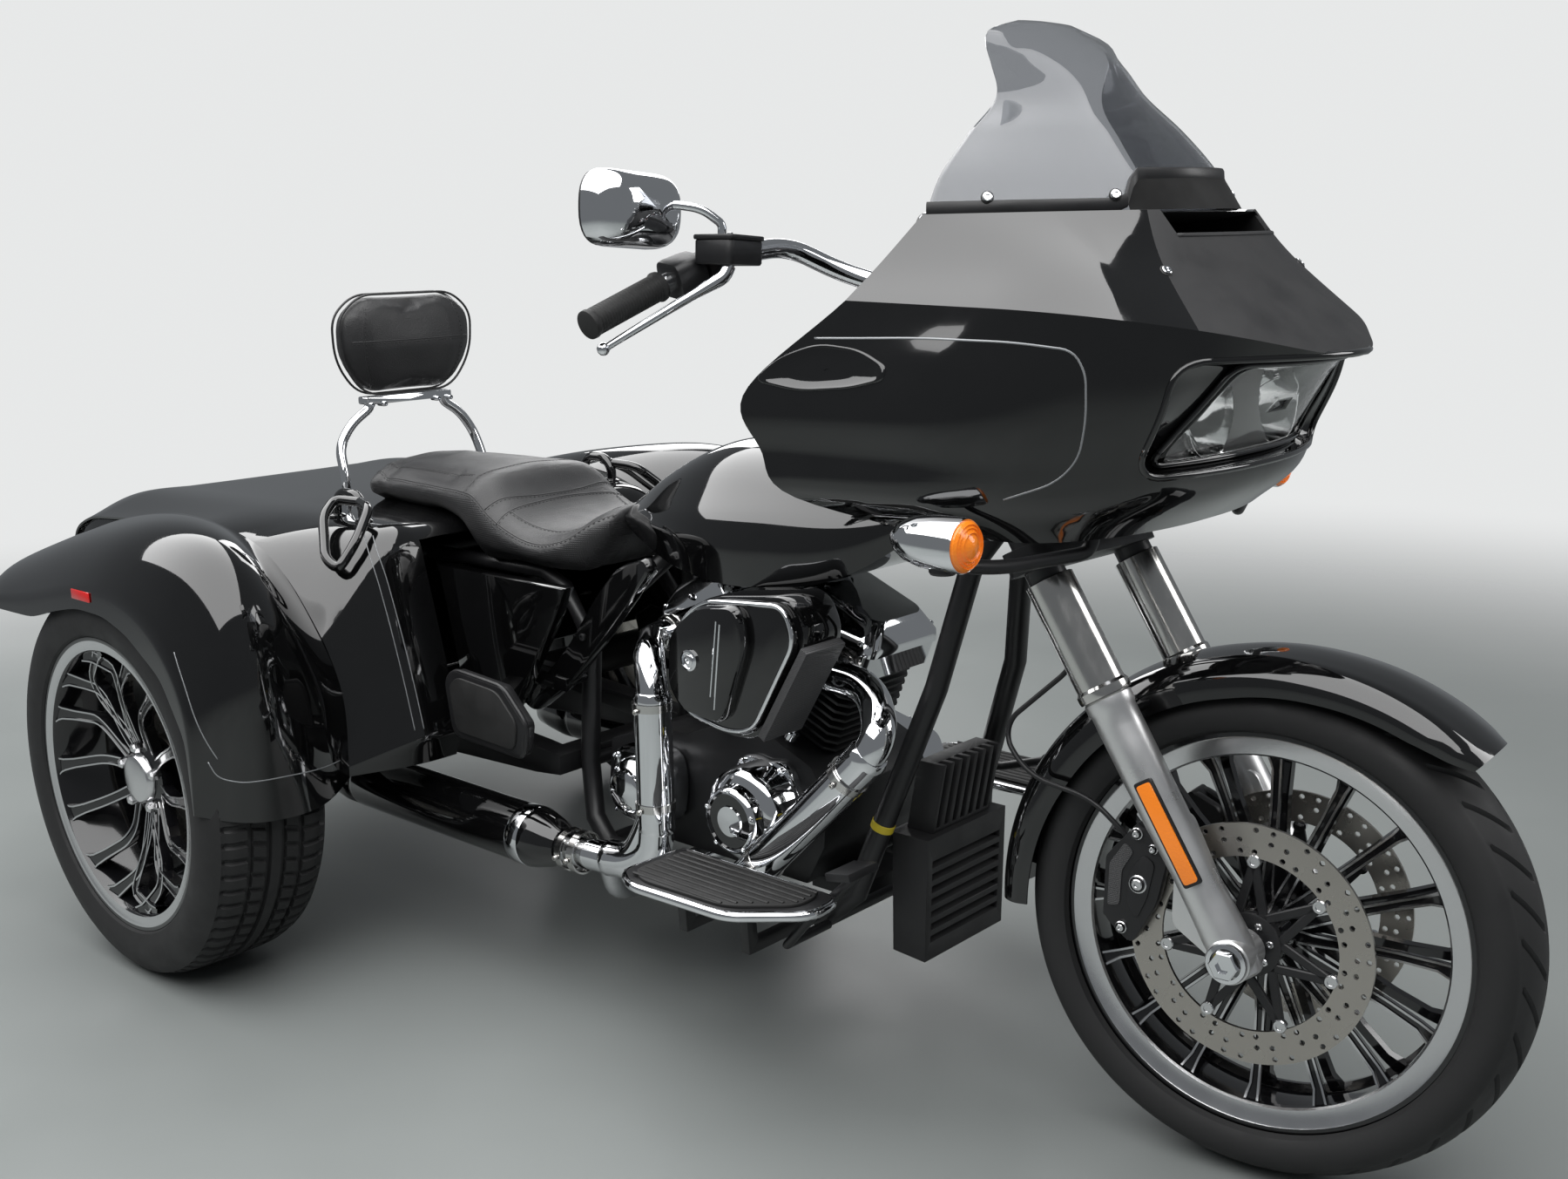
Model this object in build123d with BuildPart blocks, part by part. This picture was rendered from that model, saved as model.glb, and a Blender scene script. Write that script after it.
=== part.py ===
from build123d import *
import os
from math import cos, hypot, radians, sin, tan

# Motorized trike: a three-wheeled touring motorcycle, in millimetres.
# X points forward, Y to the left and Z up. The model is laid out from the ground point
# under the rear axle, and each finished piece is moved so that the origin lies under the
# middle of the machine. The right side has negative Y.

# Driving dimensions of the whole machine
WHEELBASE = 1670.0
OVERALL_WIDTH = 1394.0
REAR_REACH = 681.0
SEAT_GAP = 0.3
SHAFT_GAP = 0.5

# Front wheel and steering geometry
FRONT_TYRE_R = 319.0
FRONT_TYRE_HALF = 65.0
FRONT_CROWN_HALF = 34.0
FRONT_CROWN_R = 80.0
FRONT_RIM_R = 253.0
FRONT_RIM_HALF = 50.0
FRONT_LIP_R = 231.0
FRONT_HUB_R = 40.0
FRONT_AXLE_R = 12.5
FRONT_SPOKES = 16
NECK_BEHIND = 415.0
NECK_X = WHEELBASE - NECK_BEHIND
RAKE = 26.0
FORK_OFFSET = 50.0
STEER_REST = 8.5
FORK_LEAN = 31.8
FORK_HALF = 139.0

# Rear wheels
REAR_TYRE_R = 325.0
REAR_TYRE_HALF = 106.0
REAR_TREAD_HALF = 78.0
TYRE_INSET = 10.0
REAR_TRACK = OVERALL_WIDTH - 2 * (REAR_TYRE_HALF + TYRE_INSET)
REAR_RIM_R = 244.0
REAR_RIM_HALF = 96.0
REAR_LIP_R = 222.0
REAR_HUB_R = 62.0
REAR_SHAFT_R = 20.0
REAR_DISC_R = 145.0

# Brakes
FRONT_DISC_R = 150.0
FRONT_DISC_IN_R = 110.0
FRONT_DISC_Y = 90.0
DISC_T = 5.0

# Bodywork
WALL = 4.0
REAR_WALL = 5.0
BODY_HALF = 420.0
LID_T = 14.0
LID_HALF = 330.0
LID_LOW = 452.0
LID_HIGH = 660.0
TRUNK_REAR = 640.0
BULKHEAD_X = -96.0

# Where the steered tyre touches the ground: it leans as it turns
STEER_LEAN = sin(radians(RAKE)) * sin(radians(STEER_REST))
LEAN_COS = (1 - STEER_LEAN ** 2) ** 0.5
STEER_DROP = FORK_OFFSET * sin(radians(RAKE)) * (1 - cos(radians(STEER_REST)))
FRONT_AXLE_Z = (FRONT_TYRE_R - FRONT_CROWN_R) * LEAN_COS + FRONT_CROWN_R + STEER_DROP
REAR_AXLE_Z = REAR_TYRE_R

# The steering axis, raked back, passes behind the front axle by the fork offset
AXIS_DIR = (-sin(radians(RAKE)), 0, cos(radians(RAKE)))
AXIS_X = WHEELBASE - FORK_OFFSET * cos(radians(RAKE))
AXIS_Z = FRONT_AXLE_Z - FORK_OFFSET * sin(radians(RAKE))
STEERING_AXIS = Axis((AXIS_X, 0, AXIS_Z), AXIS_DIR)

# The origin lies under the middle of the box round the machine
STEER_SWING = cos(radians(RAKE)) * sin(radians(STEER_REST))
SWING_COS = (1 - STEER_SWING ** 2) ** 0.5
FRONT_SHIFT = FORK_OFFSET * cos(radians(RAKE)) * (1 - cos(radians(STEER_REST)))
FRONT_REACH = WHEELBASE - FRONT_SHIFT + (FRONT_TYRE_R - FRONT_CROWN_R) * SWING_COS + FRONT_CROWN_R
ORIGIN_X = -(FRONT_REACH - REAR_REACH) / 2


def placed(piece, steered=False):
    """Turn a steered piece to its resting angle and set any piece in the part's frame."""
    if steered:
        piece = piece.rotate(STEERING_AXIS, STEER_REST)
    return piece.moved(Location((ORIGIN_X, 0, 0)))


def save(piece, label, steered=False):
    """Label a finished piece and write it in the part's frame."""
    whole = placed(piece, steered)
    whole.label = label
    export_step(whole, f"parts/{label}.step")


def along(start, end, share):
    """The point a share of the way between two points."""
    return tuple(a + (b - a) * share for a, b in zip(start, end))


def tube(points, radius, bend):
    """Sweep a round bar along straight runs joined by arcs."""
    with BuildLine() as path:
        FilletPolyline(*points, radius=bend)
    with BuildSketch(Plane(origin=path.line @ 0, z_dir=path.line % 0)) as end:
        Circle(radius)
    sweep(end.sketch, path=path.line)


def bent_rod(points, radius):
    """Sweep a round bar along straight runs that meet in mitred corners."""
    with BuildLine() as path:
        Polyline(*points)
    with BuildSketch(Plane(origin=path.line @ 0, z_dir=path.line % 0)) as end:
        Circle(radius)
    sweep(end.sketch, path=path.line, transition=Transition.RIGHT)


def rod(start, end, radius, far_radius=None, mode=Mode.ADD):
    """A straight round bar between two points, tapered if a far radius is given."""
    run = Vector(*end) - Vector(*start)
    with BuildSketch(Plane(origin=start, z_dir=run)) as foot:
        Circle(radius)
    if far_radius is None:
        extrude(foot.sketch, amount=run.length, mode=mode)
    else:
        with BuildSketch(Plane(origin=end, z_dir=run)) as head:
            Circle(far_radius)
        loft([foot.sketch.face(), head.sketch.face()], mode=mode)


def outline(plane, points, corner=0, inset=0):
    """A closed outline on a plane, with its corners rounded or the whole shrunk by an inset."""
    with BuildSketch(plane) as face:
        with BuildLine():
            Polyline(*points, close=True)
        make_face()
        if inset:
            offset(amount=-inset, kind=Kind.INTERSECTION, mode=Mode.REPLACE)
        if corner:
            fillet(face.vertices(), corner)
    return face.sketch


def slab(points, y_low, y_high, corner=0, mode=Mode.ADD):
    """Extrude a side-view outline of (x, z) points from one Y to another."""
    face = outline(Plane.XZ.offset(-y_low), points, corner)
    extrude(face, amount=y_low - y_high, mode=mode)


def plan(points, z_low, z_high, corner=0, mode=Mode.ADD):
    """Extrude a top-view outline of (x, y) points from one Z to another."""
    face = outline(Plane.XY.offset(z_low), points, corner)
    extrude(face, amount=z_high - z_low, mode=mode)


def across(points, x_low, x_high, corner=0, mode=Mode.ADD):
    """Extrude a front-view outline of (y, z) points from one X to another."""
    face = outline(Plane.YZ.offset(x_low), points, corner)
    extrude(face, amount=x_high - x_low, mode=mode)


def through(base_plane, sections, inset=0, mode=Mode.ADD):
    """Loft straight between outlines, each (distance from the base plane, points)."""
    faces = [outline(base_plane.offset(d), points, inset=inset).face() for d, points in sections]
    loft(faces, ruled=True, mode=mode)


def both_halves(half):
    """Close a half outline of (along, out) points with its mirror image, left then right."""
    return [(a, b) for a, b in half] + [(a, -b) for a, b in reversed(half)]


def wheel_plane(x, z):
    """The plane in which a wheel's section is drawn: (y, distance from the axle)."""
    return Plane(origin=(x, 0, z), x_dir=(0, 1, 0), z_dir=(1, 0, 0))


def wheel_axis(x, z):
    """The axle line of a wheel."""
    return Axis((x, 0, z), (0, 1, 0))


os.makedirs("parts", exist_ok=True)

# Front tyre: a crowned motorcycle tyre seated on the rim's outer face
with BuildPart() as front_tyre:
    with BuildSketch(wheel_plane(WHEELBASE, FRONT_AXLE_Z)):
        with BuildLine():
            edge_drop = FRONT_CROWN_R - (FRONT_CROWN_R ** 2 - FRONT_CROWN_HALF ** 2) ** 0.5
            edge = FRONT_TYRE_R - edge_drop
            ThreePointArc((-FRONT_CROWN_HALF, edge), (0, FRONT_TYRE_R), (FRONT_CROWN_HALF, edge))
            Polyline(
                (FRONT_CROWN_HALF, edge),
                (FRONT_TYRE_HALF - 8, 298),
                (FRONT_TYRE_HALF, 280),
                (FRONT_RIM_HALF, FRONT_RIM_R),
                (-FRONT_RIM_HALF, FRONT_RIM_R),
                (-FRONT_TYRE_HALF, 280),
                (-FRONT_TYRE_HALF + 8, 298),
                (-FRONT_CROWN_HALF, edge),
            )
        make_face()
    revolve(axis=wheel_axis(WHEELBASE, FRONT_AXLE_Z))
save(front_tyre.part, "front_tyre", steered=True)

# Front rim: a ring with a bright lip, a hub bored for the axle and radial spokes
FRONT_HUB_HALF = 72.0
SPOKE_W = 9.0
with BuildPart() as front_rim:
    with BuildSketch(wheel_plane(WHEELBASE, FRONT_AXLE_Z)):
        with Locations((0, (FRONT_RIM_R + FRONT_LIP_R) / 2)):
            Rectangle(2 * FRONT_RIM_HALF, FRONT_RIM_R - FRONT_LIP_R)
        with Locations((0, (FRONT_HUB_R + FRONT_AXLE_R + SHAFT_GAP) / 2)):
            Rectangle(2 * FRONT_HUB_HALF, FRONT_HUB_R - FRONT_AXLE_R - SHAFT_GAP)
    revolve(axis=wheel_axis(WHEELBASE, FRONT_AXLE_Z))
    spoke_turns = [radians(90 + turn * 360 / FRONT_SPOKES) for turn in range(FRONT_SPOKES)]
    spoke_planes = [
        Plane(origin=(WHEELBASE, 0, FRONT_AXLE_Z), x_dir=(0, 1, 0), z_dir=(sin(a), 0, -cos(a)))
        for a in spoke_turns
    ]
    with BuildSketch(*spoke_planes):
        with BuildLine():
            Polyline(
                (-24, FRONT_HUB_R - 4),
                (-16, 205),
                (-36, FRONT_LIP_R + 2),
                (36, FRONT_LIP_R + 2),
                (16, 205),
                (24, FRONT_HUB_R - 4),
                close=True,
            )
        make_face()
    extrude(amount=SPOKE_W / 2, both=True)
save(front_rim.part, "front_rim", steered=True)

# Front brake discs: floating rings on a seven-armed carrier, one on each side
BOBBINS = 7
with BuildPart() as front_discs:
    for side in (-1, 1):
        inner_face = Plane(
            origin=(WHEELBASE, side * (FRONT_DISC_Y - DISC_T / 2), FRONT_AXLE_Z),
            x_dir=(1, 0, 0),
            z_dir=(0, side, 0),
        )
        with BuildSketch(inner_face):
            Circle(FRONT_DISC_R)
            RegularPolygon(FRONT_DISC_IN_R, 2 * BOBBINS, mode=Mode.SUBTRACT)
        extrude(amount=DISC_T)
        with BuildSketch(inner_face):
            Circle(FRONT_HUB_R - 4)
            with PolarLocations(0, BOBBINS):
                with Locations((70, 0)):
                    Rectangle(90, 14)
            Circle(FRONT_AXLE_R + 4, mode=Mode.SUBTRACT)
        extrude(amount=DISC_T)
        rotor_seat = Plane(
            origin=(WHEELBASE, side * (FRONT_HUB_HALF + SEAT_GAP), FRONT_AXLE_Z),
            x_dir=(1, 0, 0),
            z_dir=(0, side, 0),
        )
        with BuildSketch(rotor_seat):
            Circle(FRONT_HUB_R - 4)
            Circle(FRONT_AXLE_R + 4, mode=Mode.SUBTRACT)
        extrude(amount=FRONT_DISC_Y - FRONT_HUB_HALF - DISC_T / 2 - SEAT_GAP + 1)
save(front_discs.part, "front_discs", steered=True)

# Rear wheels: the right one is drawn, the left one mirrors it
REAR_SPOKE_PATHS = (
    # each spoke from rim to hub: radius and angle from straight ahead, seen from the right
    ((224, 110.8), (192, 87.9), (166, 89.7), (93, 101.8), (50, 104)),
    ((224, 137.5), (161, 116.6), (139, 114.2), (80, 121.7), (50, 124)),
    ((224, 158.2), (135, 141), (114, 140.3), (50, 152.1)),
    ((224, 183.9), (103, 171.6), (50, 168)),
    ((224, 205.8), (118, 209.4), (50, 214)),
    ((224, 230.5), (128, 247.4), (96.5, 252.5), (50, 236)),
    ((224, 251.3), (158, 270), (131, 274.4), (50, 277.5)),
    ((224, 276.1), (182, 297.1), (146, 300.4), (71, 286)),
)
REAR_SPOKE_W = 12.0


def strip(points, width):
    """The outline of a bent strip of even width along a path of (x, z) points."""
    left, right = [], []
    for i, (x, z) in enumerate(points):
        before = points[max(i - 1, 0)]
        after = points[min(i + 1, len(points) - 1)]
        run_x, run_z = after[0] - before[0], after[1] - before[1]
        length = hypot(run_x, run_z)
        off_x, off_z = -run_z / length * width / 2, run_x / length * width / 2
        left.append((x + off_x, z + off_z))
        right.append((x - off_x, z - off_z))
    return left + right[::-1]


REAR_FACE_Y = REAR_TRACK / 2 + REAR_RIM_HALF
for side, name in ((-1, "right"), (1, "left")):
    middle = side * REAR_TRACK / 2
    outer = side * REAR_FACE_Y
    with BuildPart() as tyre:
        with BuildSketch(wheel_plane(0, REAR_AXLE_Z)):
            with BuildLine():
                Polyline(
                    (middle - REAR_RIM_HALF, REAR_RIM_R),
                    (middle - REAR_TYRE_HALF, 274),
                    (middle - REAR_TYRE_HALF + 6, 302),
                    (middle - REAR_TREAD_HALF, REAR_TYRE_R),
                    (middle + REAR_TREAD_HALF, REAR_TYRE_R),
                    (middle + REAR_TYRE_HALF - 6, 302),
                    (middle + REAR_TYRE_HALF, 274),
                    (middle + REAR_RIM_HALF, REAR_RIM_R),
                    close=True,
                )
            make_face()
        revolve(axis=wheel_axis(0, REAR_AXLE_Z))
    save(tyre.part, f"rear_{name}_tyre")

    with BuildPart() as rim:
        with BuildSketch(wheel_plane(0, REAR_AXLE_Z)):
            with Locations((middle, (REAR_RIM_R + REAR_LIP_R) / 2)):
                Rectangle(2 * REAR_RIM_HALF, REAR_RIM_R - REAR_LIP_R)
        revolve(axis=wheel_axis(0, REAR_AXLE_Z))
        with BuildSketch(Plane.XZ.offset(-outer)):
            for path in REAR_SPOKE_PATHS:
                for half_turn in (0, 180):
                    points = []
                    for radius, angle in path:
                        turned = radians(angle + half_turn)
                        points.append((radius * cos(turned), REAR_AXLE_Z + radius * sin(turned)))
                    with BuildLine():
                        Polyline(*strip(points, REAR_SPOKE_W), close=True)
                    make_face()
        extrude(amount=side * 90)
        with BuildSketch(wheel_plane(0, REAR_AXLE_Z)):
            with BuildLine():
                Polyline(
                    (outer - side * 4, REAR_LIP_R + 2),
                    (outer - side * 50, 60),
                    (outer - side * 76, 60),
                    (outer - side * 28, REAR_LIP_R + 2),
                    close=True,
                )
            make_face()
            with BuildLine():
                Polyline(
                    (outer - side * 2, REAR_RIM_R),
                    (outer - side * 2, REAR_LIP_R),
                    (middle - side * REAR_RIM_HALF, REAR_LIP_R),
                    (middle - side * REAR_RIM_HALF, REAR_RIM_R),
                    close=True,
                )
            make_face()
        revolve(axis=wheel_axis(0, REAR_AXLE_Z), mode=Mode.INTERSECT)
        with BuildSketch(wheel_plane(0, REAR_AXLE_Z)):
            with Locations((outer - side * 62, (REAR_HUB_R + REAR_SHAFT_R + SHAFT_GAP) / 2)):
                Rectangle(44, REAR_HUB_R - REAR_SHAFT_R - SHAFT_GAP)
        revolve(axis=wheel_axis(0, REAR_AXLE_Z))
    save(rim.part, f"rear_{name}_rim")

    with BuildPart() as disc:
        with BuildSketch(wheel_plane(0, REAR_AXLE_Z)):
            with BuildLine():
                Polyline(
                    (outer - side * 84.3, REAR_SHAFT_R + SHAFT_GAP),
                    (outer - side * 84.3, REAR_HUB_R),
                    (outer - side * 124, REAR_HUB_R),
                    (outer - side * 124, REAR_DISC_R),
                    (outer - side * 132, REAR_DISC_R),
                    (outer - side * 132, REAR_SHAFT_R + SHAFT_GAP),
                    close=True,
                )
            make_face()
        revolve(axis=wheel_axis(0, REAR_AXLE_Z))
    save(disc.part, f"rear_{name}_disc")

# Rear axle: a housing with a differential in the middle and the shafts that carry the wheels
HOUSING_END = REAR_FACE_Y - 140
HOUSING_R = 36.0
with BuildPart() as rear_axle:
    rod((0, -HOUSING_END, REAR_AXLE_Z), (0, HOUSING_END, REAR_AXLE_Z), HOUSING_R)
    rod((0, -90, REAR_AXLE_Z), (0, 90, REAR_AXLE_Z), 92)
    rod((0, -REAR_FACE_Y + 42, REAR_AXLE_Z), (0, REAR_FACE_Y - 42, REAR_AXLE_Z), REAR_SHAFT_R)
save(rear_axle.part, "rear_axle")

# Swingarm from its pivot behind the engine to the axle housing
ARM_IN = 125.0
ARM_OUT = 165.0
ARM_TOP = 372.0
ARM_FRONT = 503.6
with BuildPart() as swingarm:
    for side in (-1, 1):
        low, high = sorted((side * ARM_IN, side * ARM_OUT))
        arm = [
            (-48, 285), (-48, ARM_TOP), (130, ARM_TOP), (440, 352), (ARM_FRONT, 345),
            (ARM_FRONT, 312), (440, 305),
        ]
        slab(arm, low, high)
    slab([(455, 312), (455, 345), (ARM_FRONT, 345), (ARM_FRONT, 312)], -ARM_OUT, ARM_OUT)
    rod((0, -ARM_OUT, REAR_AXLE_Z), (0, ARM_OUT, REAR_AXLE_Z), HOUSING_R + SEAT_GAP, mode=Mode.SUBTRACT)
save(swingarm.part, "swingarm")

# Frame: head tube round the steering stem, backbone, downtubes, cradle rails and rear struts
STEM_R = 14.0
HEAD_TUBE_R = 26.0
HEAD_LOW = 545.0
HEAD_HIGH = 690.0


def on_axis(distance, ahead=0.0, aside=0.0):
    """A point along the steering axis, set forward of it at right angles and sideways."""
    x = AXIS_X + AXIS_DIR[0] * distance + cos(radians(RAKE)) * ahead
    z = AXIS_Z + AXIS_DIR[2] * distance + sin(radians(RAKE)) * ahead
    return (x, aside, z)


RAIL_R = 16.0
RAIL_Z = 205.0
RAIL_HALF = 138.0
RAIL_SIDE = RAIL_HALF + RAIL_R + SEAT_GAP
UPRIGHT_X = 530.0
UPRIGHT_HALF = 112.0
STRUT_HALF = 105.0
STRUT_Z = 635.0
STRUT_R = 12.0
CROSS_R = 11.0
NECK_FOOT = (NECK_X, 60, 740)
DOWNTUBE_TOP = (NECK_X - 34, 95, 569)
DOWNTUBE_FOOT = (1085, RAIL_HALF, RAIL_Z)
CRANKCASE_LOW = 235.0
COOLER_MOUNT_Z = 330.0
SHOCK_HALF = 145.0
SHOCK_X = 95.0
BACKBONE_TOP = ((640, 712), (NECK_X - 65, 800), (NECK_X + 35, 850), (NECK_X + 70, 868))
FAIRING_STAY = (NECK_X + 95, NECK_X + 245)
STAY_LOW, STAY_HIGH = 836.0, 860.0
mount_share = (DOWNTUBE_TOP[2] - COOLER_MOUNT_Z) / (DOWNTUBE_TOP[2] - RAIL_Z)
COOLER_MOUNT = along(DOWNTUBE_TOP, DOWNTUBE_FOOT, mount_share)
CROSS_TUBES = (
    # x, half length, z
    (1060, RAIL_HALF, RAIL_Z),
    (575, RAIL_HALF, RAIL_Z),
    (SHOCK_X, SHOCK_HALF + 26, STRUT_Z),
    (525, UPRIGHT_HALF, 330),
    (COOLER_MOUNT[0], COOLER_MOUNT[1], COOLER_MOUNT_Z),
)
with BuildPart() as frame:
    rod(on_axis(HEAD_LOW), on_axis(HEAD_HIGH), HEAD_TUBE_R)
    under_backbone = [(600, 668), (640, 668), (NECK_X - 15, 750)]
    slab([(NECK_X + 90, 815), *reversed(BACKBONE_TOP), *under_backbone], -20, 20)
    for side in (-1, 1):
        bent_rod(
            [
                (NECK_X + 63, side * 16, 845),
                (NECK_FOOT[0], side * NECK_FOOT[1], NECK_FOOT[2]),
                (DOWNTUBE_TOP[0], side * DOWNTUBE_TOP[1], DOWNTUBE_TOP[2]),
                (DOWNTUBE_FOOT[0] + 22, side * (RAIL_HALF - 6), RAIL_Z + 50),
                (DOWNTUBE_FOOT[0] - 34, side * RAIL_HALF, RAIL_Z),
                (590, side * RAIL_HALF, RAIL_Z),
                (548, side * (RAIL_HALF - 8), RAIL_Z + 36),
                (520, side * UPRIGHT_HALF, 330),
                (540, side * UPRIGHT_HALF, 560),
                (640, side * 22, 680),
            ],
            RAIL_R,
        )
        bent_rod(
            [
                (UPRIGHT_X, side * UPRIGHT_HALF, 540),
                (470, side * STRUT_HALF, 615),
                (420, side * STRUT_HALF, STRUT_Z),
                (BULKHEAD_X + SEAT_GAP, side * STRUT_HALF, STRUT_Z),
            ],
            STRUT_R,
        )
    for x, half, z in CROSS_TUBES:
        rod((x, -half, z), (x, half, z), CROSS_R)
    # Two plates carry the engine on the cross tubes
    plate_top = CRANKCASE_LOW - SEAT_GAP
    slab([(960, RAIL_Z), (960, plate_top), (1064, plate_top), (1064, RAIL_Z)], -60, 60)
    slab([(571, RAIL_Z), (571, RAIL_Z + 16), (650, plate_top), (720, plate_top), (720, RAIL_Z)], -60, 60)
    # A stay runs forward from the head tube to carry the fairing
    stay_rear, stay_front = FAIRING_STAY
    slab(
        [(stay_rear, STAY_LOW), (stay_rear, STAY_HIGH), (stay_front, STAY_HIGH), (stay_front, STAY_LOW)],
        -18, 18,
    )
    rod(on_axis(HEAD_LOW - 5), on_axis(HEAD_HIGH + 5), STEM_R + SHAFT_GAP, mode=Mode.SUBTRACT)
save(frame.part, "frame")

# Engine: crankcase with gearbox, two finned cylinders in a vee, rocker boxes and covers
CRANK_X = 880.0
CRANK_Z = 300.0
VEE = 22.5
CASE_HALF = 118.0


def vee_plane(distance, lean):
    """A plane square to a cylinder's axis at a distance from the crankshaft."""
    tilt = radians(lean)
    return Plane(
        origin=(CRANK_X + sin(tilt) * distance, 0, CRANK_Z + cos(tilt) * distance),
        x_dir=(0, 1, 0),
        z_dir=(sin(tilt), 0, cos(tilt)),
    )


BARREL_START = 160.0
HEAD_START = 300.0
DECK_HALF = 75.0
deck_mid_x = sin(radians(VEE)) * (BARREL_START - SEAT_GAP)
deck_mid_z = CRANK_Z + cos(radians(VEE)) * (BARREL_START - SEAT_GAP)
deck_x = deck_mid_x + cos(radians(VEE)) * DECK_HALF
deck_z = deck_mid_z - sin(radians(VEE)) * DECK_HALF
ridge_z = deck_mid_z + deck_mid_x * tan(radians(VEE))
with BuildPart() as crankcase:
    slab(
        [
            (640, CRANKCASE_LOW), (570, 300), (580, 380), (690, 418),
            (CRANK_X - deck_x, deck_z), (CRANK_X, ridge_z), (CRANK_X + deck_x, deck_z),
            (1040, 380), (1035, 300), (1000, CRANKCASE_LOW),
        ],
        -CASE_HALF, CASE_HALF,
    )
save(crankcase.part, "crankcase")

FIN_COUNT = 10
FIN_PITCH = 13.0
FIN_T = 4.5
CORE_HALF = 52.0
CORE_CHAMFER = 26.0
with BuildPart() as cylinders:
    for lean in (-VEE, VEE):
        barrel = vee_plane(BARREL_START, lean)
        with BuildSketch(barrel) as core:
            Rectangle(2 * CORE_HALF, 2 * CORE_HALF)
            chamfer(core.vertices(), CORE_CHAMFER)
        extrude(core.sketch, amount=HEAD_START - BARREL_START)
        fin_planes = [barrel.offset(7 + FIN_PITCH * i) for i in range(FIN_COUNT)]
        with BuildSketch(*fin_planes) as fins:
            Rectangle(150, 142)
            chamfer(fins.vertices(), 14)
        extrude(fins.sketch, amount=FIN_T)
save(cylinders.part, "cylinders")

HEAD_HALF = 90.0
HEAD_LONG = 84.0
HEAD_T = 44.0
with BuildPart() as rocker_boxes:
    for lean in (-VEE, VEE):
        base = vee_plane(HEAD_START + SEAT_GAP, lean)
        with BuildSketch(base) as head:
            Rectangle(2 * HEAD_HALF, 2 * HEAD_LONG)
            fillet(head.vertices(), 18)
        extrude(head.sketch, amount=HEAD_T)
        with BuildSketch(base.offset(HEAD_T)) as low:
            Rectangle(176, 182)
            fillet(low.vertices(), 22)
        with BuildSketch(base.offset(HEAD_T + 14)) as waist:
            Rectangle(168, 174)
            fillet(waist.vertices(), 22)
        with BuildSketch(base.offset(HEAD_T + 42)) as high:
            Rectangle(112, 130)
            fillet(high.vertices(), 22)
        loft([low.sketch.face(), waist.sketch.face()])
        loft([waist.sketch.face(), high.sketch.face()])
save(rocker_boxes.part, "rocker_boxes")

TUBE_FOOT_Y = 99.0
TUBE_HEAD_Y = 83.5
PUSHROD_R = 7.0
with BuildPart() as pushrod_tubes:
    for lean in (-VEE, VEE):
        for shift in (-22, 22):
            with BuildSketch(vee_plane(BARREL_START + SEAT_GAP, lean)) as foot:
                with Locations((-TUBE_FOOT_Y, shift * 0.6)):
                    Circle(PUSHROD_R)
            with BuildSketch(vee_plane(HEAD_START, lean)) as top:
                with Locations((-TUBE_HEAD_Y, shift)):
                    Circle(PUSHROD_R)
            loft([foot.sketch.face(), top.sketch.face()])
save(pushrod_tubes.part, "pushrod_tubes")

CAM_X, CAM_Z, CAM_R = 935.0, 345.0, 74.0
with BuildPart() as cam_cover:
    rod((CAM_X, -CASE_HALF - SEAT_GAP, CAM_Z), (CAM_X, -190, CAM_Z), CAM_R + 8, CAM_R)
    rod((CAM_X, -190, CAM_Z), (CAM_X, -215, CAM_Z), CAM_R - 12, CAM_R - 24)
save(cam_cover.part, "cam_cover")

GEAR_X, GEAR_Z, GEAR_R = 700.0, 335.0, 62.0
with BuildPart() as transmission_cover:
    rod((GEAR_X, -CASE_HALF - SEAT_GAP, GEAR_Z), (GEAR_X, -185, GEAR_Z), GEAR_R + 6, GEAR_R)
    rod((GEAR_X, -185, GEAR_Z), (GEAR_X, -205, GEAR_Z), GEAR_R - 14, GEAR_R - 22)
save(transmission_cover.part, "transmission_cover")

with BuildPart() as primary_cover:
    slab(
        [(575, 265), (562, 330), (600, 400), (700, 418), (900, 420), (1005, 395), (1035, 320),
         (990, 245), (880, 226), (660, 232)],
        CASE_HALF + SEAT_GAP, 205, corner=30,
    )
save(primary_cover.part, "primary_cover")

AIR_IN, AIR_OUT = 186.0, 295.0
AIR_FRONT_LOW = (1050, 505)
AIR_FRONT_HIGH = (1140, 655)
INTAKE_LOW, INTAKE_HIGH = 612.0, 650.0


def head_gap(z):
    """Half the free width at a height between the inner faces of the two heads."""
    reach = (z - CRANK_Z) * sin(radians(VEE)) - HEAD_LONG - SEAT_GAP
    return reach / cos(radians(VEE))


with BuildPart() as air_cleaner:
    slab(
        [(895, 515), (885, 630), (945, 690), (1110, 712), AIR_FRONT_HIGH, AIR_FRONT_LOW, (1000, 495)],
        -AIR_OUT, -AIR_IN, corner=24,
    )
    # The intake passes inward and fills the space between the two heads
    slab([(866, INTAKE_LOW), (866, INTAKE_HIGH), (902, INTAKE_HIGH), (902, INTAKE_LOW)], -AIR_IN - 5, -60)
    slab(
        [
            (CRANK_X - head_gap(INTAKE_LOW), INTAKE_LOW), (CRANK_X - head_gap(INTAKE_HIGH), INTAKE_HIGH),
            (CRANK_X + head_gap(INTAKE_HIGH), INTAKE_HIGH), (CRANK_X + head_gap(INTAKE_LOW), INTAKE_LOW),
        ],
        -70, -20,
    )
save(air_cleaner.part, "air_cleaner")

# The filter lies along the air cleaner's front face
FILTER_T = 12.0
edge_x = AIR_FRONT_HIGH[0] - AIR_FRONT_LOW[0]
edge_z = AIR_FRONT_HIGH[1] - AIR_FRONT_LOW[1]
edge_length = hypot(edge_x, edge_z)


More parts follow.
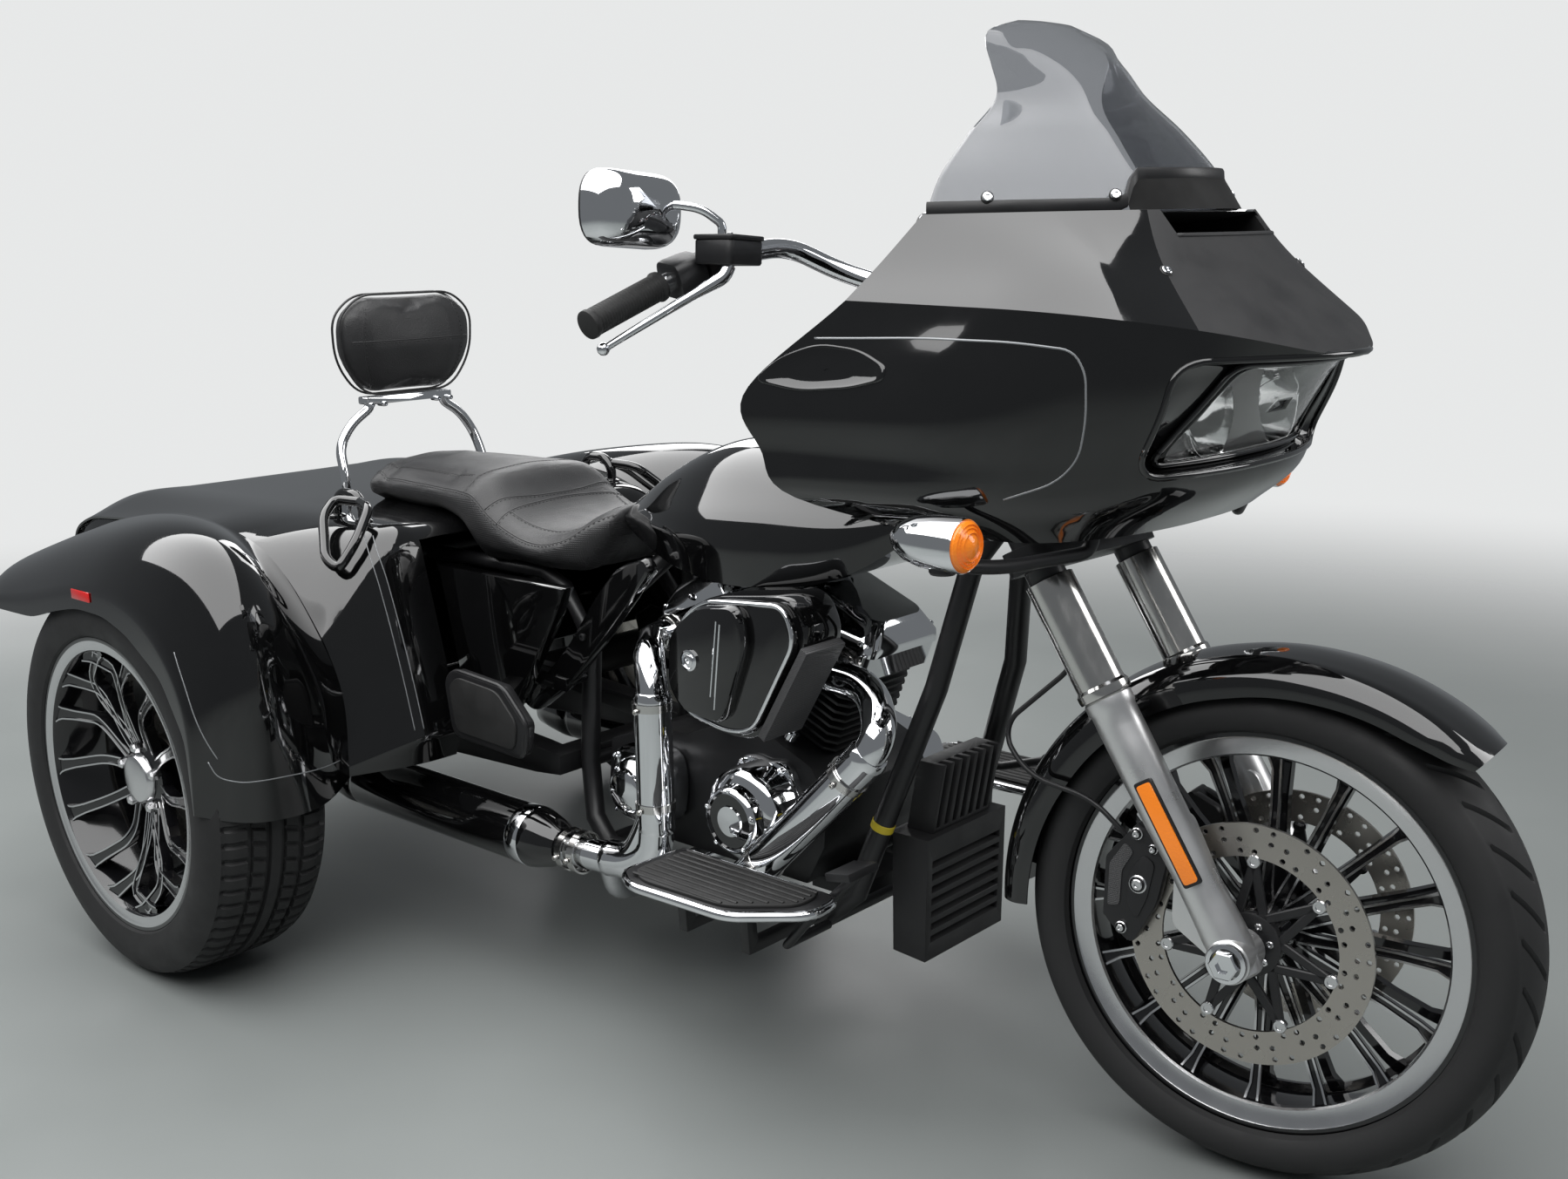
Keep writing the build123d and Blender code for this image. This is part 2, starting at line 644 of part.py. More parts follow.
def beside_filter(share, gap):
    """A point a share of the way up the air cleaner's front face, set off it by a gap."""
    x = AIR_FRONT_LOW[0] + edge_x * share + edge_z / edge_length * gap
    z = AIR_FRONT_LOW[1] + edge_z * share - edge_x / edge_length * gap
    return (x, z)


with BuildPart() as air_filter:
    slab(
        [
            beside_filter(0.04, SEAT_GAP), beside_filter(0.04, FILTER_T),
            beside_filter(0.96, FILTER_T), beside_filter(0.96, SEAT_GAP),
        ],
        -AIR_OUT + 20, -AIR_IN - 10,
    )
save(air_filter.part, "air_filter")

# Exhaust: two header pipes with heat shields, a collector and a muffler on each side
PIPE_R = 24.0
MUFFLER_Y = 250.0
MUFFLER_Z = 240.0
MUFFLER_R = 48.0
MUFFLER_FRONT = 610.0
MUFFLER_REAR = -20.0
CROSSOVER_R = 19.0
CROSSOVER_Z = 158.0
PORT_Y = -HEAD_HALF - SEAT_GAP
muffler_mouth = (MUFFLER_FRONT + SEAT_GAP, -MUFFLER_Y, MUFFLER_Z)
with BuildPart() as exhaust_headers:
    front_pipe = [
        (1058, PORT_Y, 570), (1058, -132, 570), (1150, -146, 568), (1215, -205, 520), (1090, -220, 385),
        (955, -220, 250), (760, -236, MUFFLER_Z), (640, -MUFFLER_Y, MUFFLER_Z), muffler_mouth,
    ]
    rear_pipe = [
        (702, PORT_Y, 569), (702, -132, 569), (770, -205, 564), (798, -226, 520), (798, -228, 330),
        (755, -236, 250), (680, -240, MUFFLER_Z),
    ]
    tube(front_pipe, PIPE_R, 30)
    tube(rear_pipe, PIPE_R, 36)
    # A pipe crosses under the frame to the left muffler
    bent_rod(
        [
            (700, -240, MUFFLER_Z - 4), (676, -205, CROSSOVER_Z + 16), (662, -160, CROSSOVER_Z),
            (650, 160, CROSSOVER_Z), (645, 205, CROSSOVER_Z + 16), (640, MUFFLER_Y, MUFFLER_Z - 20),
            (628, MUFFLER_Y, MUFFLER_Z), (MUFFLER_FRONT + SEAT_GAP, MUFFLER_Y, MUFFLER_Z),
        ],
        CROSSOVER_R,
    )
save(exhaust_headers.part, "exhaust_headers")

with BuildPart() as mufflers:
    for side in (-1, 1):
        front = (MUFFLER_FRONT, side * MUFFLER_Y, MUFFLER_Z)
        with BuildSketch(Plane(origin=front, x_dir=(-1, 0, 0), z_dir=(0, -1, 0))) as half:
            length = MUFFLER_FRONT - MUFFLER_REAR
            with BuildLine():
                Polyline((0, 0), (0, 30), (50, MUFFLER_R), (length, MUFFLER_R), (length, 0), close=True)
            make_face()
        revolve(half.sketch, axis=Axis(front, (-1, 0, 0)))
save(mufflers.part, "mufflers")

# Fuel tank: straight-lofted sections from the neck to the seat, solid since nothing shows inside
TANK_TAIL = 592.0
TANK_SECTIONS = (
    # x, half width, bottom, shoulder, top half width, top
    (NECK_X - 40, 100, 790, 815, 60, 850),
    (NECK_X - 135, 150, 725, 790, 85, 872),
    (NECK_X - 295, 178, 690, 780, 95, 882),
    (800, 165, 695, 770, 85, 872),
    (680, 122, 715, 765, 62, 822),
    (TANK_TAIL, 75, 725, 748, 40, 770),
)
with BuildPart() as fuel_tank:
    tank_outlines = [
        (x, [(-half, bottom), (-half - 4, shoulder), (-top_half, top), (top_half, top),
             (half + 4, shoulder), (half, bottom)])
        for x, half, bottom, shoulder, top_half, top in TANK_SECTIONS
    ]
    through(Plane.YZ, tank_outlines)
    tunnel = [(x, z + SEAT_GAP) for x, z in BACKBONE_TOP]
    slab([(560, 600), (560, 700), *tunnel, (NECK_X + 75, 600)], -25, 25, mode=Mode.SUBTRACT)
save(fuel_tank.part, "fuel_tank")

# Seat: a plain body under the dressed one, its side and top outlines crossed
SEAT_FRONT = TANK_TAIL - SEAT_GAP
SEAT_PLAN = (
    # half outline from above: x, y
    (-58, 110), (-30, 140), (180, 160), (260, 165), (400, 165), (520, 170), (600, 110), (670, 60),
)
with BuildPart() as seat:
    slab(
        [
            (-50, 721.4), (-58, 760), (-20, 782), (180, 792), (292, 789), (345, 745), (400, 716), (450, 706),
            (510, 722), (560, 770), (SEAT_FRONT, 776), (SEAT_FRONT, 722), (560, 655), (300, 650), (272, 655),
            (262, 721.4),
        ],
        -170, 170,
    )
    plan(both_halves(SEAT_PLAN), 600, 900, mode=Mode.INTERSECT)
    slab([(500, 600), (500, 685), (600, 718), (700, 718), (700, 600)], -40, 40, mode=Mode.SUBTRACT)
save(seat.part, "seat")

# Backrest: a pad on a chrome hoop that stands on the body behind the seat
PAD_BOTTOM = 898.3
with BuildPart() as backrest_pad:
    slab(
        [(-68, PAD_BOTTOM), (-48, 990), (-62, 1086), (-96, 1090), (-122, 990), (-112, PAD_BOTTOM)],
        -150, 150, corner=12,
    )
save(backrest_pad.part, "backrest_pad")

with BuildPart() as backrest_frame:
    for side in (-1, 1):
        bent_rod(
            [
                (-70, side * 157, 721.3), (-70, side * 157, 755), (-90, side * 150, 810),
                (-90, side * 128, 850), (-88, side * 78, 892),
            ],
            9,
        )
    slab([(-106, 884), (-106, PAD_BOTTOM - SEAT_GAP), (-74, PAD_BOTTOM - SEAT_GAP), (-74, 884)], -95, 95)
save(backrest_frame.part, "backrest_frame")

# Trunk body: a hollow shell lofted across the machine from side-view outlines
TRUNK_FLOOR = 430.0
SHOULDER = 300.0
TRUNK_MIDDLE = [
    (-TRUNK_REAR, TRUNK_FLOOR), (-TRUNK_REAR, 560), (-TRUNK_REAR + 8, 690), (-560, 708), (-60, 721),
    (160, 717), (248, 705), (335, 375), (150, TRUNK_FLOOR),
]
TRUNK_SIDE = [
    (-TRUNK_REAR + 20, TRUNK_FLOOR), (-TRUNK_REAR + 20, 560), (-TRUNK_REAR + 28, 645), (-540, 678),
    (-60, 712), (100, 671), (213, 572), (283, 345), (150, TRUNK_FLOOR),
]
HATCH_INSET = 12.0
FRONT_OPEN_HALF = 235.0


def trunk_sections(half):
    """The body's outlines from right to left, out to a half width."""
    return ((-half, TRUNK_SIDE), (-SHOULDER, TRUNK_MIDDLE), (SHOULDER, TRUNK_MIDDLE), (half, TRUNK_SIDE))


with BuildPart() as trunk_hollow:
    through(Plane.XZ, trunk_sections(BODY_HALF - WALL), inset=WALL)
    bulkhead_rear = BULKHEAD_X - WALL
    slab(
        [(BULKHEAD_X, 300), (BULKHEAD_X, 800), (bulkhead_rear, 800), (bulkhead_rear, 300)],
        -BODY_HALF, BODY_HALF, mode=Mode.SUBTRACT,
    )
with BuildPart() as trunk_body:
    through(Plane.XZ, trunk_sections(BODY_HALF))
    add(trunk_hollow.part, mode=Mode.SUBTRACT)
    hatch_half = LID_HALF - HATCH_INSET
    hatch_low = LID_LOW + HATCH_INSET
    hatch_high = LID_HIGH - HATCH_INSET
    hatch = [
        (-hatch_half, hatch_low), (hatch_half, hatch_low), (hatch_half, hatch_high),
        (-hatch_half, hatch_high),
    ]
    across(hatch, -TRUNK_REAR - 20, -TRUNK_REAR + 40, mode=Mode.SUBTRACT)
    across(
        [(-FRONT_OPEN_HALF, 300), (FRONT_OPEN_HALF, 300), (FRONT_OPEN_HALF, 690), (-FRONT_OPEN_HALF, 690)],
        BULKHEAD_X + 20, 400, mode=Mode.SUBTRACT,
    )
save(trunk_body.part, "trunk_body")

# Trunk lid: a drop-down panel over the hatch, on two round hinge knuckles along its lower edge
KNUCKLE_R = 5.0
lid_back = -TRUNK_REAR - SEAT_GAP
HINGE_X = lid_back - LID_T
with BuildPart() as trunk_lid:
    across(
        [(-LID_HALF, LID_LOW), (LID_HALF, LID_LOW), (LID_HALF, LID_HIGH), (-LID_HALF, LID_HIGH)],
        lid_back - LID_T, lid_back, corner=18,
    )
    for side in (-1, 1):
        rod((HINGE_X, side * 200, LID_LOW), (HINGE_X, side * 260, LID_LOW), KNUCKLE_R)
save(trunk_lid.part, "trunk_lid")

# Rear fenders: hollow arches lofted across the wheel from the body seam to the outer lip
MARKER_T = 2.5
FENDER_OUT = OVERALL_WIDTH / 2 - MARKER_T
FENDER_SECTIONS = (
    # y, then the outline (x, z): tail bottom, tail, three over the crown, front shoulder, front, lower front
    (BODY_HALF + SEAT_GAP, [
        (-400, 560), (-430, 640), (-266, 708), (-60, 712), (100, 671), (213, 572), (280, 470), (283, 330),
    ]),
    (FENDER_OUT - 194.5, [
        (-400, 565), (-445, 635), (-300, 700), (-80, 745), (120, 735), (260, 660), (325, 540), (338, 315),
    ]),
    (FENDER_OUT - 114.5, [
        (-400, 570), (-455, 625), (-330, 672), (-90, 733), (120, 762), (275, 735), (352, 600), (345, 318),
    ]),
    (FENDER_OUT - 54.5, [
        (-400, 575), (-450, 615), (-330, 655), (-90, 715), (110, 745), (265, 715), (348, 590), (342, 325),
    ]),
    (FENDER_OUT, [
        (-400, 580), (-405, 592), (-300, 612), (-90, 655), (80, 680), (215, 645), (300, 530), (292, 343),
    ]),
)
ARCH_CUT = [
    (-460, 200), (-460, 574), (-380, 576), (-193, 580), (-110, 602), (-29, 618), (60, 617), (130, 598),
    (225, 545), (283, 458), (288, 343), (280, 200),
]
TYRE_CLEARANCE = 8.0
SIDE_WALL = 4.0
side_pocket = FENDER_OUT - SIDE_WALL + 0.5
for side, name in ((-1, "right"), (1, "left")):
    with BuildPart() as fender:
        through(Plane.XZ, [(-side * y, points) for y, points in FENDER_SECTIONS])
        hollow = [(y, points) for y, points in FENDER_SECTIONS]
        hollow[0] = (BODY_HALF - 5, hollow[0][1])
        hollow[-1] = (FENDER_OUT - SIDE_WALL, hollow[-1][1])
        through(Plane.XZ, [(-side * y, points) for y, points in hollow], inset=REAR_WALL, mode=Mode.SUBTRACT)
        slab(ARCH_CUT, *sorted((side * (BODY_HALF - 10), side * (FENDER_OUT + 5))), mode=Mode.SUBTRACT)
        rod(
            (0, side * (BODY_HALF + 20), REAR_AXLE_Z), (0, side * side_pocket, REAR_AXLE_Z),
            REAR_TYRE_R + TYRE_CLEARANCE, mode=Mode.SUBTRACT,
        )
    save(fender.part, f"rear_{name}_fender")

# Side covers under the seat, with a scooped rear edge
COVER_IN = 190.0
COVER_OUT = 215.0
with BuildPart() as side_covers:
    for side in (-1, 1):
        low, high = sorted((side * COVER_IN, side * COVER_OUT))
        slab([(275, 646), (336, 402), (430, 400), (480, 470), (560, 590), (590, 645)], low, high)
        upright_side = side * (UPRIGHT_HALF + RAIL_R + SEAT_GAP)
        rod((UPRIGHT_X, upright_side, 480), (UPRIGHT_X, side * COVER_IN, 480), 12)
        plan([(420, side * COVER_IN), (560, side * COVER_IN), (540, side * 150), (430, side * 150)], 470, 490)
save(side_covers.part, "side_covers")

# Grab handles beside the passenger seat, on the body's top
HANDLE_Y = 280.0
HANDLE_FEET = ((165, 717.3), (85, 719.3))
with BuildPart() as grab_handles:
    (front_x, front_z), (rear_x, rear_z) = HANDLE_FEET
    for side in (-1, 1):
        y = side * HANDLE_Y
        bent_rod(
            [
                (front_x, y, front_z), (front_x, y, 742), (front_x - 18, y, 762), (rear_x + 18, y, 762),
                (rear_x, y, 742), (rear_x, y, rear_z),
            ],
            9,
        )
save(grab_handles.part, "grab_handles")

# Fairing: a hollow frame-mounted shell lofted between top-view outlines, open towards the rider
FAIRING_LEVELS = (
    # height, then half outline: rear edge, side, corner, front, as (ahead of the neck, y)
    (824, ((85, 290), (245, 296), (315, 230), (345, 90))),
    (869, ((-37, 378), (305, 330), (370, 240), (385, 100))),
    (925, ((-75, 392), (375, 335), (410, 240), (395, 100))),
    (987, ((-95, 400), (385, 345), (440, 245), (435, 100))),
    (1032, ((-75, 388), (370, 338), (460, 215), (510, 60))),
    (1118, ((-5, 330), (285, 290), (385, 180), (425, 66))),
    (1195, ((75, 268), (175, 240), (275, 160), (325, 70))),
)
FAIRING_WALL = 4.0
NOSE_HALF = 150.0
TOP_FLANGE = 44.0
FLANGE_T = 6.0
FAIRING_BASE = Plane(origin=(NECK_X, 0, 0))
fairing_outlines = [(z, both_halves(half)) for z, half in FAIRING_LEVELS]
top_z, top_outline = fairing_outlines[-1]
below_z, below_half = FAIRING_LEVELS[-2]
flange_share = (top_z - FLANGE_T - below_z) / (top_z - below_z)
under_flange = [along(low, high, flange_share) for low, high in zip(below_half, FAIRING_LEVELS[-1][1])]
hollow_outlines = fairing_outlines[:-1] + [(top_z - FLANGE_T, both_halves(under_flange))]


def fairing_space(gap=0.0):
    """The space inside the shell, under the flange that carries the windshield."""
    with BuildPart() as space:
        through(FAIRING_BASE, hollow_outlines, inset=FAIRING_WALL + gap)
    return space.part


with BuildPart() as fairing_shell:
    through(FAIRING_BASE, fairing_outlines)
    add(fairing_space(), mode=Mode.SUBTRACT)
    flange_hole = outline(FAIRING_BASE.offset(top_z - FLANGE_T - 1), top_outline, inset=TOP_FLANGE)
    extrude(flange_hole, amount=FLANGE_T + 2, mode=Mode.SUBTRACT)
    # The rider's side is open, by a mouth that follows the rear edge of every level
    mouth = []
    for z, half in FAIRING_LEVELS:
        x, y = half[0]
        reach = y - 1.5 * FAIRING_WALL
        mouth.append((z, both_halves([(x - 40, reach), (x + 2 * FAIRING_WALL, reach)])))
    through(FAIRING_BASE, mouth, mode=Mode.SUBTRACT)
shell = fairing_shell.part
inside = fairing_space(SEAT_GAP)

LAMP_X = NECK_X + 445
nose_box = Location((NECK_X + 345, 0, 1133)) * Box(500, 2 * NOSE_HALF, 200)
LAMP_LOW, LAMP_HIGH, LAMP_HALF = 925.0, 1024.0, 205.0
lamp_mid = (LAMP_LOW + LAMP_HIGH) / 2
lamp_tall = LAMP_HIGH - LAMP_LOW
lamp_window = Location((LAMP_X, 0, lamp_mid)) * Box(200, 2 * LAMP_HALF, lamp_tall)
lens_box = Location((LAMP_X, 0, lamp_mid)) * Box(200, 2 * (LAMP_HALF - SEAT_GAP), lamp_tall - 2 * SEAT_GAP)

with BuildPart() as fairing_outer:
    add(shell)
    add(nose_box, mode=Mode.SUBTRACT)
    add(lamp_window, mode=Mode.SUBTRACT)
save(fairing_outer.part, "fairing_outer")

with BuildPart() as fairing_nose:
    add(shell)
    add(nose_box, mode=Mode.INTERSECT)
save(fairing_nose.part, "fairing_nose")

# Headlamp: a clear lens set in the fairing's window, with a housing and two bowls behind it
with BuildPart() as headlamp_lens:
    add(shell)
    add(lens_box, mode=Mode.INTERSECT)
save(headlamp_lens.part, "headlamp_lens")

BOWL_Y = 92.0
BOWL_R = 44.0
BOWL_BACK_R = 20.0
HOUSING_MARGIN = 12.0
HOUSING_BACK = NECK_X + 305
housing_wide = 2 * (LAMP_HALF + HOUSING_MARGIN)
housing_tall = lamp_tall + 2 * HOUSING_MARGIN
housing_box = Location((HOUSING_BACK + 150, 0, lamp_mid)) * Box(300, housing_wide, housing_tall)
with BuildPart() as headlamp_housing:
    add(inside)
    add(housing_box, mode=Mode.INTERSECT)
    for side in (-1, 1):
        rod(
            (HOUSING_BACK + 30, side * BOWL_Y, lamp_mid), (HOUSING_BACK + 220, side * BOWL_Y, lamp_mid),
            BOWL_BACK_R, BOWL_R + 30, mode=Mode.SUBTRACT,
        )
save(headlamp_housing.part, "headlamp_housing")

# Inner fairing: a panel across the shell with gauge rings, cut away below for the fork's swing
INNER_X = NECK_X + 117
INNER_T = 20.0
FORK_SWING_HALF = 205.0
FORK_SWING_TOP = 1000.0
GAUGES = (
    # y, z, radius
    (-150, 1085, 26), (-62, 1085, 44), (62, 1085, 44), (150, 1085, 26),
)
panel_box = Location((INNER_X + INNER_T / 2, 0, 1020)) * Box(INNER_T, 820, 336)
swing_box = Location((INNER_X, 0, FORK_SWING_TOP - 100)) * Box(90, 2 * FORK_SWING_HALF, 200)
with BuildPart() as inner_fairing:
    add(inside)
    add(panel_box, mode=Mode.INTERSECT)
    add(swing_box, mode=Mode.SUBTRACT)
    for y, z, radius in GAUGES:
        rod((INNER_X + 1, y, z), (INNER_X - 12, y, z), radius, radius - 2)
save(inner_fairing.part, "inner_fairing")

# Windshield: a thin curved screen that leans back from the fairing's top
SCREEN_T = 4.0
SCREEN_LEVELS = (
    # height, then half outline of the outer face: rear edge, side, corner, front
    (top_z + SEAT_GAP, ((75, 262), (147, 236), (258, 140), (318, 44))),
    (1240, ((75, 234), (137, 210), (235, 130), (287, 42))),
    (1290, ((75, 176), (119, 162), (197, 112), (240, 38))),
    (1335, ((77, 123), (105, 115), (160, 88), (188, 32))),
    (1370, ((76, 134), (98, 124), (136, 82), (156, 28))),
    (1392, ((75, 143), (91, 130), (117, 76), (130, 24))),
    (1412, ((71, 126), (82, 112), (96, 62), (103, 20))),
    (1426, ((67, 64), (72, 56), (79, 36), (81, 12))),
)
with BuildPart() as windshield:
    screen = []
    for z, half in SCREEN_LEVELS:
        outer_line = both_halves(half)
        inner_line = both_halves([(x - SCREEN_T * 1.4, y * 0.975) for x, y in half])
        screen.append((z, outer_line + inner_line[::-1]))
    through(FAIRING_BASE, screen)
save(windshield.part, "windshield")

# Oil cooler cover low in front of the engine, with slats, and the finned regulator above it
COOLER_TOP = 345.0
COOLER_SEAT_X = COOLER_MOUNT[0] + CROSS_R + SEAT_GAP
SLATS = 7
with BuildPart() as oil_cooler_cover:
    cooler_front = COOLER_SEAT_X + 57
    slab(
        [
            (COOLER_SEAT_X, 165), (cooler_front, 161), (cooler_front + 6, COOLER_TOP),
            (COOLER_SEAT_X, COOLER_TOP),
        ],
        -95, 95,
    )
    for i in range(SLATS):
        z = 190 + 19 * i
        slat_in, slat_out = cooler_front - 12, cooler_front + 15
        slat = [(slat_in, z), (slat_out, z - 6), (slat_out, z + 4), (slat_in, z + 10)]
        slab(slat, -82, 82, mode=Mode.SUBTRACT)
save(oil_cooler_cover.part, "oil_cooler_cover")

REGULATOR_FINS = 7
with BuildPart() as voltage_regulator:
    foot_z = COOLER_TOP + SEAT_GAP
    foot_x = COOLER_SEAT_X + 7
    slab([(foot_x, foot_z), (foot_x + 45, foot_z), (foot_x + 65, 450), (foot_x + 20, 450)], -70, 70)
    for i in range(REGULATOR_FINS):
        y = -62 + 19 * i
        fin_gap = [(foot_x + 30, 352), (foot_x + 80, 352), (foot_x + 90, 460), (foot_x + 50, 460)]
        slab(fin_gap, y, y + 10, mode=Mode.SUBTRACT)
save(voltage_regulator.part, "voltage_regulator")

# Rider floorboards and passenger boards
BOARD_T = 14.0
BOARD_LOW = 296.0
BOARD_ARMS = (905, 1028)
with BuildPart() as floorboards:
    for side in (-1, 1):
        plan(
            [
                (890, side * 262), (885, side * 375), (925, side * 400), (1100, side * 392),
                (1185, side * 320), (1180, side * 262),
            ],
            BOARD_LOW, BOARD_LOW + BOARD_T,
        )
        for x in BOARD_ARMS:
            across(
                [
                    (side * RAIL_SIDE, RAIL_Z - 9), (side * RAIL_SIDE, RAIL_Z + 9), (side * 272, RAIL_Z + 9),
                    (side * 280, BOARD_LOW + 4), (side * 298, BOARD_LOW + 4), (side * 290, RAIL_Z - 9),
                ],
                x, x + 16,
            )
save(floorboards.part, "floorboards")

with BuildPart() as passenger_boards:
    for side in (-1, 1):
        low, high = sorted((side * 268, side * 290))
        slab([(390, 392), (375, 480), (400, 500), (520, 492), (575, 440), (565, 385)], low, high, corner=14)
        low, high = sorted((side * (COVER_OUT + SEAT_GAP), side * 270))
        slab([(392, 412), (425, 412), (440, 446), (392, 446)], low, high)
save(passenger_boards.part, "passenger_boards")

with BuildPart() as foot_controls:
    bent_rod([(1072, -RAIL_SIDE, RAIL_Z), (1072, -240, RAIL_Z), (1120, -248, 258), (1214, -248, 352)], 7)
    slab([(1195, 348), (1235, 356), (1232, 366), (1192, 358)], -300, -240)
    shifter_start = (1000, 205 + SEAT_GAP, 330)
    bent_rod([shifter_start, (1000, 238, 330), (1100, 245, 345), (1184, 245, 372)], 7)
    rod((1184, 240, 372), (1184, 300, 372), 11)
save(foot_controls.part, "foot_controls")

# Turn signals on curved stalks from the bar that lies across the fairing's lower inside and carries it
STAY_T = 30.0
stay_mid = (STAY_LOW + STAY_HIGH) / 2
stay_x = FAIRING_STAY[1] + SEAT_GAP + STAY_T / 2
stay_box = Location((stay_x, 0, stay_mid)) * Box(STAY_T, 800, STAY_HIGH - STAY_LOW)
SIGNAL_X, SIGNAL_Y, SIGNAL_Z = NECK_X + 175, 385.0, 838.0
SIGNAL_R = 31.0
with BuildPart() as turn_signals:
    add(inside)
    add(stay_box, mode=Mode.INTERSECT)
    for side in (-1, 1):
        y = side * SIGNAL_Y
        rod((SIGNAL_X + 45, y, SIGNAL_Z), (SIGNAL_X, y, SIGNAL_Z), SIGNAL_R, SIGNAL_R - 1)
        rod((SIGNAL_X, y, SIGNAL_Z), (SIGNAL_X - 55, y, SIGNAL_Z), SIGNAL_R - 1, 9)
        bent_rod(
            [
                (SIGNAL_X + 16, y, SIGNAL_Z - 6), (SIGNAL_X + 16, side * 345, SIGNAL_Z - 34),
                (SIGNAL_X + 36, side * 292, 800), (SIGNAL_X + 85, side * 240, 806),
                (SIGNAL_X + 85, side * 240, STAY_LOW + 2),
            ],
            8,
        )
save(turn_signals.part, "turn_signals")

# Rear lamps beside the lid on the body's slanted rear corners, red markers on the fender sides
LAMP_IN, LAMP_OUT = 340.0, 396.0
MARKER_X, MARKER_LOW, MARKER_HIGH, MARKER_LONG = -4.0, 634.0, 650.0, 60.0
slant = 20 / (BODY_HALF - SHOULDER)
with BuildPart() as rear_lamps:
    for side in (-1, 1):
        inner_x = -TRUNK_REAR + slant * (LAMP_IN - SHOULDER) - SEAT_GAP
        outer_x = -TRUNK_REAR + slant * (LAMP_OUT - SHOULDER) - SEAT_GAP
        plan(
            [
                (inner_x, side * LAMP_IN), (outer_x, side * LAMP_OUT),
                (outer_x - 12, side * LAMP_OUT), (inner_x - 14, side * LAMP_IN),
            ],
            470, 552,
        )
        low, high = sorted((side * (FENDER_OUT + SEAT_GAP), side * OVERALL_WIDTH / 2))
        rear, front = MARKER_X - MARKER_LONG / 2, MARKER_X + MARKER_LONG / 2
        slab([(rear, MARKER_LOW), (rear, MARKER_HIGH), (front, MARKER_HIGH), (front, MARKER_LOW)], low, high)
save(rear_lamps.part, "rear_lamps")

# Plate bracket under the body's tail

PLATE_X = REAR_REACH
PLATE_Z = 362.0
PLATE_T = 4.0
HOLE_ACROSS, HOLE_UP, HOLE_R = 146.05, 69.85, 3.25
with BuildPart() as plate_bracket:
    across([(-100, 300), (100, 300), (100, 425), (-100, 425)], -PLATE_X, -PLATE_X + PLATE_T)
    arm_top = TRUNK_FLOOR - SEAT_GAP
    across([(-40, 395), (40, 395), (40, arm_top), (-40, arm_top)], -PLATE_X + PLATE_T, -560)
    hole_face = Plane(origin=(-PLATE_X, 0, PLATE_Z), x_dir=(0, 1, 0), z_dir=(1, 0, 0))
    with BuildSketch(hole_face) as holes:
        with GridLocations(HOLE_ACROSS, HOLE_UP, 2, 2):
            Circle(HOLE_R)
    extrude(holes.sketch, amount=PLATE_T, mode=Mode.SUBTRACT)
save(plate_bracket.part, "plate_bracket")

# Rear shocks between eyes on the swingarm's top and under the frame's cross tube
EYE_R = 14.0
SHOCK_R = 23.0
with BuildPart() as rear_shocks:
    low_z = ARM_TOP + SEAT_GAP + EYE_R
    high_z = STRUT_Z - CROSS_R - SEAT_GAP - EYE_R
    for side in (-1, 1):
        rod((SHOCK_X - 35, side * SHOCK_HALF, low_z + 6), (SHOCK_X, side * SHOCK_HALF, high_z - 6), SHOCK_R)
        for x, z in ((SHOCK_X - 35, low_z), (SHOCK_X, high_z)):
            rod((x, side * (SHOCK_HALF - 18), z), (x, side * (SHOCK_HALF + 18), z), EYE_R)
save(rear_shocks.part, "rear_shocks")

# Fork: sliders on the axle, bright covers above them, and the clamps that carry both legs
SLIDER_R = 29.0
COVER_R = 31.0
TUBE_R = 25.0
SLIDER_TOP = 341.0
COVER_TOP = 500.0
LEG_TOP = 742.0
LUG_IN, LUG_OUT = 114.0, 132.0
LUG_REAR = WHEELBASE - 85


def on_fork(distance, aside=0.0, ahead=0.0):
    """A point along a fork leg's line from the axle, set forward and sideways."""
    x = WHEELBASE - sin(radians(FORK_LEAN)) * distance + cos(radians(FORK_LEAN)) * ahead
    z = FRONT_AXLE_Z + cos(radians(FORK_LEAN)) * distance + sin(radians(FORK_LEAN)) * ahead
    return (x, aside, z)


with BuildPart() as fork_sliders:
    for side in (-1, 1):
        rod(on_fork(-26, side * FORK_HALF), on_fork(SLIDER_TOP, side * FORK_HALF), SLIDER_R)
        low, high = sorted((side * LUG_IN, side * LUG_OUT))
        lug = [
            (WHEELBASE - 30, 300), (LUG_REAR, 335), (LUG_REAR, 400), (LUG_REAR - 25, 480),
            (LUG_REAR + 15, 480),
        ]
        slab(lug, low, high)
    rod(
        (WHEELBASE, -FORK_HALF - 40, FRONT_AXLE_Z), (WHEELBASE, FORK_HALF + 40, FRONT_AXLE_Z),
        FRONT_AXLE_R + SEAT_GAP, mode=Mode.SUBTRACT,
    )
save(fork_sliders.part, "fork_sliders", steered=True)

with BuildPart() as fork_covers:
    for side in (-1, 1):
        rod(on_fork(SLIDER_TOP + SEAT_GAP, side * FORK_HALF), on_fork(COVER_TOP, side * FORK_HALF), COVER_R)
save(fork_covers.part, "fork_covers", steered=True)

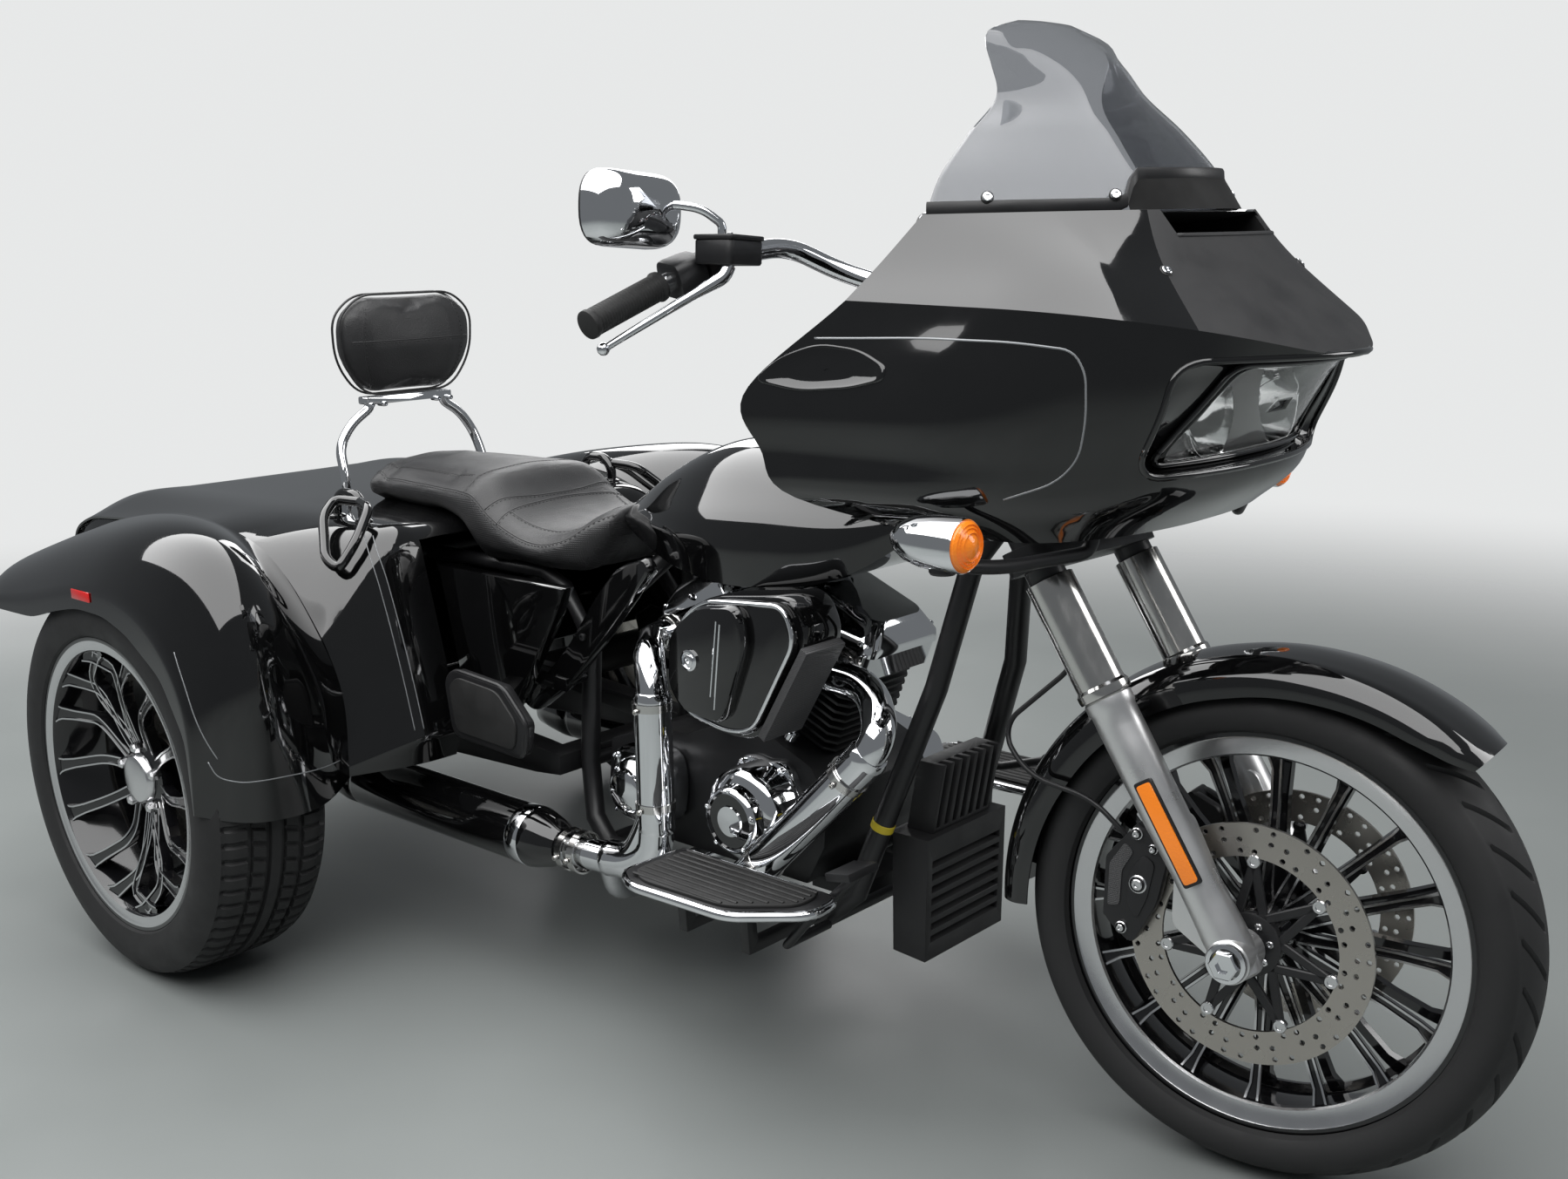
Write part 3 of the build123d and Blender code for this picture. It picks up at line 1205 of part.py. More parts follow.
CLAMPS = (
    # start and end along the steering axis, and how far the plate sits behind it
    (HEAD_LOW - 32, HEAD_LOW - SEAT_GAP, 6),
    (HEAD_HIGH + SEAT_GAP, HEAD_HIGH + 26, 30),
)
with BuildPart() as triple_clamps:
    for side in (-1, 1):
        rod(on_fork(COVER_TOP + SEAT_GAP, side * FORK_HALF), on_fork(LEG_TOP, side * FORK_HALF), TUBE_R)
    for start, end, behind in CLAMPS:
        clamp = Plane(origin=on_axis(start, -behind), x_dir=(0, 1, 0), z_dir=AXIS_DIR)
        with BuildSketch(clamp) as plate:
            Rectangle(2 * (FORK_HALF + 34), 68)
            fillet(plate.vertices(), 22)
        extrude(plate.sketch, amount=end - start)
    rod(on_axis(HEAD_LOW - 20), on_axis(HEAD_HIGH + 20), STEM_R)
save(triple_clamps.part, "triple_clamps", steered=True)

with BuildPart() as front_axle:
    rod((WHEELBASE, -178, FRONT_AXLE_Z), (WHEELBASE, 178, FRONT_AXLE_Z), FRONT_AXLE_R)
    for side in (-1, 1):
        outside = side * (FORK_HALF + SLIDER_R + SEAT_GAP)
        inside_y = side * (FORK_HALF - SLIDER_R - SEAT_GAP)
        rod((WHEELBASE, outside, FRONT_AXLE_Z), (WHEELBASE, side * 184, FRONT_AXLE_Z), 19)
        rod((WHEELBASE, side * 94, FRONT_AXLE_Z), (WHEELBASE, inside_y, FRONT_AXLE_Z), 17)
save(front_axle.part, "front_axle", steered=True)

# Front fender: a crowned arch round the tyre, held by a bracket at each fork leg
FENDER_FRONT, FENDER_REAR = 47.0, 184.0
FENDER_HALF = 80.0
with BuildPart() as front_fender:
    start_plane = Plane(
        origin=(WHEELBASE, 0, FRONT_AXLE_Z), x_dir=(0, 1, 0),
        z_dir=(sin(radians(FENDER_REAR)), 0, -cos(radians(FENDER_REAR))),
    )
    outer_half = [(FENDER_HALF, 296), (FENDER_HALF, 326), (FENDER_HALF - 24, 346), (22, 354)]
    inner_half = [(FENDER_HALF - 3, 296), (FENDER_HALF - 3, 325), (FENDER_HALF - 26, 343), (21, 351)]
    section = outer_half + [(-y, r) for y, r in reversed(outer_half)]
    section = section + [(-y, r) for y, r in inner_half] + inner_half[::-1]
    revolve(
        outline(start_plane, section), axis=wheel_axis(WHEELBASE, FRONT_AXLE_Z),
        revolution_arc=FENDER_REAR - FENDER_FRONT,
    )
    for side in (-1, 1):
        bracket_in, bracket_out = side * (FENDER_HALF - 2), side * (FORK_HALF - SLIDER_R - SEAT_GAP)
        rod(on_fork(316, bracket_in), on_fork(316, bracket_out), 11)
save(front_fender.part, "front_fender", steered=True)

# Brake calipers straddle the discs behind the fork legs
CALIPER_X = WHEELBASE - 180
CALIPER_REAR = (CALIPER_X, 400)
CALIPER_TOP = (CALIPER_X + 40, 450)
CALIPER_FRONT = [(CALIPER_X + 85, 430), (CALIPER_X + 70, 350), (CALIPER_X + 40, 290)]
with BuildPart() as brake_calipers:
    for side in (-1, 1):
        low, high = sorted((side * 66, side * (LUG_IN - SEAT_GAP)))
        slab([(CALIPER_X, 320), CALIPER_REAR, CALIPER_TOP, *CALIPER_FRONT], low, high)
        low, high = sorted((side * (FRONT_DISC_Y - 8), side * (FRONT_DISC_Y + 8)))
        slot_in, slot_out = (WHEELBASE, low, FRONT_AXLE_Z), (WHEELBASE, high, FRONT_AXLE_Z)
        rod(slot_in, slot_out, FRONT_DISC_R + 6, mode=Mode.SUBTRACT)
        low, high = sorted((side * (LUG_IN - SEAT_GAP), side * LUG_OUT))
        ear_front = LUG_REAR - SEAT_GAP
        ear_rear = CALIPER_X + 10
        slab([(ear_rear, 340), (ear_rear, 400), (ear_front, 400), (ear_front, 345)], low, high)
save(brake_calipers.part, "brake_calipers", steered=True)

# A thin brake line hangs from the lower clamp, loops behind the fender and ends on the right caliper
LINE_R = 3.5
LINE_Y = -98.0
face_x, face_z = CALIPER_TOP[0] - CALIPER_REAR[0], CALIPER_TOP[1] - CALIPER_REAR[1]
face_length = hypot(face_x, face_z)
off_x, off_z = -face_z / face_length, face_x / face_length
fitting = along(CALIPER_REAR, CALIPER_TOP, 0.5)
line_end = (fitting[0] + off_x * SEAT_GAP, LINE_Y, fitting[1] + off_z * SEAT_GAP)
line_run = (fitting[0] + off_x * 62, LINE_Y, fitting[1] + off_z * 62)
line_top = on_axis(HEAD_LOW - 32 - SEAT_GAP, -22, -62)
line_drop = on_axis(HEAD_LOW - 150, -22, -62)
line_low = [(NECK_X + 63, -78, 530), (NECK_X + 115, -96, 478)]
line_points = [line_top, line_drop, *line_low, line_run, line_end]
runs = [Vector(*b) - Vector(*a) for a, b in zip(line_points, line_points[1:])]
line_radii = []
for before, after in zip(runs, runs[1:]):
    half_turn = radians(before.get_angle(after)) / 2
    line_radii.append(0.45 * min(before.length, after.length) / tan(half_turn))
with BuildPart() as brake_line:
    with BuildLine() as path:
        FilletPolyline(*line_points, radius=line_radii)
    with BuildSketch(Plane(origin=path.line @ 0, z_dir=path.line % 0)) as end:
        Circle(LINE_R)
    sweep(end.sketch, path=path.line)
print("brake line arc radii in mm:", [round(radius) for radius in line_radii])
save(brake_line.part, "brake_line", steered=True)

# Handlebar: risers on the top clamp and a pulled-back bar out to the grips
BAR_R = 12.7
GRIP_IN = (965, -352, 1094)
GRIP_OUT = (943, -463, 1044)
BAR_BEND = (1004, -262, 1134)
RISER_BACK = -30.0
RISER_HALF = 55.0
clamp_top = HEAD_HIGH + 26 + SEAT_GAP
riser_foot = on_axis(clamp_top, RISER_BACK, -RISER_HALF)
riser_head = on_axis(clamp_top + 74, RISER_BACK, -RISER_HALF)
with BuildPart() as handlebar:
    bar_path = [
        riser_foot, riser_head, (1190, -80, 1085), (1088, -130, 1116), (1036, -182, 1148),
        BAR_BEND, GRIP_IN, GRIP_OUT,
    ]
    tube(bar_path, BAR_R, 30)
    mirror(about=Plane.XZ)
    brace = clamp_top + 30
    rod(on_axis(brace, RISER_BACK, -RISER_HALF - 4), on_axis(brace, RISER_BACK, RISER_HALF + 4), 13)
save(handlebar.part, "handlebar", steered=True)

# Hand controls on the bar inside each grip, with the levers, grips and mirrors
BLOCK_LOW, BLOCK_HIGH = 1118.0, 1155.0
BLOCK_REAR, BLOCK_FRONT = 1002.0, 1064.0
with BuildPart() as hand_controls:
    start, end = along(BAR_BEND, GRIP_IN, 0.18), along(BAR_BEND, GRIP_IN, 0.88)
    run = Vector(*end) - Vector(*start)
    with BuildSketch(Plane(origin=start, x_dir=(1, 0, 0), z_dir=run)) as housing:
        Rectangle(62, 50)
        chamfer(housing.vertices(), 9)
    extrude(housing.sketch, amount=run.length)
    slab(
        [
            (BLOCK_REAR, BLOCK_LOW), (BLOCK_REAR, BLOCK_HIGH), (BLOCK_FRONT, BLOCK_HIGH),
            (BLOCK_FRONT, BLOCK_LOW),
        ],
        -345, -270,
    )
    rod(BAR_BEND, GRIP_IN, BAR_R + SEAT_GAP, mode=Mode.SUBTRACT)
    mirror(about=Plane.XZ)
save(hand_controls.part, "hand_controls", steered=True)

GRIP_R = 17.5
with BuildPart() as grips:
    rod(along(GRIP_IN, GRIP_OUT, 0.06), along(GRIP_IN, GRIP_OUT, 1.05), GRIP_R)
    rod(along(GRIP_IN, GRIP_OUT, 0), along(GRIP_IN, GRIP_OUT, 1.003), BAR_R + SEAT_GAP, mode=Mode.SUBTRACT)
    mirror(about=Plane.XZ)
save(grips.part, "grips", steered=True)

with BuildPart() as levers:
    pivot_z = BLOCK_LOW - SEAT_GAP
    bent_rod([(1048, -328, pivot_z), (1048, -328, pivot_z - 14), (1004, -392, 1060), (951, -452, 1012)], 6)
    mirror(about=Plane.XZ)
save(levers.part, "levers", steered=True)

with BuildPart() as mirrors:
    stem_z = BLOCK_HIGH + SEAT_GAP
    bent_rod([(1030, -318, stem_z), (1030, -318, stem_z + 14), (1000, -345, 1184), (962, -385, 1182)], 6)
    face_plane = Plane(origin=(940, -398, 1182), x_dir=(0, 1, 0), z_dir=(1, 0, 0))
    with BuildSketch(face_plane) as back:
        Rectangle(165, 96)
        fillet(back.vertices(), 40)
    with BuildSketch(face_plane.offset(42)) as front:
        Rectangle(110, 56)
        fillet(front.vertices(), 24)
    loft([back.sketch.face(), front.sketch.face()])
    mirror(about=Plane.XZ)
save(mirrors.part, "mirrors", steered=True)
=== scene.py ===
import math
from contextlib import contextmanager

import bmesh
import bpy
import numpy as np
from mathutils import Matrix, Vector
from mathutils.bvhtree import BVHTree


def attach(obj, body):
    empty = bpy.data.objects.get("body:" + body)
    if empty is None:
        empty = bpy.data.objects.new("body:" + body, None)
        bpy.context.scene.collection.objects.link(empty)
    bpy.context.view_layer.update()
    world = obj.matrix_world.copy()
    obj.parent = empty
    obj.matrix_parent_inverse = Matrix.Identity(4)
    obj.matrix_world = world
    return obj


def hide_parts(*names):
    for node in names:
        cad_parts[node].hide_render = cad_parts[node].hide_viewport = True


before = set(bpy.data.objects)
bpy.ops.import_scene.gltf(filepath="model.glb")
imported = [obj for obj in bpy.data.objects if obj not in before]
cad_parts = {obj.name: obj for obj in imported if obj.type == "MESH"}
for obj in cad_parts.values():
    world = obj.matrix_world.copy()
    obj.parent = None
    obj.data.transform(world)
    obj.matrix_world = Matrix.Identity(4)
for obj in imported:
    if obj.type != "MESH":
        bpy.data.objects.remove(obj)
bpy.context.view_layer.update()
scene = bpy.context.scene

# The layout: millimetres from the ground point under the rear axle, X forward, Y left, Z up
MM = 0.001
ORIGIN_X = -652.694
WHEELBASE, AXLE_Z, REAR_Z = 1670.0, 318.7385, 325.0
FRONT_AXLE = np.array([WHEELBASE, 0.0, AXLE_Z])
SIDES = ((-1, "right"), (1, "left"))
# The steering head leans by the rake, and at rest the fork is turned to the machine's right
RAKE, FORK_LEAN, STEER_REST = math.radians(26.0), math.radians(31.8), math.radians(8.5)
PIVOT_X, PIVOT_Z = 1625.0603, 296.82
PIVOT = Vector((PIVOT_X, 0.0, PIVOT_Z))
STEER = np.array(
    Matrix.Translation(PIVOT)
    @ Matrix.Rotation(STEER_REST, 4, Vector((-math.sin(RAKE), 0.0, math.cos(RAKE))))
    @ Matrix.Translation(-PIVOT)
)
ROOT, STEERING, FRONT_WHEEL = "root", "steering", "front_wheel"
# Points closer than this, in metres, are one point
WELD = 0.00002

# The camera at the photograph's viewing angle: millimetres and degrees of the frame
CAMERA = (1862.3, -1831.0, 1176.0)
AZIMUTH, ELEVATION, ROLL = 42.12, 12.19, -1.15
LENS, SENSOR = 37.758, 36.0


def camera():
    """The camera that gives the photograph's frame."""
    az, el, roll = (math.radians(a) for a in (AZIMUTH, ELEVATION, ROLL))
    back = Vector((math.sin(az) * math.cos(el), -math.cos(az) * math.cos(el), math.sin(el)))
    right = (-back).cross(Vector((0, 0, 1))).normalized()
    up = right.cross(-back)
    side = right * math.cos(roll) + up * math.sin(roll)
    top = -right * math.sin(roll) + up * math.cos(roll)
    data = bpy.data.cameras.new("camera")
    data.lens, data.sensor_width, data.sensor_fit = LENS, SENSOR, "HORIZONTAL"
    data.clip_start, data.clip_end = 0.05, 60.0
    eye = bpy.data.objects.new("camera", data)
    matrix = Matrix((side, top, back)).transposed().to_4x4()
    matrix.translation = Vector(CAMERA) * MM
    eye.matrix_world = matrix
    scene.collection.objects.link(eye)
    scene.camera = eye


camera()
scene.view_settings.view_transform = "Standard"

# ---- Materials

# The colour sockets of a Mix node, how much roughness varies, and the depth of a full bump in metres
MIX_A, MIX_B = 6, 7
ROUGH_VARY = 0.2
BUMP_DEPTH = 0.001


def node(tree, kind, **values):
    """A new shader node with its sockets and settings filled in."""
    made = tree.nodes.new(kind)
    for key, value in values.items():
        if key in made.inputs:
            made.inputs[key].default_value = value
        else:
            setattr(made, key, value)
    return made


def relief(tree, height, strength):
    """Bump from a height output on a material's main shader."""
    bump = node(tree, "ShaderNodeBump", Strength=strength, Distance=BUMP_DEPTH)
    tree.links.new(height, bump.inputs["Height"])
    tree.links.new(bump.outputs[0], tree.nodes["Principled BSDF"].inputs["Normal"])


def finish_of(
    name, colour, rough, metal=0.0, ior=1.5, coat=0.0, vary=0.10, grain=500.0, bump=0.03, stretch=(1, 1, 1),
    patch=18.0, clear=0.0, cells=False, coat_rough=0.03, sheen=0.0, painted_glow=0.0,
):
    """A procedural finish: slow colour and roughness variation over a fine surface grain."""
    mat = bpy.data.materials.new(name)
    mat.use_nodes = True
    tree = mat.node_tree
    link, main = tree.links.new, tree.nodes["Principled BSDF"]
    for socket, value in (
        ("Metallic", metal), ("IOR", ior), ("Coat Weight", coat), ("Coat Roughness", coat_rough),
        ("Transmission Weight", clear), ("Sheen Weight", sheen),
    ):
        main.inputs[socket].default_value = value
    where = node(tree, "ShaderNodeTexCoord")
    scale = node(tree, "ShaderNodeMapping", Scale=stretch)
    link(where.outputs["Object"], scale.inputs["Vector"])
    slow = node(tree, "ShaderNodeTexNoise", Scale=patch, Detail=5.0)
    link(scale.outputs[0], slow.inputs["Vector"])
    mix = node(tree, "ShaderNodeMix", data_type="RGBA")
    mix.inputs[MIX_A].default_value = [c * (1 - vary) for c in colour] + [1]
    mix.inputs[MIX_B].default_value = [min(1.0, c * (1 + vary) + 0.002 * (vary > 0)) for c in colour] + [1]
    link(slow.outputs["Fac"], mix.inputs[0])
    link(mix.outputs[2], main.inputs["Base Color"])
    ramp = node(tree, "ShaderNodeMapRange", **{
        "From Min": 0.3, "From Max": 0.7,
        "To Min": max(0.0, rough * (1 - ROUGH_VARY)), "To Max": min(1.0, rough * (1 + ROUGH_VARY)),
    })
    link(slow.outputs["Fac"], ramp.inputs["Value"])
    link(ramp.outputs[0], main.inputs["Roughness"])
    if bump:
        if cells:
            fine = node(tree, "ShaderNodeTexVoronoi", Scale=grain)
        else:
            fine = node(tree, "ShaderNodeTexNoise", Scale=grain, Detail=3.0)
        link(scale.outputs[0], fine.inputs["Vector"])
        relief(tree, fine.outputs["Distance" if cells else "Fac"], bump)
    # Painted glow: the lens colour is given off as light, though no lamp behind it is lit; fork reflectors and gauge
    # needles have no lamp at all
    if painted_glow:
        main.inputs["Emission Color"].default_value = list(colour) + [1]
        main.inputs["Emission Strength"].default_value = painted_glow
    return mat


def weave_of(name, colour, rough, pitch, depth):
    """A finish with the relief of crossed waves, for a fine weave or mesh."""
    mat = finish_of(name, colour, rough, bump=0)
    tree = mat.node_tree
    where = node(tree, "ShaderNodeTexCoord")
    crossed = node(tree, "ShaderNodeMath", operation="MULTIPLY")
    for k, axis in enumerate(("X", "Z")):
        wave = node(tree, "ShaderNodeTexWave", Scale=pitch, bands_direction=axis)
        tree.links.new(where.outputs["Object"], wave.inputs["Vector"])
        tree.links.new(wave.outputs["Fac"], crossed.inputs[k])
    relief(tree, crossed.outputs[0], depth)
    return mat


FINISH = {
    "gloss": finish_of(
        "gloss_paint", (0.002, 0.002, 0.0022), 0.06, ior=1.45, coat=1.0, grain=160, bump=0.006, coat_rough=0.015,
    ),
    "satin": finish_of("satin_black", (0.012, 0.012, 0.013), 0.38, grain=900, bump=0.05),
    "matte": finish_of("matte_black", (0.016, 0.016, 0.017), 0.55, grain=1400, bump=0.12),
    "engine": finish_of("engine_black", (0.010, 0.010, 0.011), 0.42, grain=1100, bump=0.10, vary=0.3),
    "chrome": finish_of("chrome", (0.86, 0.87, 0.89), 0.045, metal=1, vary=0.02, grain=90, bump=0.004),
    "stainless": finish_of(
        "stainless", (0.66, 0.65, 0.63), 0.16, metal=1, vary=0.03, grain=260, bump=0.003, stretch=(6, 6, 1),
    ),
    "alloy": finish_of("cast_alloy", (0.78, 0.78, 0.78), 0.32, metal=0.9, vary=0.05, grain=1300, bump=0.08),
    "machined": finish_of(
        "machined_alloy", (0.72, 0.72, 0.73), 0.20, metal=1, vary=0.05, grain=1500, bump=0.04,
    ),
    "wheel": finish_of("wheel_black", (0.006, 0.006, 0.007), 0.12, coat=0.6, grain=700, bump=0.02),
    "disc": finish_of("disc_steel", (0.50, 0.47, 0.43), 0.28, metal=1, vary=0.08, grain=900, bump=0.05),
    "tyre": finish_of("tyre_rubber", (0.013, 0.013, 0.0135), 0.66, vary=0.18, grain=1500, bump=0.18),
    "rubber": finish_of("grip_rubber", (0.014, 0.014, 0.014), 0.60, grain=1300, bump=0.15),
    "leather": finish_of(
        "seat_leather", (0.017, 0.017, 0.018), 0.40, grain=520, bump=0.30, cells=True, vary=0.15, sheen=0.08,
    ),
    "side_leather": weave_of("seat_side", (0.020, 0.020, 0.021), 0.48, 95.0, 0.5),
    "smoke": finish_of(
        "smoke_screen", (0.27, 0.28, 0.30), 0.02, ior=1.03, coat=1.0, clear=1.0, vary=0.02, grain=60, bump=0.0,
    ),
    "glass": finish_of("clear_lens", (0.97, 0.98, 0.98), 0.015, clear=1.0, vary=0.0, grain=50, bump=0.002),
    "reflector": finish_of("reflector", (0.88, 0.88, 0.88), 0.08, metal=1, vary=0.02, grain=120, bump=0.05),
    # The amber and red lenses carry a painted glow
    "amber": finish_of(
        "amber_lens", (0.95, 0.24, 0.015), 0.12, ior=1.5, coat=0.6, grain=420, bump=0.25, cells=True, painted_glow=0.12,
    ),
    "red": finish_of(
        "red_lens", (0.62, 0.012, 0.010), 0.12, ior=1.5, coat=0.6, grain=420, bump=0.25, cells=True, painted_glow=0.08,
    ),
    "silver_line": finish_of("silver_line", (0.30, 0.31, 0.32), 0.35, metal=0.4, grain=800, bump=0.02),
    "yellow": finish_of("yellow_mark", (0.70, 0.55, 0.03), 0.5, grain=800, bump=0.05),
    # Near black and very rough: painted shade for the inside of the vent, darker than its matte black plastic
    "hollow": finish_of("painted_shade_black", (0.002, 0.002, 0.002), 0.95, grain=900, bump=0.05),
    "mesh": weave_of("wire_mesh", (0.07, 0.07, 0.072), 0.4, 160.0, 1.0),
}

NODE_FINISH = {
    "gloss": "fairing_outer fuel_tank trunk_body trunk_lid rear_right_fender rear_left_fender side_covers front_fender",
    "satin": "frame swingarm rear_axle rear_shocks triple_clamps grab_handles hand_controls brake_line foot_controls "
             "turn_signals plate_bracket passenger_boards floorboards",
    "matte": "fairing_nose inner_fairing oil_cooler_cover voltage_regulator headlamp_housing backrest_pad seat",
    "engine": "crankcase cylinders air_cleaner brake_calipers",
    "chrome": "rocker_boxes cam_cover transmission_cover primary_cover exhaust_headers pushrod_tubes handlebar mirrors "
              "levers backrest_frame front_axle",
    "stainless": "fork_covers",
    "alloy": "fork_sliders",
    "wheel": "front_rim rear_right_rim rear_left_rim mufflers",
    "disc": "front_discs rear_right_disc rear_left_disc",
    "tyre": "front_tyre rear_right_tyre rear_left_tyre",
    "rubber": "grips air_filter",
    "smoke": "windshield",
    "glass": "headlamp_lens",
    "red": "rear_lamps",
}


# Edge radius in millimetres of the solids that keep their own form, where it isn't the usual one
EDGE = 1.2
SOFT_EDGES = {
    "side_covers": 5, "primary_cover": 9, "rocker_boxes": 3, "trunk_lid": 3, "oil_cooler_cover": 2.5,
    "passenger_boards": 3, "triple_clamps": 3, "brake_calipers": 4, "rear_axle": 3, "crankcase": 4,
}
SHARP_ANGLE, FLAT_ANGLE = math.radians(32), math.radians(0.6)


def smooth(data):
    """Shade all faces of a mesh smooth."""
    for polygon in data.polygons:
        polygon.use_smooth = True


def split_edges(obj, angle):
    """Keep edges crisp that are sharper than an angle."""
    obj.modifiers.new("split", "EDGE_SPLIT").split_angle = angle


def dress(name, finish):
    """Give a CAD node its finish, clean shading and softly rounded edges."""
    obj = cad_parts[name]
    obj.data.materials.clear()
    obj.data.materials.append(FINISH[finish])
    smooth(obj.data)
    obj.modifiers.new("weld", "WELD").merge_threshold = WELD
    flat = obj.modifiers.new("flat", "DECIMATE")
    flat.decimate_type, flat.angle_limit = "DISSOLVE", FLAT_ANGLE
    edge = obj.modifiers.new("edge", "BEVEL")
    edge.width, edge.segments = SOFT_EDGES.get(name, EDGE) * MM, 2
    edge.limit_method, edge.angle_limit = "ANGLE", SHARP_ANGLE
    edge.use_clamp_overlap, edge.miter_outer = True, "MITER_ARC"
    split_edges(obj, SHARP_ANGLE)


for finish, names in NODE_FINISH.items():
    for name in names.split():
        dress(name, finish)

# ---- Meshes


def to_frame(points, steered=False):
    """Layout millimetres to the row frame in metres; steered points turn to the rest angle."""
    pts = np.asarray(points, float).reshape(-1, 3)
    if steered:
        pts = pts @ STEER[:3, :3].T + STEER[:3, 3]
    return (pts + (ORIGIN_X, 0, 0)) * MM


def to_layout(point):
    """A point of the frame in layout millimetres."""
    return point / MM - Vector((ORIGIN_X, 0, 0))


def unit(vector):
    return vector / np.linalg.norm(vector)


def about(radius, angle):
    """The offset from an axle that runs along Y, at an angle up from straight ahead."""
    return np.array([math.cos(angle) * radius, 0.0, math.sin(angle) * radius])


def in_plane(flat, level, axis):
    """The 3-D points of a flat outline that lies across an axis at a level."""
    return np.insert(np.asarray(flat, float), "xyz".index(axis), level, axis=1)


def piece(name, verts, faces, finish, body=ROOT, steered=False, replaces=None, slot=None, sharp=35):
    """A mesh piece from layout points, riding on a body of the frame."""
    data = bpy.data.meshes.new(name)
    data.from_pydata([tuple(p) for p in to_frame(verts, steered)], [], [tuple(int(i) for i in f) for f in faces])
    data.validate()
    for each in finish if isinstance(finish, list) else [finish]:
        data.materials.append(FINISH[each])
    smooth(data)
    obj = bpy.data.objects.new(name, data)
    scene.collection.objects.link(obj)
    if sharp:
        split_edges(obj, math.radians(sharp))
    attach(obj, body)
    if replaces:
        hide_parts(replaces)
    return obj


@contextmanager
def edited(obj):
    """An object's mesh, open for editing and written back at the end."""
    bm = bmesh.new()
    bm.from_mesh(obj.data)
    yield bm
    bm.to_mesh(obj.data)
    bm.free()


def recalc(obj):
    """Turn every face of a closed or open mesh to face outward."""
    with edited(obj) as bm:
        bmesh.ops.recalc_face_normals(bm, faces=bm.faces)
        total = sum(f.calc_area() for f in bm.faces)
        centre = sum((f.calc_center_median() * f.calc_area() for f in bm.faces), Vector()) / total
        if sum((f.calc_center_median() - centre).dot(f.normal) * f.calc_area() for f in bm.faces) < 0:
            bmesh.ops.reverse_faces(bm, faces=bm.faces)


def grid_faces(rows, cols, wrap_cols=False, wrap_rows=False):
    """Four-sided faces over a grid of points that are numbered row by row."""
    faces = []
    for r in range(rows if wrap_rows else rows - 1):
        for c in range(cols if wrap_cols else cols - 1):
            here, ahead, beside = r * cols, (r + 1) % rows * cols, (c + 1) % cols
            faces.append((here + c, here + beside, ahead + beside, ahead + c))
    return faces


def rounded(points, radius, arc=6, run=3, closed=False):
    """Sample a polyline with rounded corners; the count depends only on the number of points."""
    pts = np.asarray(points, float)
    n = len(pts)
    radii = np.broadcast_to(np.asarray(radius, float), (n,))
    corners = []
    for i in range(n):
        if not closed and i in (0, n - 1):
            corners.append((pts[i], pts[i], pts[i]))
            continue
        before, after = pts[i - 1] - pts[i], pts[(i + 1) % n] - pts[i]
        lb, la = np.linalg.norm(before), np.linalg.norm(after)
        d = min(radii[i], 0.46 * lb, 0.46 * la)
        corners.append((pts[i] + before / lb * d, pts[i], pts[i] + after / la * d))
    out = []
    for i in range(n):
        a, b, c = corners[i]
        if closed or i not in (0, n - 1):
            for t in np.linspace(0, 1, arc + 1):
                out.append(a * (1 - t) ** 2 + b * 2 * t * (1 - t) + c * t * t)
        else:
            out.append(b)
        if i < n - 1 or closed:
            nxt = corners[(i + 1) % n][0]
            for t in np.linspace(0, 1, run + 1)[1:-1]:
                out.append(c * (1 - t) + nxt * t)
    return np.array(out)


def hermite(stations, values, at):
    """Smooth interpolation of rows given at stations, evaluated at other stations."""
    t = np.asarray(stations, float)
    v = np.asarray(values, float)
    slope = np.zeros_like(v)
    for i in range(len(t)):
        if i == 0:
            slope[i] = (v[1] - v[0]) / (t[1] - t[0])
        elif i == len(t) - 1:
            slope[i] = (v[-1] - v[-2]) / (t[-1] - t[-2])
        else:
            a = (v[i] - v[i - 1]) / (t[i] - t[i - 1])
            b = (v[i + 1] - v[i]) / (t[i + 1] - t[i])
            wa, wb = t[i + 1] - t[i], t[i] - t[i - 1]
            slope[i] = (a * wa + b * wb) / (wa + wb)
    rows = []
    for x in np.atleast_1d(at):
        i = int(np.clip(np.searchsorted(t, x) - 1, 0, len(t) - 2))
        h = t[i + 1] - t[i]
        s = (x - t[i]) / h
        rows.append(
            v[i] * (2 * s ** 3 - 3 * s ** 2 + 1) + slope[i] * h * (s ** 3 - 2 * s ** 2 + s)
            + v[i + 1] * (3 * s ** 2 - 2 * s ** 3) + slope[i + 1] * h * (s ** 3 - s ** 2)
        )
    return np.array(rows)


def path_points(points, radius, step=8.0, arc=8):
    """A rounded path resampled at an even step."""
    line = rounded(points, radius, arc=arc, run=2)
    gaps = np.linalg.norm(np.diff(line, axis=0), axis=1)
    line = line[np.concatenate([[True], gaps > 1e-6])]
    length = np.concatenate([[0], np.cumsum(np.linalg.norm(np.diff(line, axis=0), axis=1))])
    count = max(3, int(length[-1] / step) + 1)
    at = np.linspace(0, length[-1], count)
    return np.stack([np.interp(at, length, line[:, k]) for k in range(3)], 1)


def looped(points, radius, arc=6, run=3):
    """A closed outline with rounded corners."""
    return rounded(points, radius, arc, run, closed=True)


def box(low, high, radius, arc=6, run=3):
    """A closed flat rectangle between two corners, its own corners rounded."""
    (a, b), (c, d) = low, high
    return looped([(a, b), (c, b), (c, d), (a, d)], radius, arc, run)


def shrunk(outline, share):
    """An outline scaled about the mean of its points."""
    pts = np.asarray(outline, float)
    centre = pts.mean(0)
    return centre + (pts - centre) * share


# A direction that no swept line starts along
SLANT = (0.13, 0.31, 0.94)


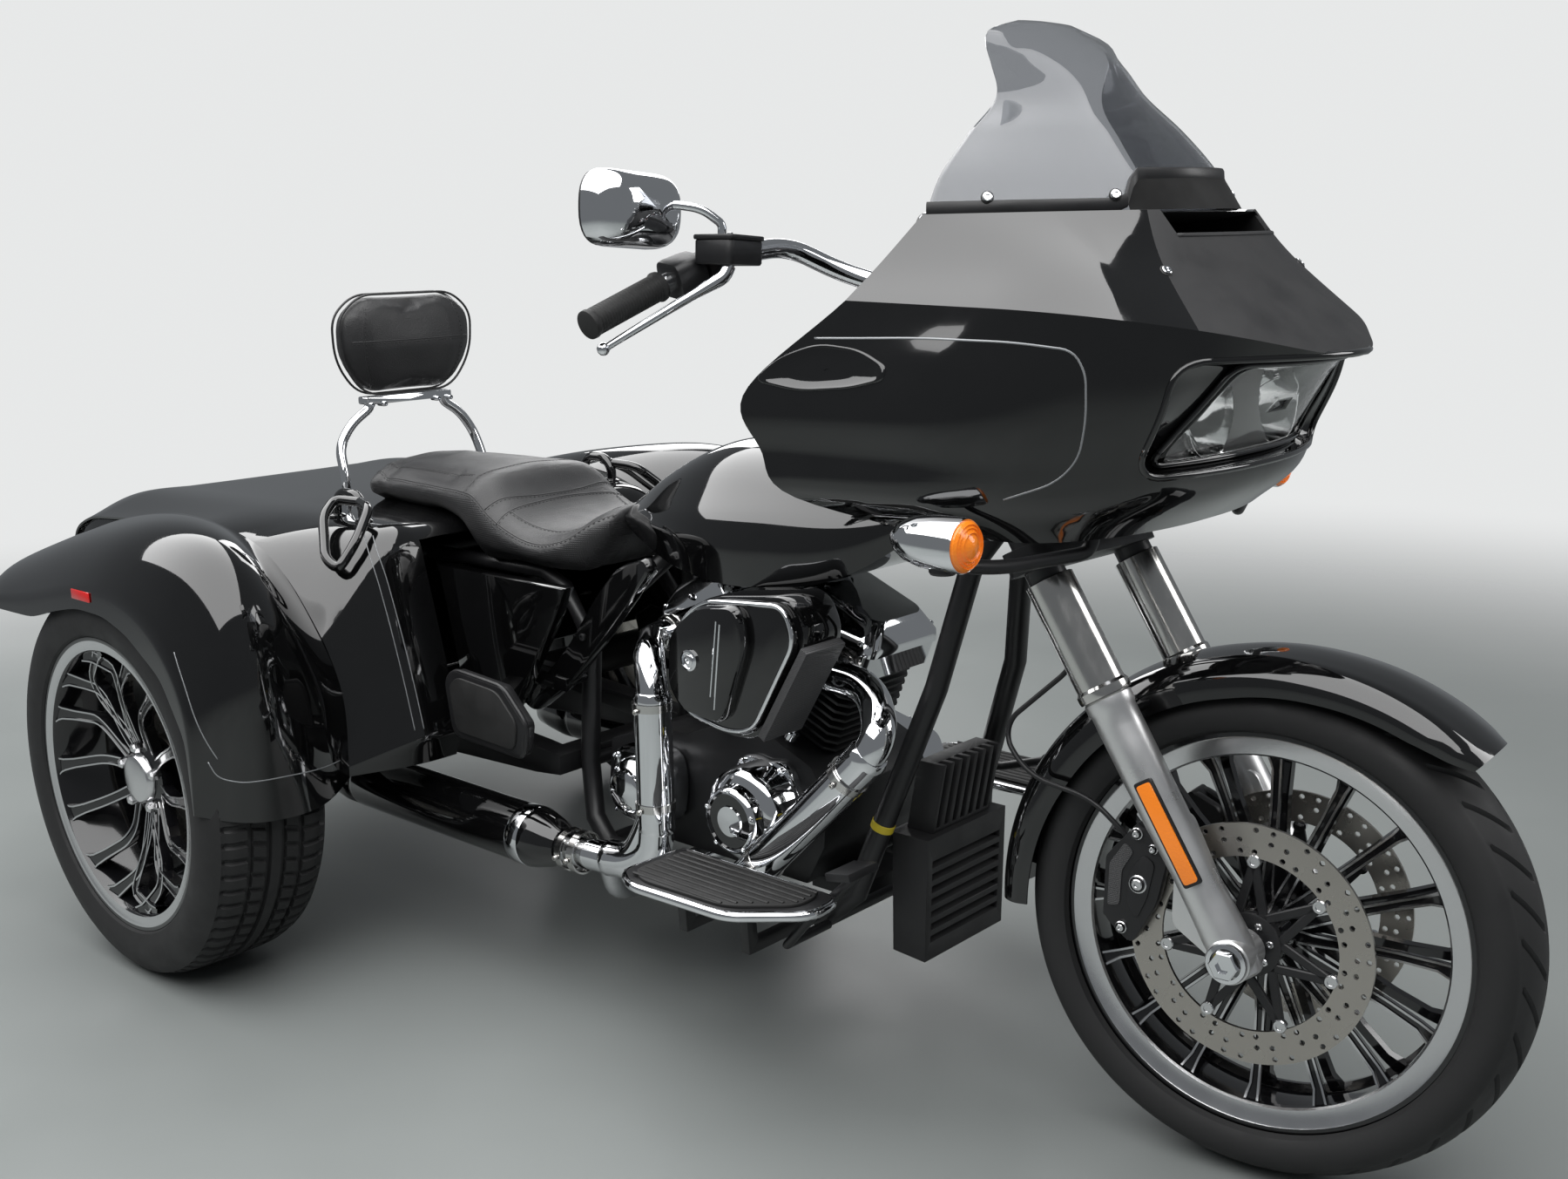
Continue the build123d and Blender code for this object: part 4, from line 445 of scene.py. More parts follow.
def sweep_rings(line, rings, up=SLANT):
    """Carry cross-section rings of (side, up) points along a line without twist."""
    tangents = np.gradient(line, axis=0)
    tangents /= np.linalg.norm(tangents, axis=1)[:, None]
    normal = np.cross(tangents[0], up)
    if np.linalg.norm(normal) < 1e-3:
        normal = np.cross(tangents[0], (1, 0, 0))
    normal = unit(normal)
    out = []
    for i, t in enumerate(tangents):
        normal = unit(normal - t * (normal @ t))
        ring = rings[i] if len(rings) > 1 else rings[0]
        out.append(line[i] + ring[:, :1] * normal + ring[:, 1:] * np.cross(t, normal))
    return np.array(out)


def circle(radius, count=16):
    a = np.arange(count) * 2 * math.pi / count
    return np.stack([np.cos(a), np.sin(a)], 1) * radius


class Mesh:
    """Vertices and faces gathered from several forms into one piece; mat is the index of a form's finish."""

    def __init__(self):
        self.verts, self.faces, self.mats = [], [], []

    def add(self, verts, faces, mat=0):
        base = len(self.verts)
        self.verts.extend(np.asarray(verts, float).reshape(-1, 3).tolist())
        self.faces.extend([tuple(base + i for i in f) for f in faces])
        self.mats.extend([mat] * len(faces))

    def grid(self, rows, wrap=False, cap=False, mat=0):
        """A skin over rows of points, closed round each row (wrap) and at both ends (cap)."""
        rows = np.asarray(rows, float)
        m, n = rows.shape[:2]
        faces = grid_faces(m, n, wrap_cols=wrap)
        if cap:
            faces += [tuple(range(n))[::-1], tuple(range((m - 1) * n, m * n))]
        self.add(rows, faces, mat)

    def sweep(self, line, rings, mat=0, up=SLANT):
        """A closed bar with cross-section rings along a line."""
        self.grid(sweep_rings(line, rings, up), wrap=True, cap=True, mat=mat)

    def tube(self, points, radius, bend=20.0, step=8.0, count=16, mat=0):
        """A round bar along a path; radius is a number, or shares of its length and the radii there."""
        line = path_points(points, bend, step)
        radii = np.interp(np.linspace(0, 1, len(line)), *radius) if isinstance(radius, tuple) else [radius]
        self.sweep(line, [circle(r, count) for r in radii], mat)

    def rod(self, start, end, radius, step, count=16, mat=0):
        """A straight round bar."""
        start, end = np.asarray(start, float), np.asarray(end, float)
        self.tube([start, (start + end) / 2, end], radius, bend=1, step=step, count=count, mat=mat)

    def bead(self, line, radius, count, mat=0):
        """A round bead laid once round a closed line."""
        self.sweep(np.concatenate([line, line[:2]]), [circle(radius, count)], mat)

    def ring(self, outline, level, radius, axis="y", mat=0, corner=20):
        """A round rim laid along a closed flat outline at one level."""
        self.bead(in_plane(looped(outline, corner, arc=6, run=5), level, axis), radius, 10, mat)

    def lathe(self, profile, origin, axis, count=48, mat=0):
        """Turn (distance along, radius) points round an axis."""
        axis = unit(np.asarray(axis, float))
        side = unit(np.cross(axis, (0, 0, 1) if abs(axis[2]) < 0.9 else (1, 0, 0)))
        other = np.cross(axis, side)
        a = np.arange(count) * 2 * math.pi / count
        turned = np.cos(a)[:, None] * side + np.sin(a)[:, None] * other
        self.grid([np.asarray(origin) + axis * d + r * turned for d, r in profile], wrap=True, mat=mat)

    def prism(self, outline, low, high, axis="y", edge=1.5, mat=0):
        """Extrude a closed outline between two levels with rounded edges on both faces."""
        pts = np.asarray(outline, float)
        centre = pts.mean(0)
        spans = pts - centre
        reach = np.abs(spans).max()
        toward = 1 if high > low else -1
        rows = []
        for face, sign, shares in ((low, toward, (0, 0.3, 1.0)), (high, -toward, (1.0, 0.3, 0))):
            for share in shares:
                turn = share * math.pi / 2
                level = face + sign * edge * (1 - math.cos(turn))
                rows.append(in_plane(centre + spans * (1 - edge / reach * (1 - math.sin(turn))), level, axis))
        self.grid(rows, wrap=True, cap=True, mat=mat)

    def bolt(self, at, direction, radius=5.0, height=4.0, mat=0):
        """A screw head standing on a surface, with a socket in its face."""
        r = radius
        profile = [(0, r), (height * 0.75, r), (height, r * 0.82), (height, r * 0.5)]
        profile += [(height * 0.35, r * 0.46), (height * 0.35, 0.01)]
        self.lathe(profile, at, direction, count=14, mat=mat)

    def make(self, name, finish, **how):
        """The piece, with its faces as they were added."""
        obj = piece(name, self.verts, self.faces, finish, **how)
        if any(self.mats) and len(obj.data.polygons) == len(self.mats):
            obj.data.polygons.foreach_set("material_index", self.mats)
        return obj

    def facing(self, name, finish, **how):
        """The piece, with its faces turned outward."""
        obj = self.make(name, finish, **how)
        recalc(obj)
        return obj


def thicken(obj, wall):
    """Give a skin a wall inward, before its other modifiers."""
    solid = obj.modifiers.new("wall", "SOLIDIFY")
    solid.thickness, solid.use_quality_normals = wall * MM, True
    with bpy.context.temp_override(object=obj):
        obj.modifiers.move(len(obj.modifiers) - 1, 0)


def square_to(axis, *levels):
    """Planes across an axis at some levels, each as (point, normal)."""
    normal = np.eye(3)["xyz".index(axis)]
    return [(normal * level, normal) for level in levels]


def cut(obj, planes):
    """Cut a mesh along planes (point, normal) in the layout so that faces end on them."""
    with edited(obj) as bm:
        for point, normal in planes:
            co = Vector(to_frame([point])[0])
            geometry = bm.verts[:] + bm.edges[:] + bm.faces[:]
            bmesh.ops.bisect_plane(bm, geom=geometry, dist=1e-6, plane_co=co, plane_no=Vector(normal))


def drop_faces(obj, test):
    """Delete the faces whose centre in the layout passes a test."""
    with edited(obj) as bm:
        chosen = [f for f in bm.faces if test(*to_layout(f.calc_center_median()))]
        bmesh.ops.delete(bm, geom=chosen, context="FACES")


def split_off(obj, name, test, finish):
    """Move the faces whose centre in the layout passes a test to a piece of their own."""
    data = obj.data.copy()
    data.name = name
    data.materials.clear()
    data.materials.append(FINISH[finish])
    part = bpy.data.objects.new(name, data)
    scene.collection.objects.link(part)
    drop_faces(part, lambda *at: not test(*at))
    drop_faces(obj, test)
    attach(part, ROOT)
    return part


# ---- Tyres and wheels


def tread_tyre(name, body, centre, profile, pitches, rows, steered, replaces):
    """A tyre whose tread blocks come from a grid; each pitch begins with two rows of cross cuts."""
    cx, cy, cz = centre
    verts = []
    for k in range(pitches * rows):
        for y, r, shift, groove, cross in profile:
            angle = (k / rows + shift) * 2 * math.pi / pitches
            rad = r - (max(groove, cross) if k % rows < 2 else groove)
            verts.append((cx + math.cos(angle) * rad, cy + y, cz + math.sin(angle) * rad))
    faces = grid_faces(pitches * rows, len(profile), wrap_rows=True)
    recalc(piece(
        name, verts, faces, "tyre", body=body, steered=steered, replaces=replaces, slot="tyre_rubber", sharp=28,
    ))


def with_walls(crown, wall):
    """Crown rows between two side walls, which take the shift of the crown's end rows."""
    first, last = crown[0][2], crown[-1][2]
    return [(-y, r, first, 0, 0) for y, r in wall] + crown + [(y, r, last, 0, 0) for y, r in reversed(wall)]


def front_tread():
    """Section rows of the front tyre: y, radius, shift of the grooves, ring grooves, cross-cut depth."""
    crown_radius, arch = 80.0, 319.0 - 80.0
    shoulder, half = 40, 54
    crown = []
    for y in np.linspace(-half, half, 37):
        off = abs(y)
        r = arch + math.sqrt(crown_radius ** 2 - min(off, shoulder) ** 2)
        if off >= shoulder:
            t = (off - shoulder) / 17
            r = r - t * 10.5 - t * t * 0.2
        shift = (off / half) ** 1.3 * 1.15 + (0.5 if y > 0 else 0)
        crown.append((y, r, shift, 0.0, 5.0 if 7 < off < 50 else 0.0))
    wall = ((60, 257), (64, 264), (66, 276), (65.2, 284), (63, 290), (60, 294.5), (57, 298))
    bead, radius = 52, 253.3
    return [(-bead, radius, 0, 0, 0)] + with_walls(crown, wall) + [(bead, radius, 0, 0, 0)]


def rear_tread(side):
    """Section rows of a rear tyre: four ring grooves and slanted cross cuts between them."""
    grooves = ((-48, -40), (-17, -9), (9, 17), (40, 48))
    half, bend = 78, 50
    stops = {-82, -76, -68, -58, 60, 68, 76, 82}
    for low, high in grooves:
        stops |= {low - 0.8, low, high, high + 0.8, high + 8}
    crown = []
    for y in sorted(stops):
        off = abs(y)
        r = 325.0 - 3.2 * (off / half) ** 3 - (4.5 if off >= 82 else 1.2 if off >= 76 else 0)
        ring = 7.0 if any(low <= y <= high for low, high in grooves) else 0.0
        slant = y / half * 0.9 if off < bend else math.copysign(bend / half * 0.9 + (off - bend) / half * 0.2, y)
        crown.append((y, r, slant * side, ring, 0.0 if off < 9 else 5.5))
    wall = ((96, 244.6), (100, 248), (104.5, 262), (106, 275), (104.5, 288), (101, 299), (96, 308), (89, 316))
    return with_walls(crown, wall)


tread_tyre("front_tyre_dressed", FRONT_WHEEL, FRONT_AXLE, front_tread(), 34, 14, True, "front_tyre")
for side, name in SIDES:
    tread_tyre(
        f"rear_{name}_tyre_dressed", f"rear_{name}_wheel", (0.0, side * 581.0, REAR_Z), rear_tread(side), 74, 7,
        False, f"rear_{name}_tyre",
    )


def spoke(mesh, path, sections, across):
    """A wheel spoke swept along a path: bright edges on its outer face, black elsewhere."""
    line = np.asarray(path, float)
    tangents = np.gradient(line, axis=0)
    tangents /= np.linalg.norm(tangents, axis=1)[:, None]
    rows = []
    for p, t, (wide, deep) in zip(line, tangents, sections):
        side, w = unit(np.cross(across, t)), wide / 2
        shape = [
            (-w * 0.75, -deep), (-w, -2.0), (-w + 0.8, 0), (-w + 3.6, 0), (-w + 4.6, -2.5), (w - 4.6, -2.5),
            (w - 3.6, 0), (w - 0.8, 0), (w, -2.0), (w * 0.75, -deep),
        ]
        rows.append([p + side * a + across * b for a, b in shape])
    n = len(rows[0])
    faces = grid_faces(len(rows), n, wrap_cols=True)
    mesh.add(rows, faces)
    mesh.mats[-len(faces):] = [1 if f[0] % n in (2, 6) else 0 for f in faces]


def turned_rim(mesh, profile, centre, strips, count=128):
    """A rim turned from a profile, with a plain band inside the tyre and some strips machined bright."""
    mesh.lathe(profile, centre, (0, 1, 0), count=count)
    for k, f in enumerate(mesh.faces):
        if min(f) // count in strips:
            mesh.mats[k] = 1
    mesh.lathe([profile[0], profile[-1]], centre, (0, 1, 0), count=64)


def front_wheel():
    mesh = Mesh()
    rim = [
        (-50, 252.6), (-50, 247), (-48.5, 244.5), (-45.5, 225), (-43, 222.5), (-36, 222), (-30, 231), (0, 226),
        (30, 231), (36, 222), (43, 222.5), (45.5, 225), (48.5, 244.5), (50, 247), (50, 252.6),
    ]
    turned_rim(mesh, rim, FRONT_AXLE, (1, 2, 3, 10, 11, 12))
    hub = [
        (-72, 13), (-72, 34), (-69, 38), (-40, 39), (-30, 30), (30, 30), (40, 39), (69, 38), (72, 34), (72, 13),
    ]
    mesh.lathe(hub, FRONT_AXLE, (0, 1, 0), count=48)
    # Radius, distance from the wheel's middle plane, width and depth along each of 16 pairs of spokes
    course = (
        (34, 30, 20, 14), (60, 33, 17, 14), (110, 27, 14, 12), (160, 24, 13.5, 12), (205, 28, 14.5, 12),
        (228, 42, 22, 14),
    )
    for side in (-1, 1):
        across = np.array([0.0, side, 0.0])
        for k in range(16):
            out = about(1, math.radians(90 + k * 22.5))
            path = [FRONT_AXLE + out * r + across * y for r, y, _, _ in course]
            spoke(mesh, path, [(wide, deep) for _, _, wide, deep in course], across)
    mesh.facing(
        "front_rim_dressed", ["wheel", "machined"], body=FRONT_WHEEL, steered=True, replaces="front_rim",
        slot="wheel_black", sharp=30,
    )


front_wheel()

# Each rear spoke runs through (radius, degrees) points; the other half of the wheel repeats them
REAR_SPOKES = (
    ((224, 110.8), (192, 87.9), (166, 89.7), (93, 101.8), (50, 104)),
    ((224, 137.5), (161, 116.6), (139, 114.2), (80, 121.7), (50, 124)),
    ((224, 158.2), (135, 141), (114, 140.3), (50, 152.1)),
    ((224, 183.9), (103, 171.6), (50, 168)),
    ((224, 205.8), (118, 209.4), (50, 214)),
    ((224, 230.5), (128, 247.4), (96.5, 252.5), (50, 236)),
    ((224, 251.3), (158, 270), (131, 274.4), (50, 277.5)),
    ((224, 276.1), (182, 297.1), (146, 300.4), (71, 286)),
)


def rear_wheel(side, name):
    mesh = Mesh()
    face = side * 677.0
    centre, across = np.array([0.0, 0.0, REAR_Z]), np.array([0.0, side, 0.0])
    # Profiles run from the wheel's outer face, as (distance outward, radius)
    rim = [
        (0, 243.7), (0, 238), (-2, 234), (-4, 222), (-8, 219), (-30, 216), (-60, 200), (-80, 190), (-150, 200),
        (-185, 222), (-190, 236), (-192, 243.7),
    ]
    turned_rim(mesh, [(face + side * d, r) for d, r in rim], centre, (1, 2))
    for path in REAR_SPOKES:
        for half in (0, 180):
            corners = [about(radius, math.radians(angle + half)) for radius, angle in path]
            line = path_points(corners, 60, step=9.0)
            reach = np.linalg.norm(line, axis=1)
            drop = np.interp(reach, [50, 224], [52, 7])
            wide = np.interp(reach, [50, 90, 180, 212, 226], [20, 18, 19, 24, 40])
            spoke(mesh, line + centre + across * (abs(face) - drop)[:, None], [(w, 20) for w in wide], across)
    hub = [(-84, 21), (-84, 60), (-60, 62), (-52, 60), (-50, 52), (-47, 40), (-46, 36), (-44, 34)]
    mesh.lathe([(face + side * d, r) for d, r in hub], centre, (0, 1, 0), count=64)
    cap = [(-47, 44), (-40, 42), (-36, 38), (-34, 30), (-33, 0.1)]
    mesh.lathe([(face + side * d, r) for d, r in cap], centre, (0, 1, 0), count=48, mat=1)
    for k in range(5):
        at = centre + about(53, math.radians(90 + 72 * k)) + across * (abs(face) - 52)
        mesh.lathe([(0, 10), (2, 10), (14, 8.6), (17, 6), (18, 0.1)], at, across, count=6, mat=1)
    mesh.facing(
        f"rear_{name}_rim_dressed", ["wheel", "machined"], body=f"rear_{name}_wheel",
        replaces=f"rear_{name}_rim", slot="wheel_black", sharp=30,
    )


for side, name in SIDES:
    rear_wheel(side, name)

# ---- Fairing: smooth skin through the same levels as the solid, creased at the brow

# Half outlines at rising stations: rear edge, side, corner, front, as (x, y, z)
FAIRING_CREASE = ((1286, 357, 1100), (1538, 324, 1090), (1660, 202, 1066), (1744, 50, 1031))
FAIRING_LOWER = (
    (824, ((1340, 290, 824), (1490, 274, 824), (1545, 180, 824), (1565, 70, 824))),
    (869, ((1218, 378, 869), (1462, 348, 869), (1590, 205, 869), (1625, 70, 869))),
    (925, ((1180, 392, 925), (1470, 360, 925), (1610, 218, 925), (1645, 80, 925))),
    (987, ((1160, 400, 987), (1480, 366, 987), (1640, 214, 987), (1690, 76, 987))),
    (1066, FAIRING_CREASE),
)
FAIRING_UPPER = (
    (1066, FAIRING_CREASE),
    (1136, ((1306, 314, 1143), (1502, 276, 1141), (1588, 172, 1135), (1640, 56, 1116))),
    (1195, ((1330, 268, 1195), (1430, 240, 1195), (1530, 160, 1195), (1580, 70, 1195))),
)
CREASE_ROW = 28
# The lamp window with its cut corners, the lens sunk in it, and the bowls behind the lens
LAMP_LOW, LAMP_HIGH, LAMP_HALF, LAMP_CORNER = 900, 1032, 222, 36
LENS_LOW, LENS_HIGH, LENS_FOOT, LENS_TOP, LENS_DEPTH = 912, 1024, 192, 140, 20
BOWL_X, BOWL_Y, BOWL_Z, BOWL_HOLE = 1604, 86, 966, 53
# The nose panel's half width at the skin's top edge and how it widens below, and the vent's mouth
SKIN_TOP = 1195
NOSE_TOP_HALF, NOSE_SPREAD = 132, 0.55
VENT_HALF, VENT_LOW, VENT_RISE = 118, 1166, 34
# Rays at the fairing start well outside it
OUTSIDE, AHEAD = 700, 2200


def level_line(half):
    """A level's line from its right rear edge round the nose to the left rear edge."""
    left = [(x, y, z) for x, y, z in half]
    right = [(x, -y, z) for x, y, z in half]
    return rounded(right + left[::-1], [0, 110, 110, 60, 60, 110, 110, 0], arc=10, run=6)


def fairing_rows():
    """Rows of the skin below the crease, and above it."""
    parts = []
    for levels, count in ((FAIRING_LOWER, CREASE_ROW + 1), (FAIRING_UPPER, 21)):
        stations = [s for s, _ in levels]
        lines = [level_line(half) for _, half in levels]
        parts.append(hermite(stations, lines, np.linspace(stations[0], stations[-1], count)))
    return parts


def skin_tree(obj):
    return BVHTree.FromObject(obj, bpy.context.evaluated_depsgraph_get())


def fairing():
    """The fairing's three skins; what is returned finds points on the whole form, openings and all."""
    lower, upper = fairing_rows()
    mesh = Mesh()
    mesh.grid(np.concatenate([lower, upper[1:]]))
    whole = mesh.facing("fairing_form", "gloss", sharp=0)
    tree = skin_tree(whole)
    bpy.data.objects.remove(whole)
    # Below the crease: flanks, headlamp window and chin
    mesh = Mesh()
    mesh.grid(lower)
    skin = mesh.facing("fairing_skin", "gloss", replaces="fairing_outer", slot="gloss_black", sharp=0)
    chamfer = LAMP_CORNER * (2 - math.sqrt(2))
    planes = square_to("y", -LAMP_HALF, LAMP_HALF) + square_to("z", LAMP_LOW, LAMP_HIGH)
    for side in (-1, 1):
        for z, up in ((LAMP_LOW, -1), (LAMP_HIGH, 1)):
            planes.append(((0, side * (LAMP_HALF - chamfer), z), (0, side, up)))
    cut(skin, planes)

    def in_window(x, y, z):
        aside, above = LAMP_HALF - abs(y), min(z - LAMP_LOW, LAMP_HIGH - z)
        return x > 1450 and aside > 0 and above > 0 and aside + above > chamfer

    drop_faces(skin, in_window)
    # Above it: the shoulders, the nose panel and the mouth of the vent
    mesh = Mesh()
    mesh.grid(upper)
    shoulder = mesh.facing("fairing_shoulders", "gloss", slot="gloss_black", sharp=0)
    planes = [((0, side * NOSE_TOP_HALF, SKIN_TOP), (0, 1, side * NOSE_SPREAD)) for side in (-1, 1)]
    cut(shoulder, planes + square_to("y", -VENT_HALF, VENT_HALF) + square_to("z", VENT_LOW))

    def in_nose(x, y, z):
        return abs(y) < NOSE_TOP_HALF + (SKIN_TOP - z) * NOSE_SPREAD and x > 1400

    nose = split_off(shoulder, "fairing_nose_skin", in_nose, "matte")
    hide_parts("fairing_nose")
    drop_faces(nose, lambda x, y, z: abs(y) < VENT_HALF and z > VENT_LOW)
    for obj, wall in ((skin, 4), (shoulder, 4), (nose, 5)):
        thicken(obj, wall)
        split_edges(obj, math.radians(40))
    return tree


FAIRING_TREE = fairing()


def on_skin(tree, point, direction, lift=0.6):
    """The point and normal where a ray in layout millimetres meets a skin, lifted off it."""
    start, way = Vector(to_frame([point])[0]), Vector(direction)
    hit, normal, _, _ = tree.ray_cast(start, way.normalized())
    if hit is None:
        return None, None
    normal = normal if normal.dot(way) < 0 else -normal
    return np.array(to_layout(hit) + normal * lift), np.array(normal)


# ---- Windshield

SCREEN_LEVELS = (
    (1195.3, ((1330, 262), (1402, 236), (1513, 140), (1573, 44))),
    (1240, ((1330, 234), (1392, 210), (1490, 130), (1542, 42))),
    (1290, ((1330, 176), (1374, 162), (1452, 112), (1495, 38))),
    (1335, ((1332, 123), (1360, 115), (1415, 88), (1443, 32))),
    (1370, ((1331, 134), (1353, 124), (1391, 82), (1411, 28))),
    (1392, ((1330, 143), (1346, 130), (1372, 76), (1385, 24))),
    (1412, ((1326, 126), (1337, 112), (1351, 62), (1358, 20))),
    (1426, ((1322, 64), (1327, 56), (1334, 36), (1336, 12))),
)


def screen_lines():
    """The windshield's levels and its line at each."""
    lines = []
    for z, half in SCREEN_LEVELS:
        right = [(x, -y, z) for x, y in half]
        left = [(x, y, z) for x, y in half]
        lines.append(rounded(right + left[::-1], [0, 60, 80, 60, 60, 80, 60, 0], arc=8, run=5))
    return [z for z, _ in SCREEN_LEVELS], lines


def windshield():
    levels, lines = screen_lines()
    mesh = Mesh()
    mesh.grid(hermite(levels, lines, np.linspace(levels[0], levels[-1], 40)))
    thicken(mesh.facing("windshield_skin", "smoke", replaces="windshield", slot="smoke_screen", sharp=0), 4)


windshield()

# ---- Rear fenders and trunk

# Side views of a fender's skin at rising distances from the middle plane, and of its wheel arch
FENDER_SECTIONS = (
    (420.3, [(-400, 560), (-430, 640), (-266, 708), (-60, 712), (100, 671), (213, 572), (280, 470), (283, 330)]),
    (500, [(-400, 565), (-445, 635), (-300, 700), (-80, 745), (120, 735), (260, 660), (325, 540), (338, 315)]),
    (580, [(-400, 570), (-455, 625), (-330, 672), (-90, 733), (120, 762), (275, 735), (352, 600), (345, 318)]),
    (640, [(-400, 575), (-450, 615), (-330, 655), (-90, 715), (110, 745), (265, 715), (348, 590), (342, 325)]),
    (694.5, [(-400, 580), (-405, 592), (-300, 612), (-90, 655), (80, 680), (215, 645), (300, 530), (292, 343)]),
)
ARCH = [
    (-460, 574), (-380, 576), (-193, 580), (-110, 602), (-29, 618), (60, 617), (130, 598), (225, 545), (283, 458),
    (288, 343), (280, 200),
]
FENDER_IN, FENDER_SIDE, FENDER_OUT = 420.3, 640, 694.5


def smooth_outline(points, count=72):
    """A smooth open curve through the points of a side-view outline."""
    pts = np.asarray(points, float)
    chord = np.concatenate([[0], np.cumsum(np.sqrt(np.linalg.norm(np.diff(pts, axis=0), axis=1)))])
    return hermite(chord, pts, np.linspace(0, chord[-1], count))


def arch_point(point):
    """Where the ray from the wheel's centre through a point crosses the arch line."""
    angle = math.atan2(point[1] - REAR_Z, point[0])
    dx, dz = math.cos(angle), math.sin(angle)
    nearest = None
    for (ax, az), (bx, bz) in zip(ARCH, ARCH[1:]):
        ex, ez = bx - ax, bz - az
        det = dx * (-ez) - dz * (-ex)
        if abs(det) < 1e-9:
            continue
        t = (ax * (-ez) - (az - REAR_Z) * (-ex)) / det
        s = (dx * (az - REAR_Z) - dz * ax) / det
        if t > 0 and -0.001 <= s <= 1.001 and (nearest is None or t < nearest):
            nearest = t
    if nearest is None:
        return np.array(point, float)
    return np.array([dx * nearest, REAR_Z + dz * nearest])


def loft(sections, axis, at):
    """Rows of a skin through flat sections (level, outline) across an axis, at other levels."""
    return hermite([s for s, _ in sections], [in_plane(line, s, axis) for s, line in sections], at)


def rear_fender(side, name):
    sections = [(y, smooth_outline(points)) for y, points in FENDER_SECTIONS]
    face = sections[-1][1]
    arch = np.array([arch_point(p) for p in face])
    kernel = np.array([1, 2, 3, 2, 1]) / 9.0
    padded = np.concatenate([arch[:1]] * 2 + [arch] + [arch[-1:]] * 2)
    soft = np.stack([np.convolve(padded[:, k], kernel, "valid") for k in (0, 1)], 1)
    soft[0], soft[-1] = arch[0], arch[-1]
    crown = loft(sections, "y", np.concatenate([np.linspace(FENDER_IN, FENDER_SIDE, 24), np.linspace(646, 686, 6)]))
    # The side face runs from the crown's edge to the arch and turns in there
    band = []
    for t in np.linspace(0.0, 1.0, 7):
        out = 690.5 + 4.0 * math.sin(min(t * 1.4 + 0.25, 1.0) * math.pi / 2)
        band.append(in_plane(face * (1 - t) + soft * t, out, "y"))
    lip = [band[-1] + np.array([0, -dy, 0]) for dy in (3.0, 9.0)]
    rows = np.concatenate([crown, np.array(band), np.array(lip)])
    # Ease the whole crown, then the shoulder between crown and side face
    for _ in range(26):
        rows[1:32] = (rows[:31] + 2 * rows[1:32] + rows[2:33]) / 4
        rows[1:34, 2:-2] = (rows[1:34, 1:-3] + 4 * rows[1:34, 2:-2] + rows[1:34, 3:-1]) / 6
    rows[..., 1] = np.minimum(rows[..., 1], FENDER_OUT) * side
    mesh = Mesh()
    mesh.grid(rows)
    thicken(mesh.facing(
        f"rear_{name}_fender_skin", "gloss", replaces=f"rear_{name}_fender", slot="gloss_black", sharp=45,
    ), 4)


for side, name in SIDES:
    rear_fender(side, name)

# Side views of the trunk at its middle and at its flanks, and half the width of both
TRUNK_MIDDLE = [
    (-640, 430), (-640, 560), (-632, 690), (-560, 708), (-60, 721), (160, 717), (248, 705), (335, 375), (318, 330),
]
TRUNK_SIDE = [
    (-620, 430), (-620, 560), (-612, 645), (-540, 678), (-60, 712), (100, 671), (213, 572), (283, 345), (280, 330),
]
TRUNK_HALF, TRUNK_FLAT = 420, 300


def trunk():
    middle = rounded(TRUNK_MIDDLE, [0, 30, 60, 60, 200, 120, 60, 10, 0], arc=8, run=6)
    flank = rounded(TRUNK_SIDE, [0, 30, 60, 60, 200, 160, 160, 10, 0], arc=8, run=6)
    half, flat = TRUNK_HALF, TRUNK_FLAT
    sections = ((-half, flank), (-flat, middle), (-180, middle), (180, middle), (flat, middle), (half, flank))
    at = np.concatenate([np.linspace(-half, -240, 20), np.linspace(-200, 200, 5), np.linspace(240, half, 20)])
    mesh = Mesh()
    mesh.grid(loft(sections, "y", at))
    obj = mesh.facing("trunk_skin", "gloss", replaces="trunk_body", slot="gloss_black", sharp=35)
    # Room for the seat at the front, and the hatch at the back
    cut(obj, (
        square_to("y", -235, 235) + square_to("z", 690) + square_to("x", -76)
        + square_to("y", -318, 318) + square_to("z", 464, 648) + square_to("x", -596)
    ))
    drop_faces(obj, lambda x, y, z: (
        (abs(y) < 235 and z < 690 and x > -76) or (abs(y) < 318 and 464 < z < 648 and x < -596)
    ))
    thicken(obj, 4)
    # The floor, the bulkhead and the side walls close the luggage space
    inside = Mesh()
    inside.prism([(-615, -414), (-615, 414), (150, 414), (150, -414)], 430, 434, axis="z", edge=1)
    bulkhead = [(-414, 434), (414, 434), (414, 700), (-300, 712), (300, 712), (-414, 700)]
    inside.prism(bulkhead, -100, -96, axis="x", edge=1)
    wall = [
        (-614, 432), (-614, 560), (-605, 640), (-536, 672), (-60, 705), (96, 664), (205, 566), (266, 380), (262, 372),
        (120, 372), (100, 432),
    ]
    for side in (-1, 1):
        inside.prism(wall, side * 409, side * 414, edge=1)
    inside.make("trunk_floor", "gloss", slot="gloss_black", sharp=35)


trunk()

# ---- Fuel tank

# x, half width at the foot, height of the foot, height of the shoulder, half width at the top, height of the top
TANK_SECTIONS = (
    (592, 75, 725, 748, 40, 770),
    (680, 122, 715, 765, 62, 822),
    (800, 165, 695, 770, 85, 872),
    (960, 178, 690, 780, 95, 882),
    (1120, 150, 725, 790, 85, 872),
    (1215, 100, 790, 815, 60, 850),
)


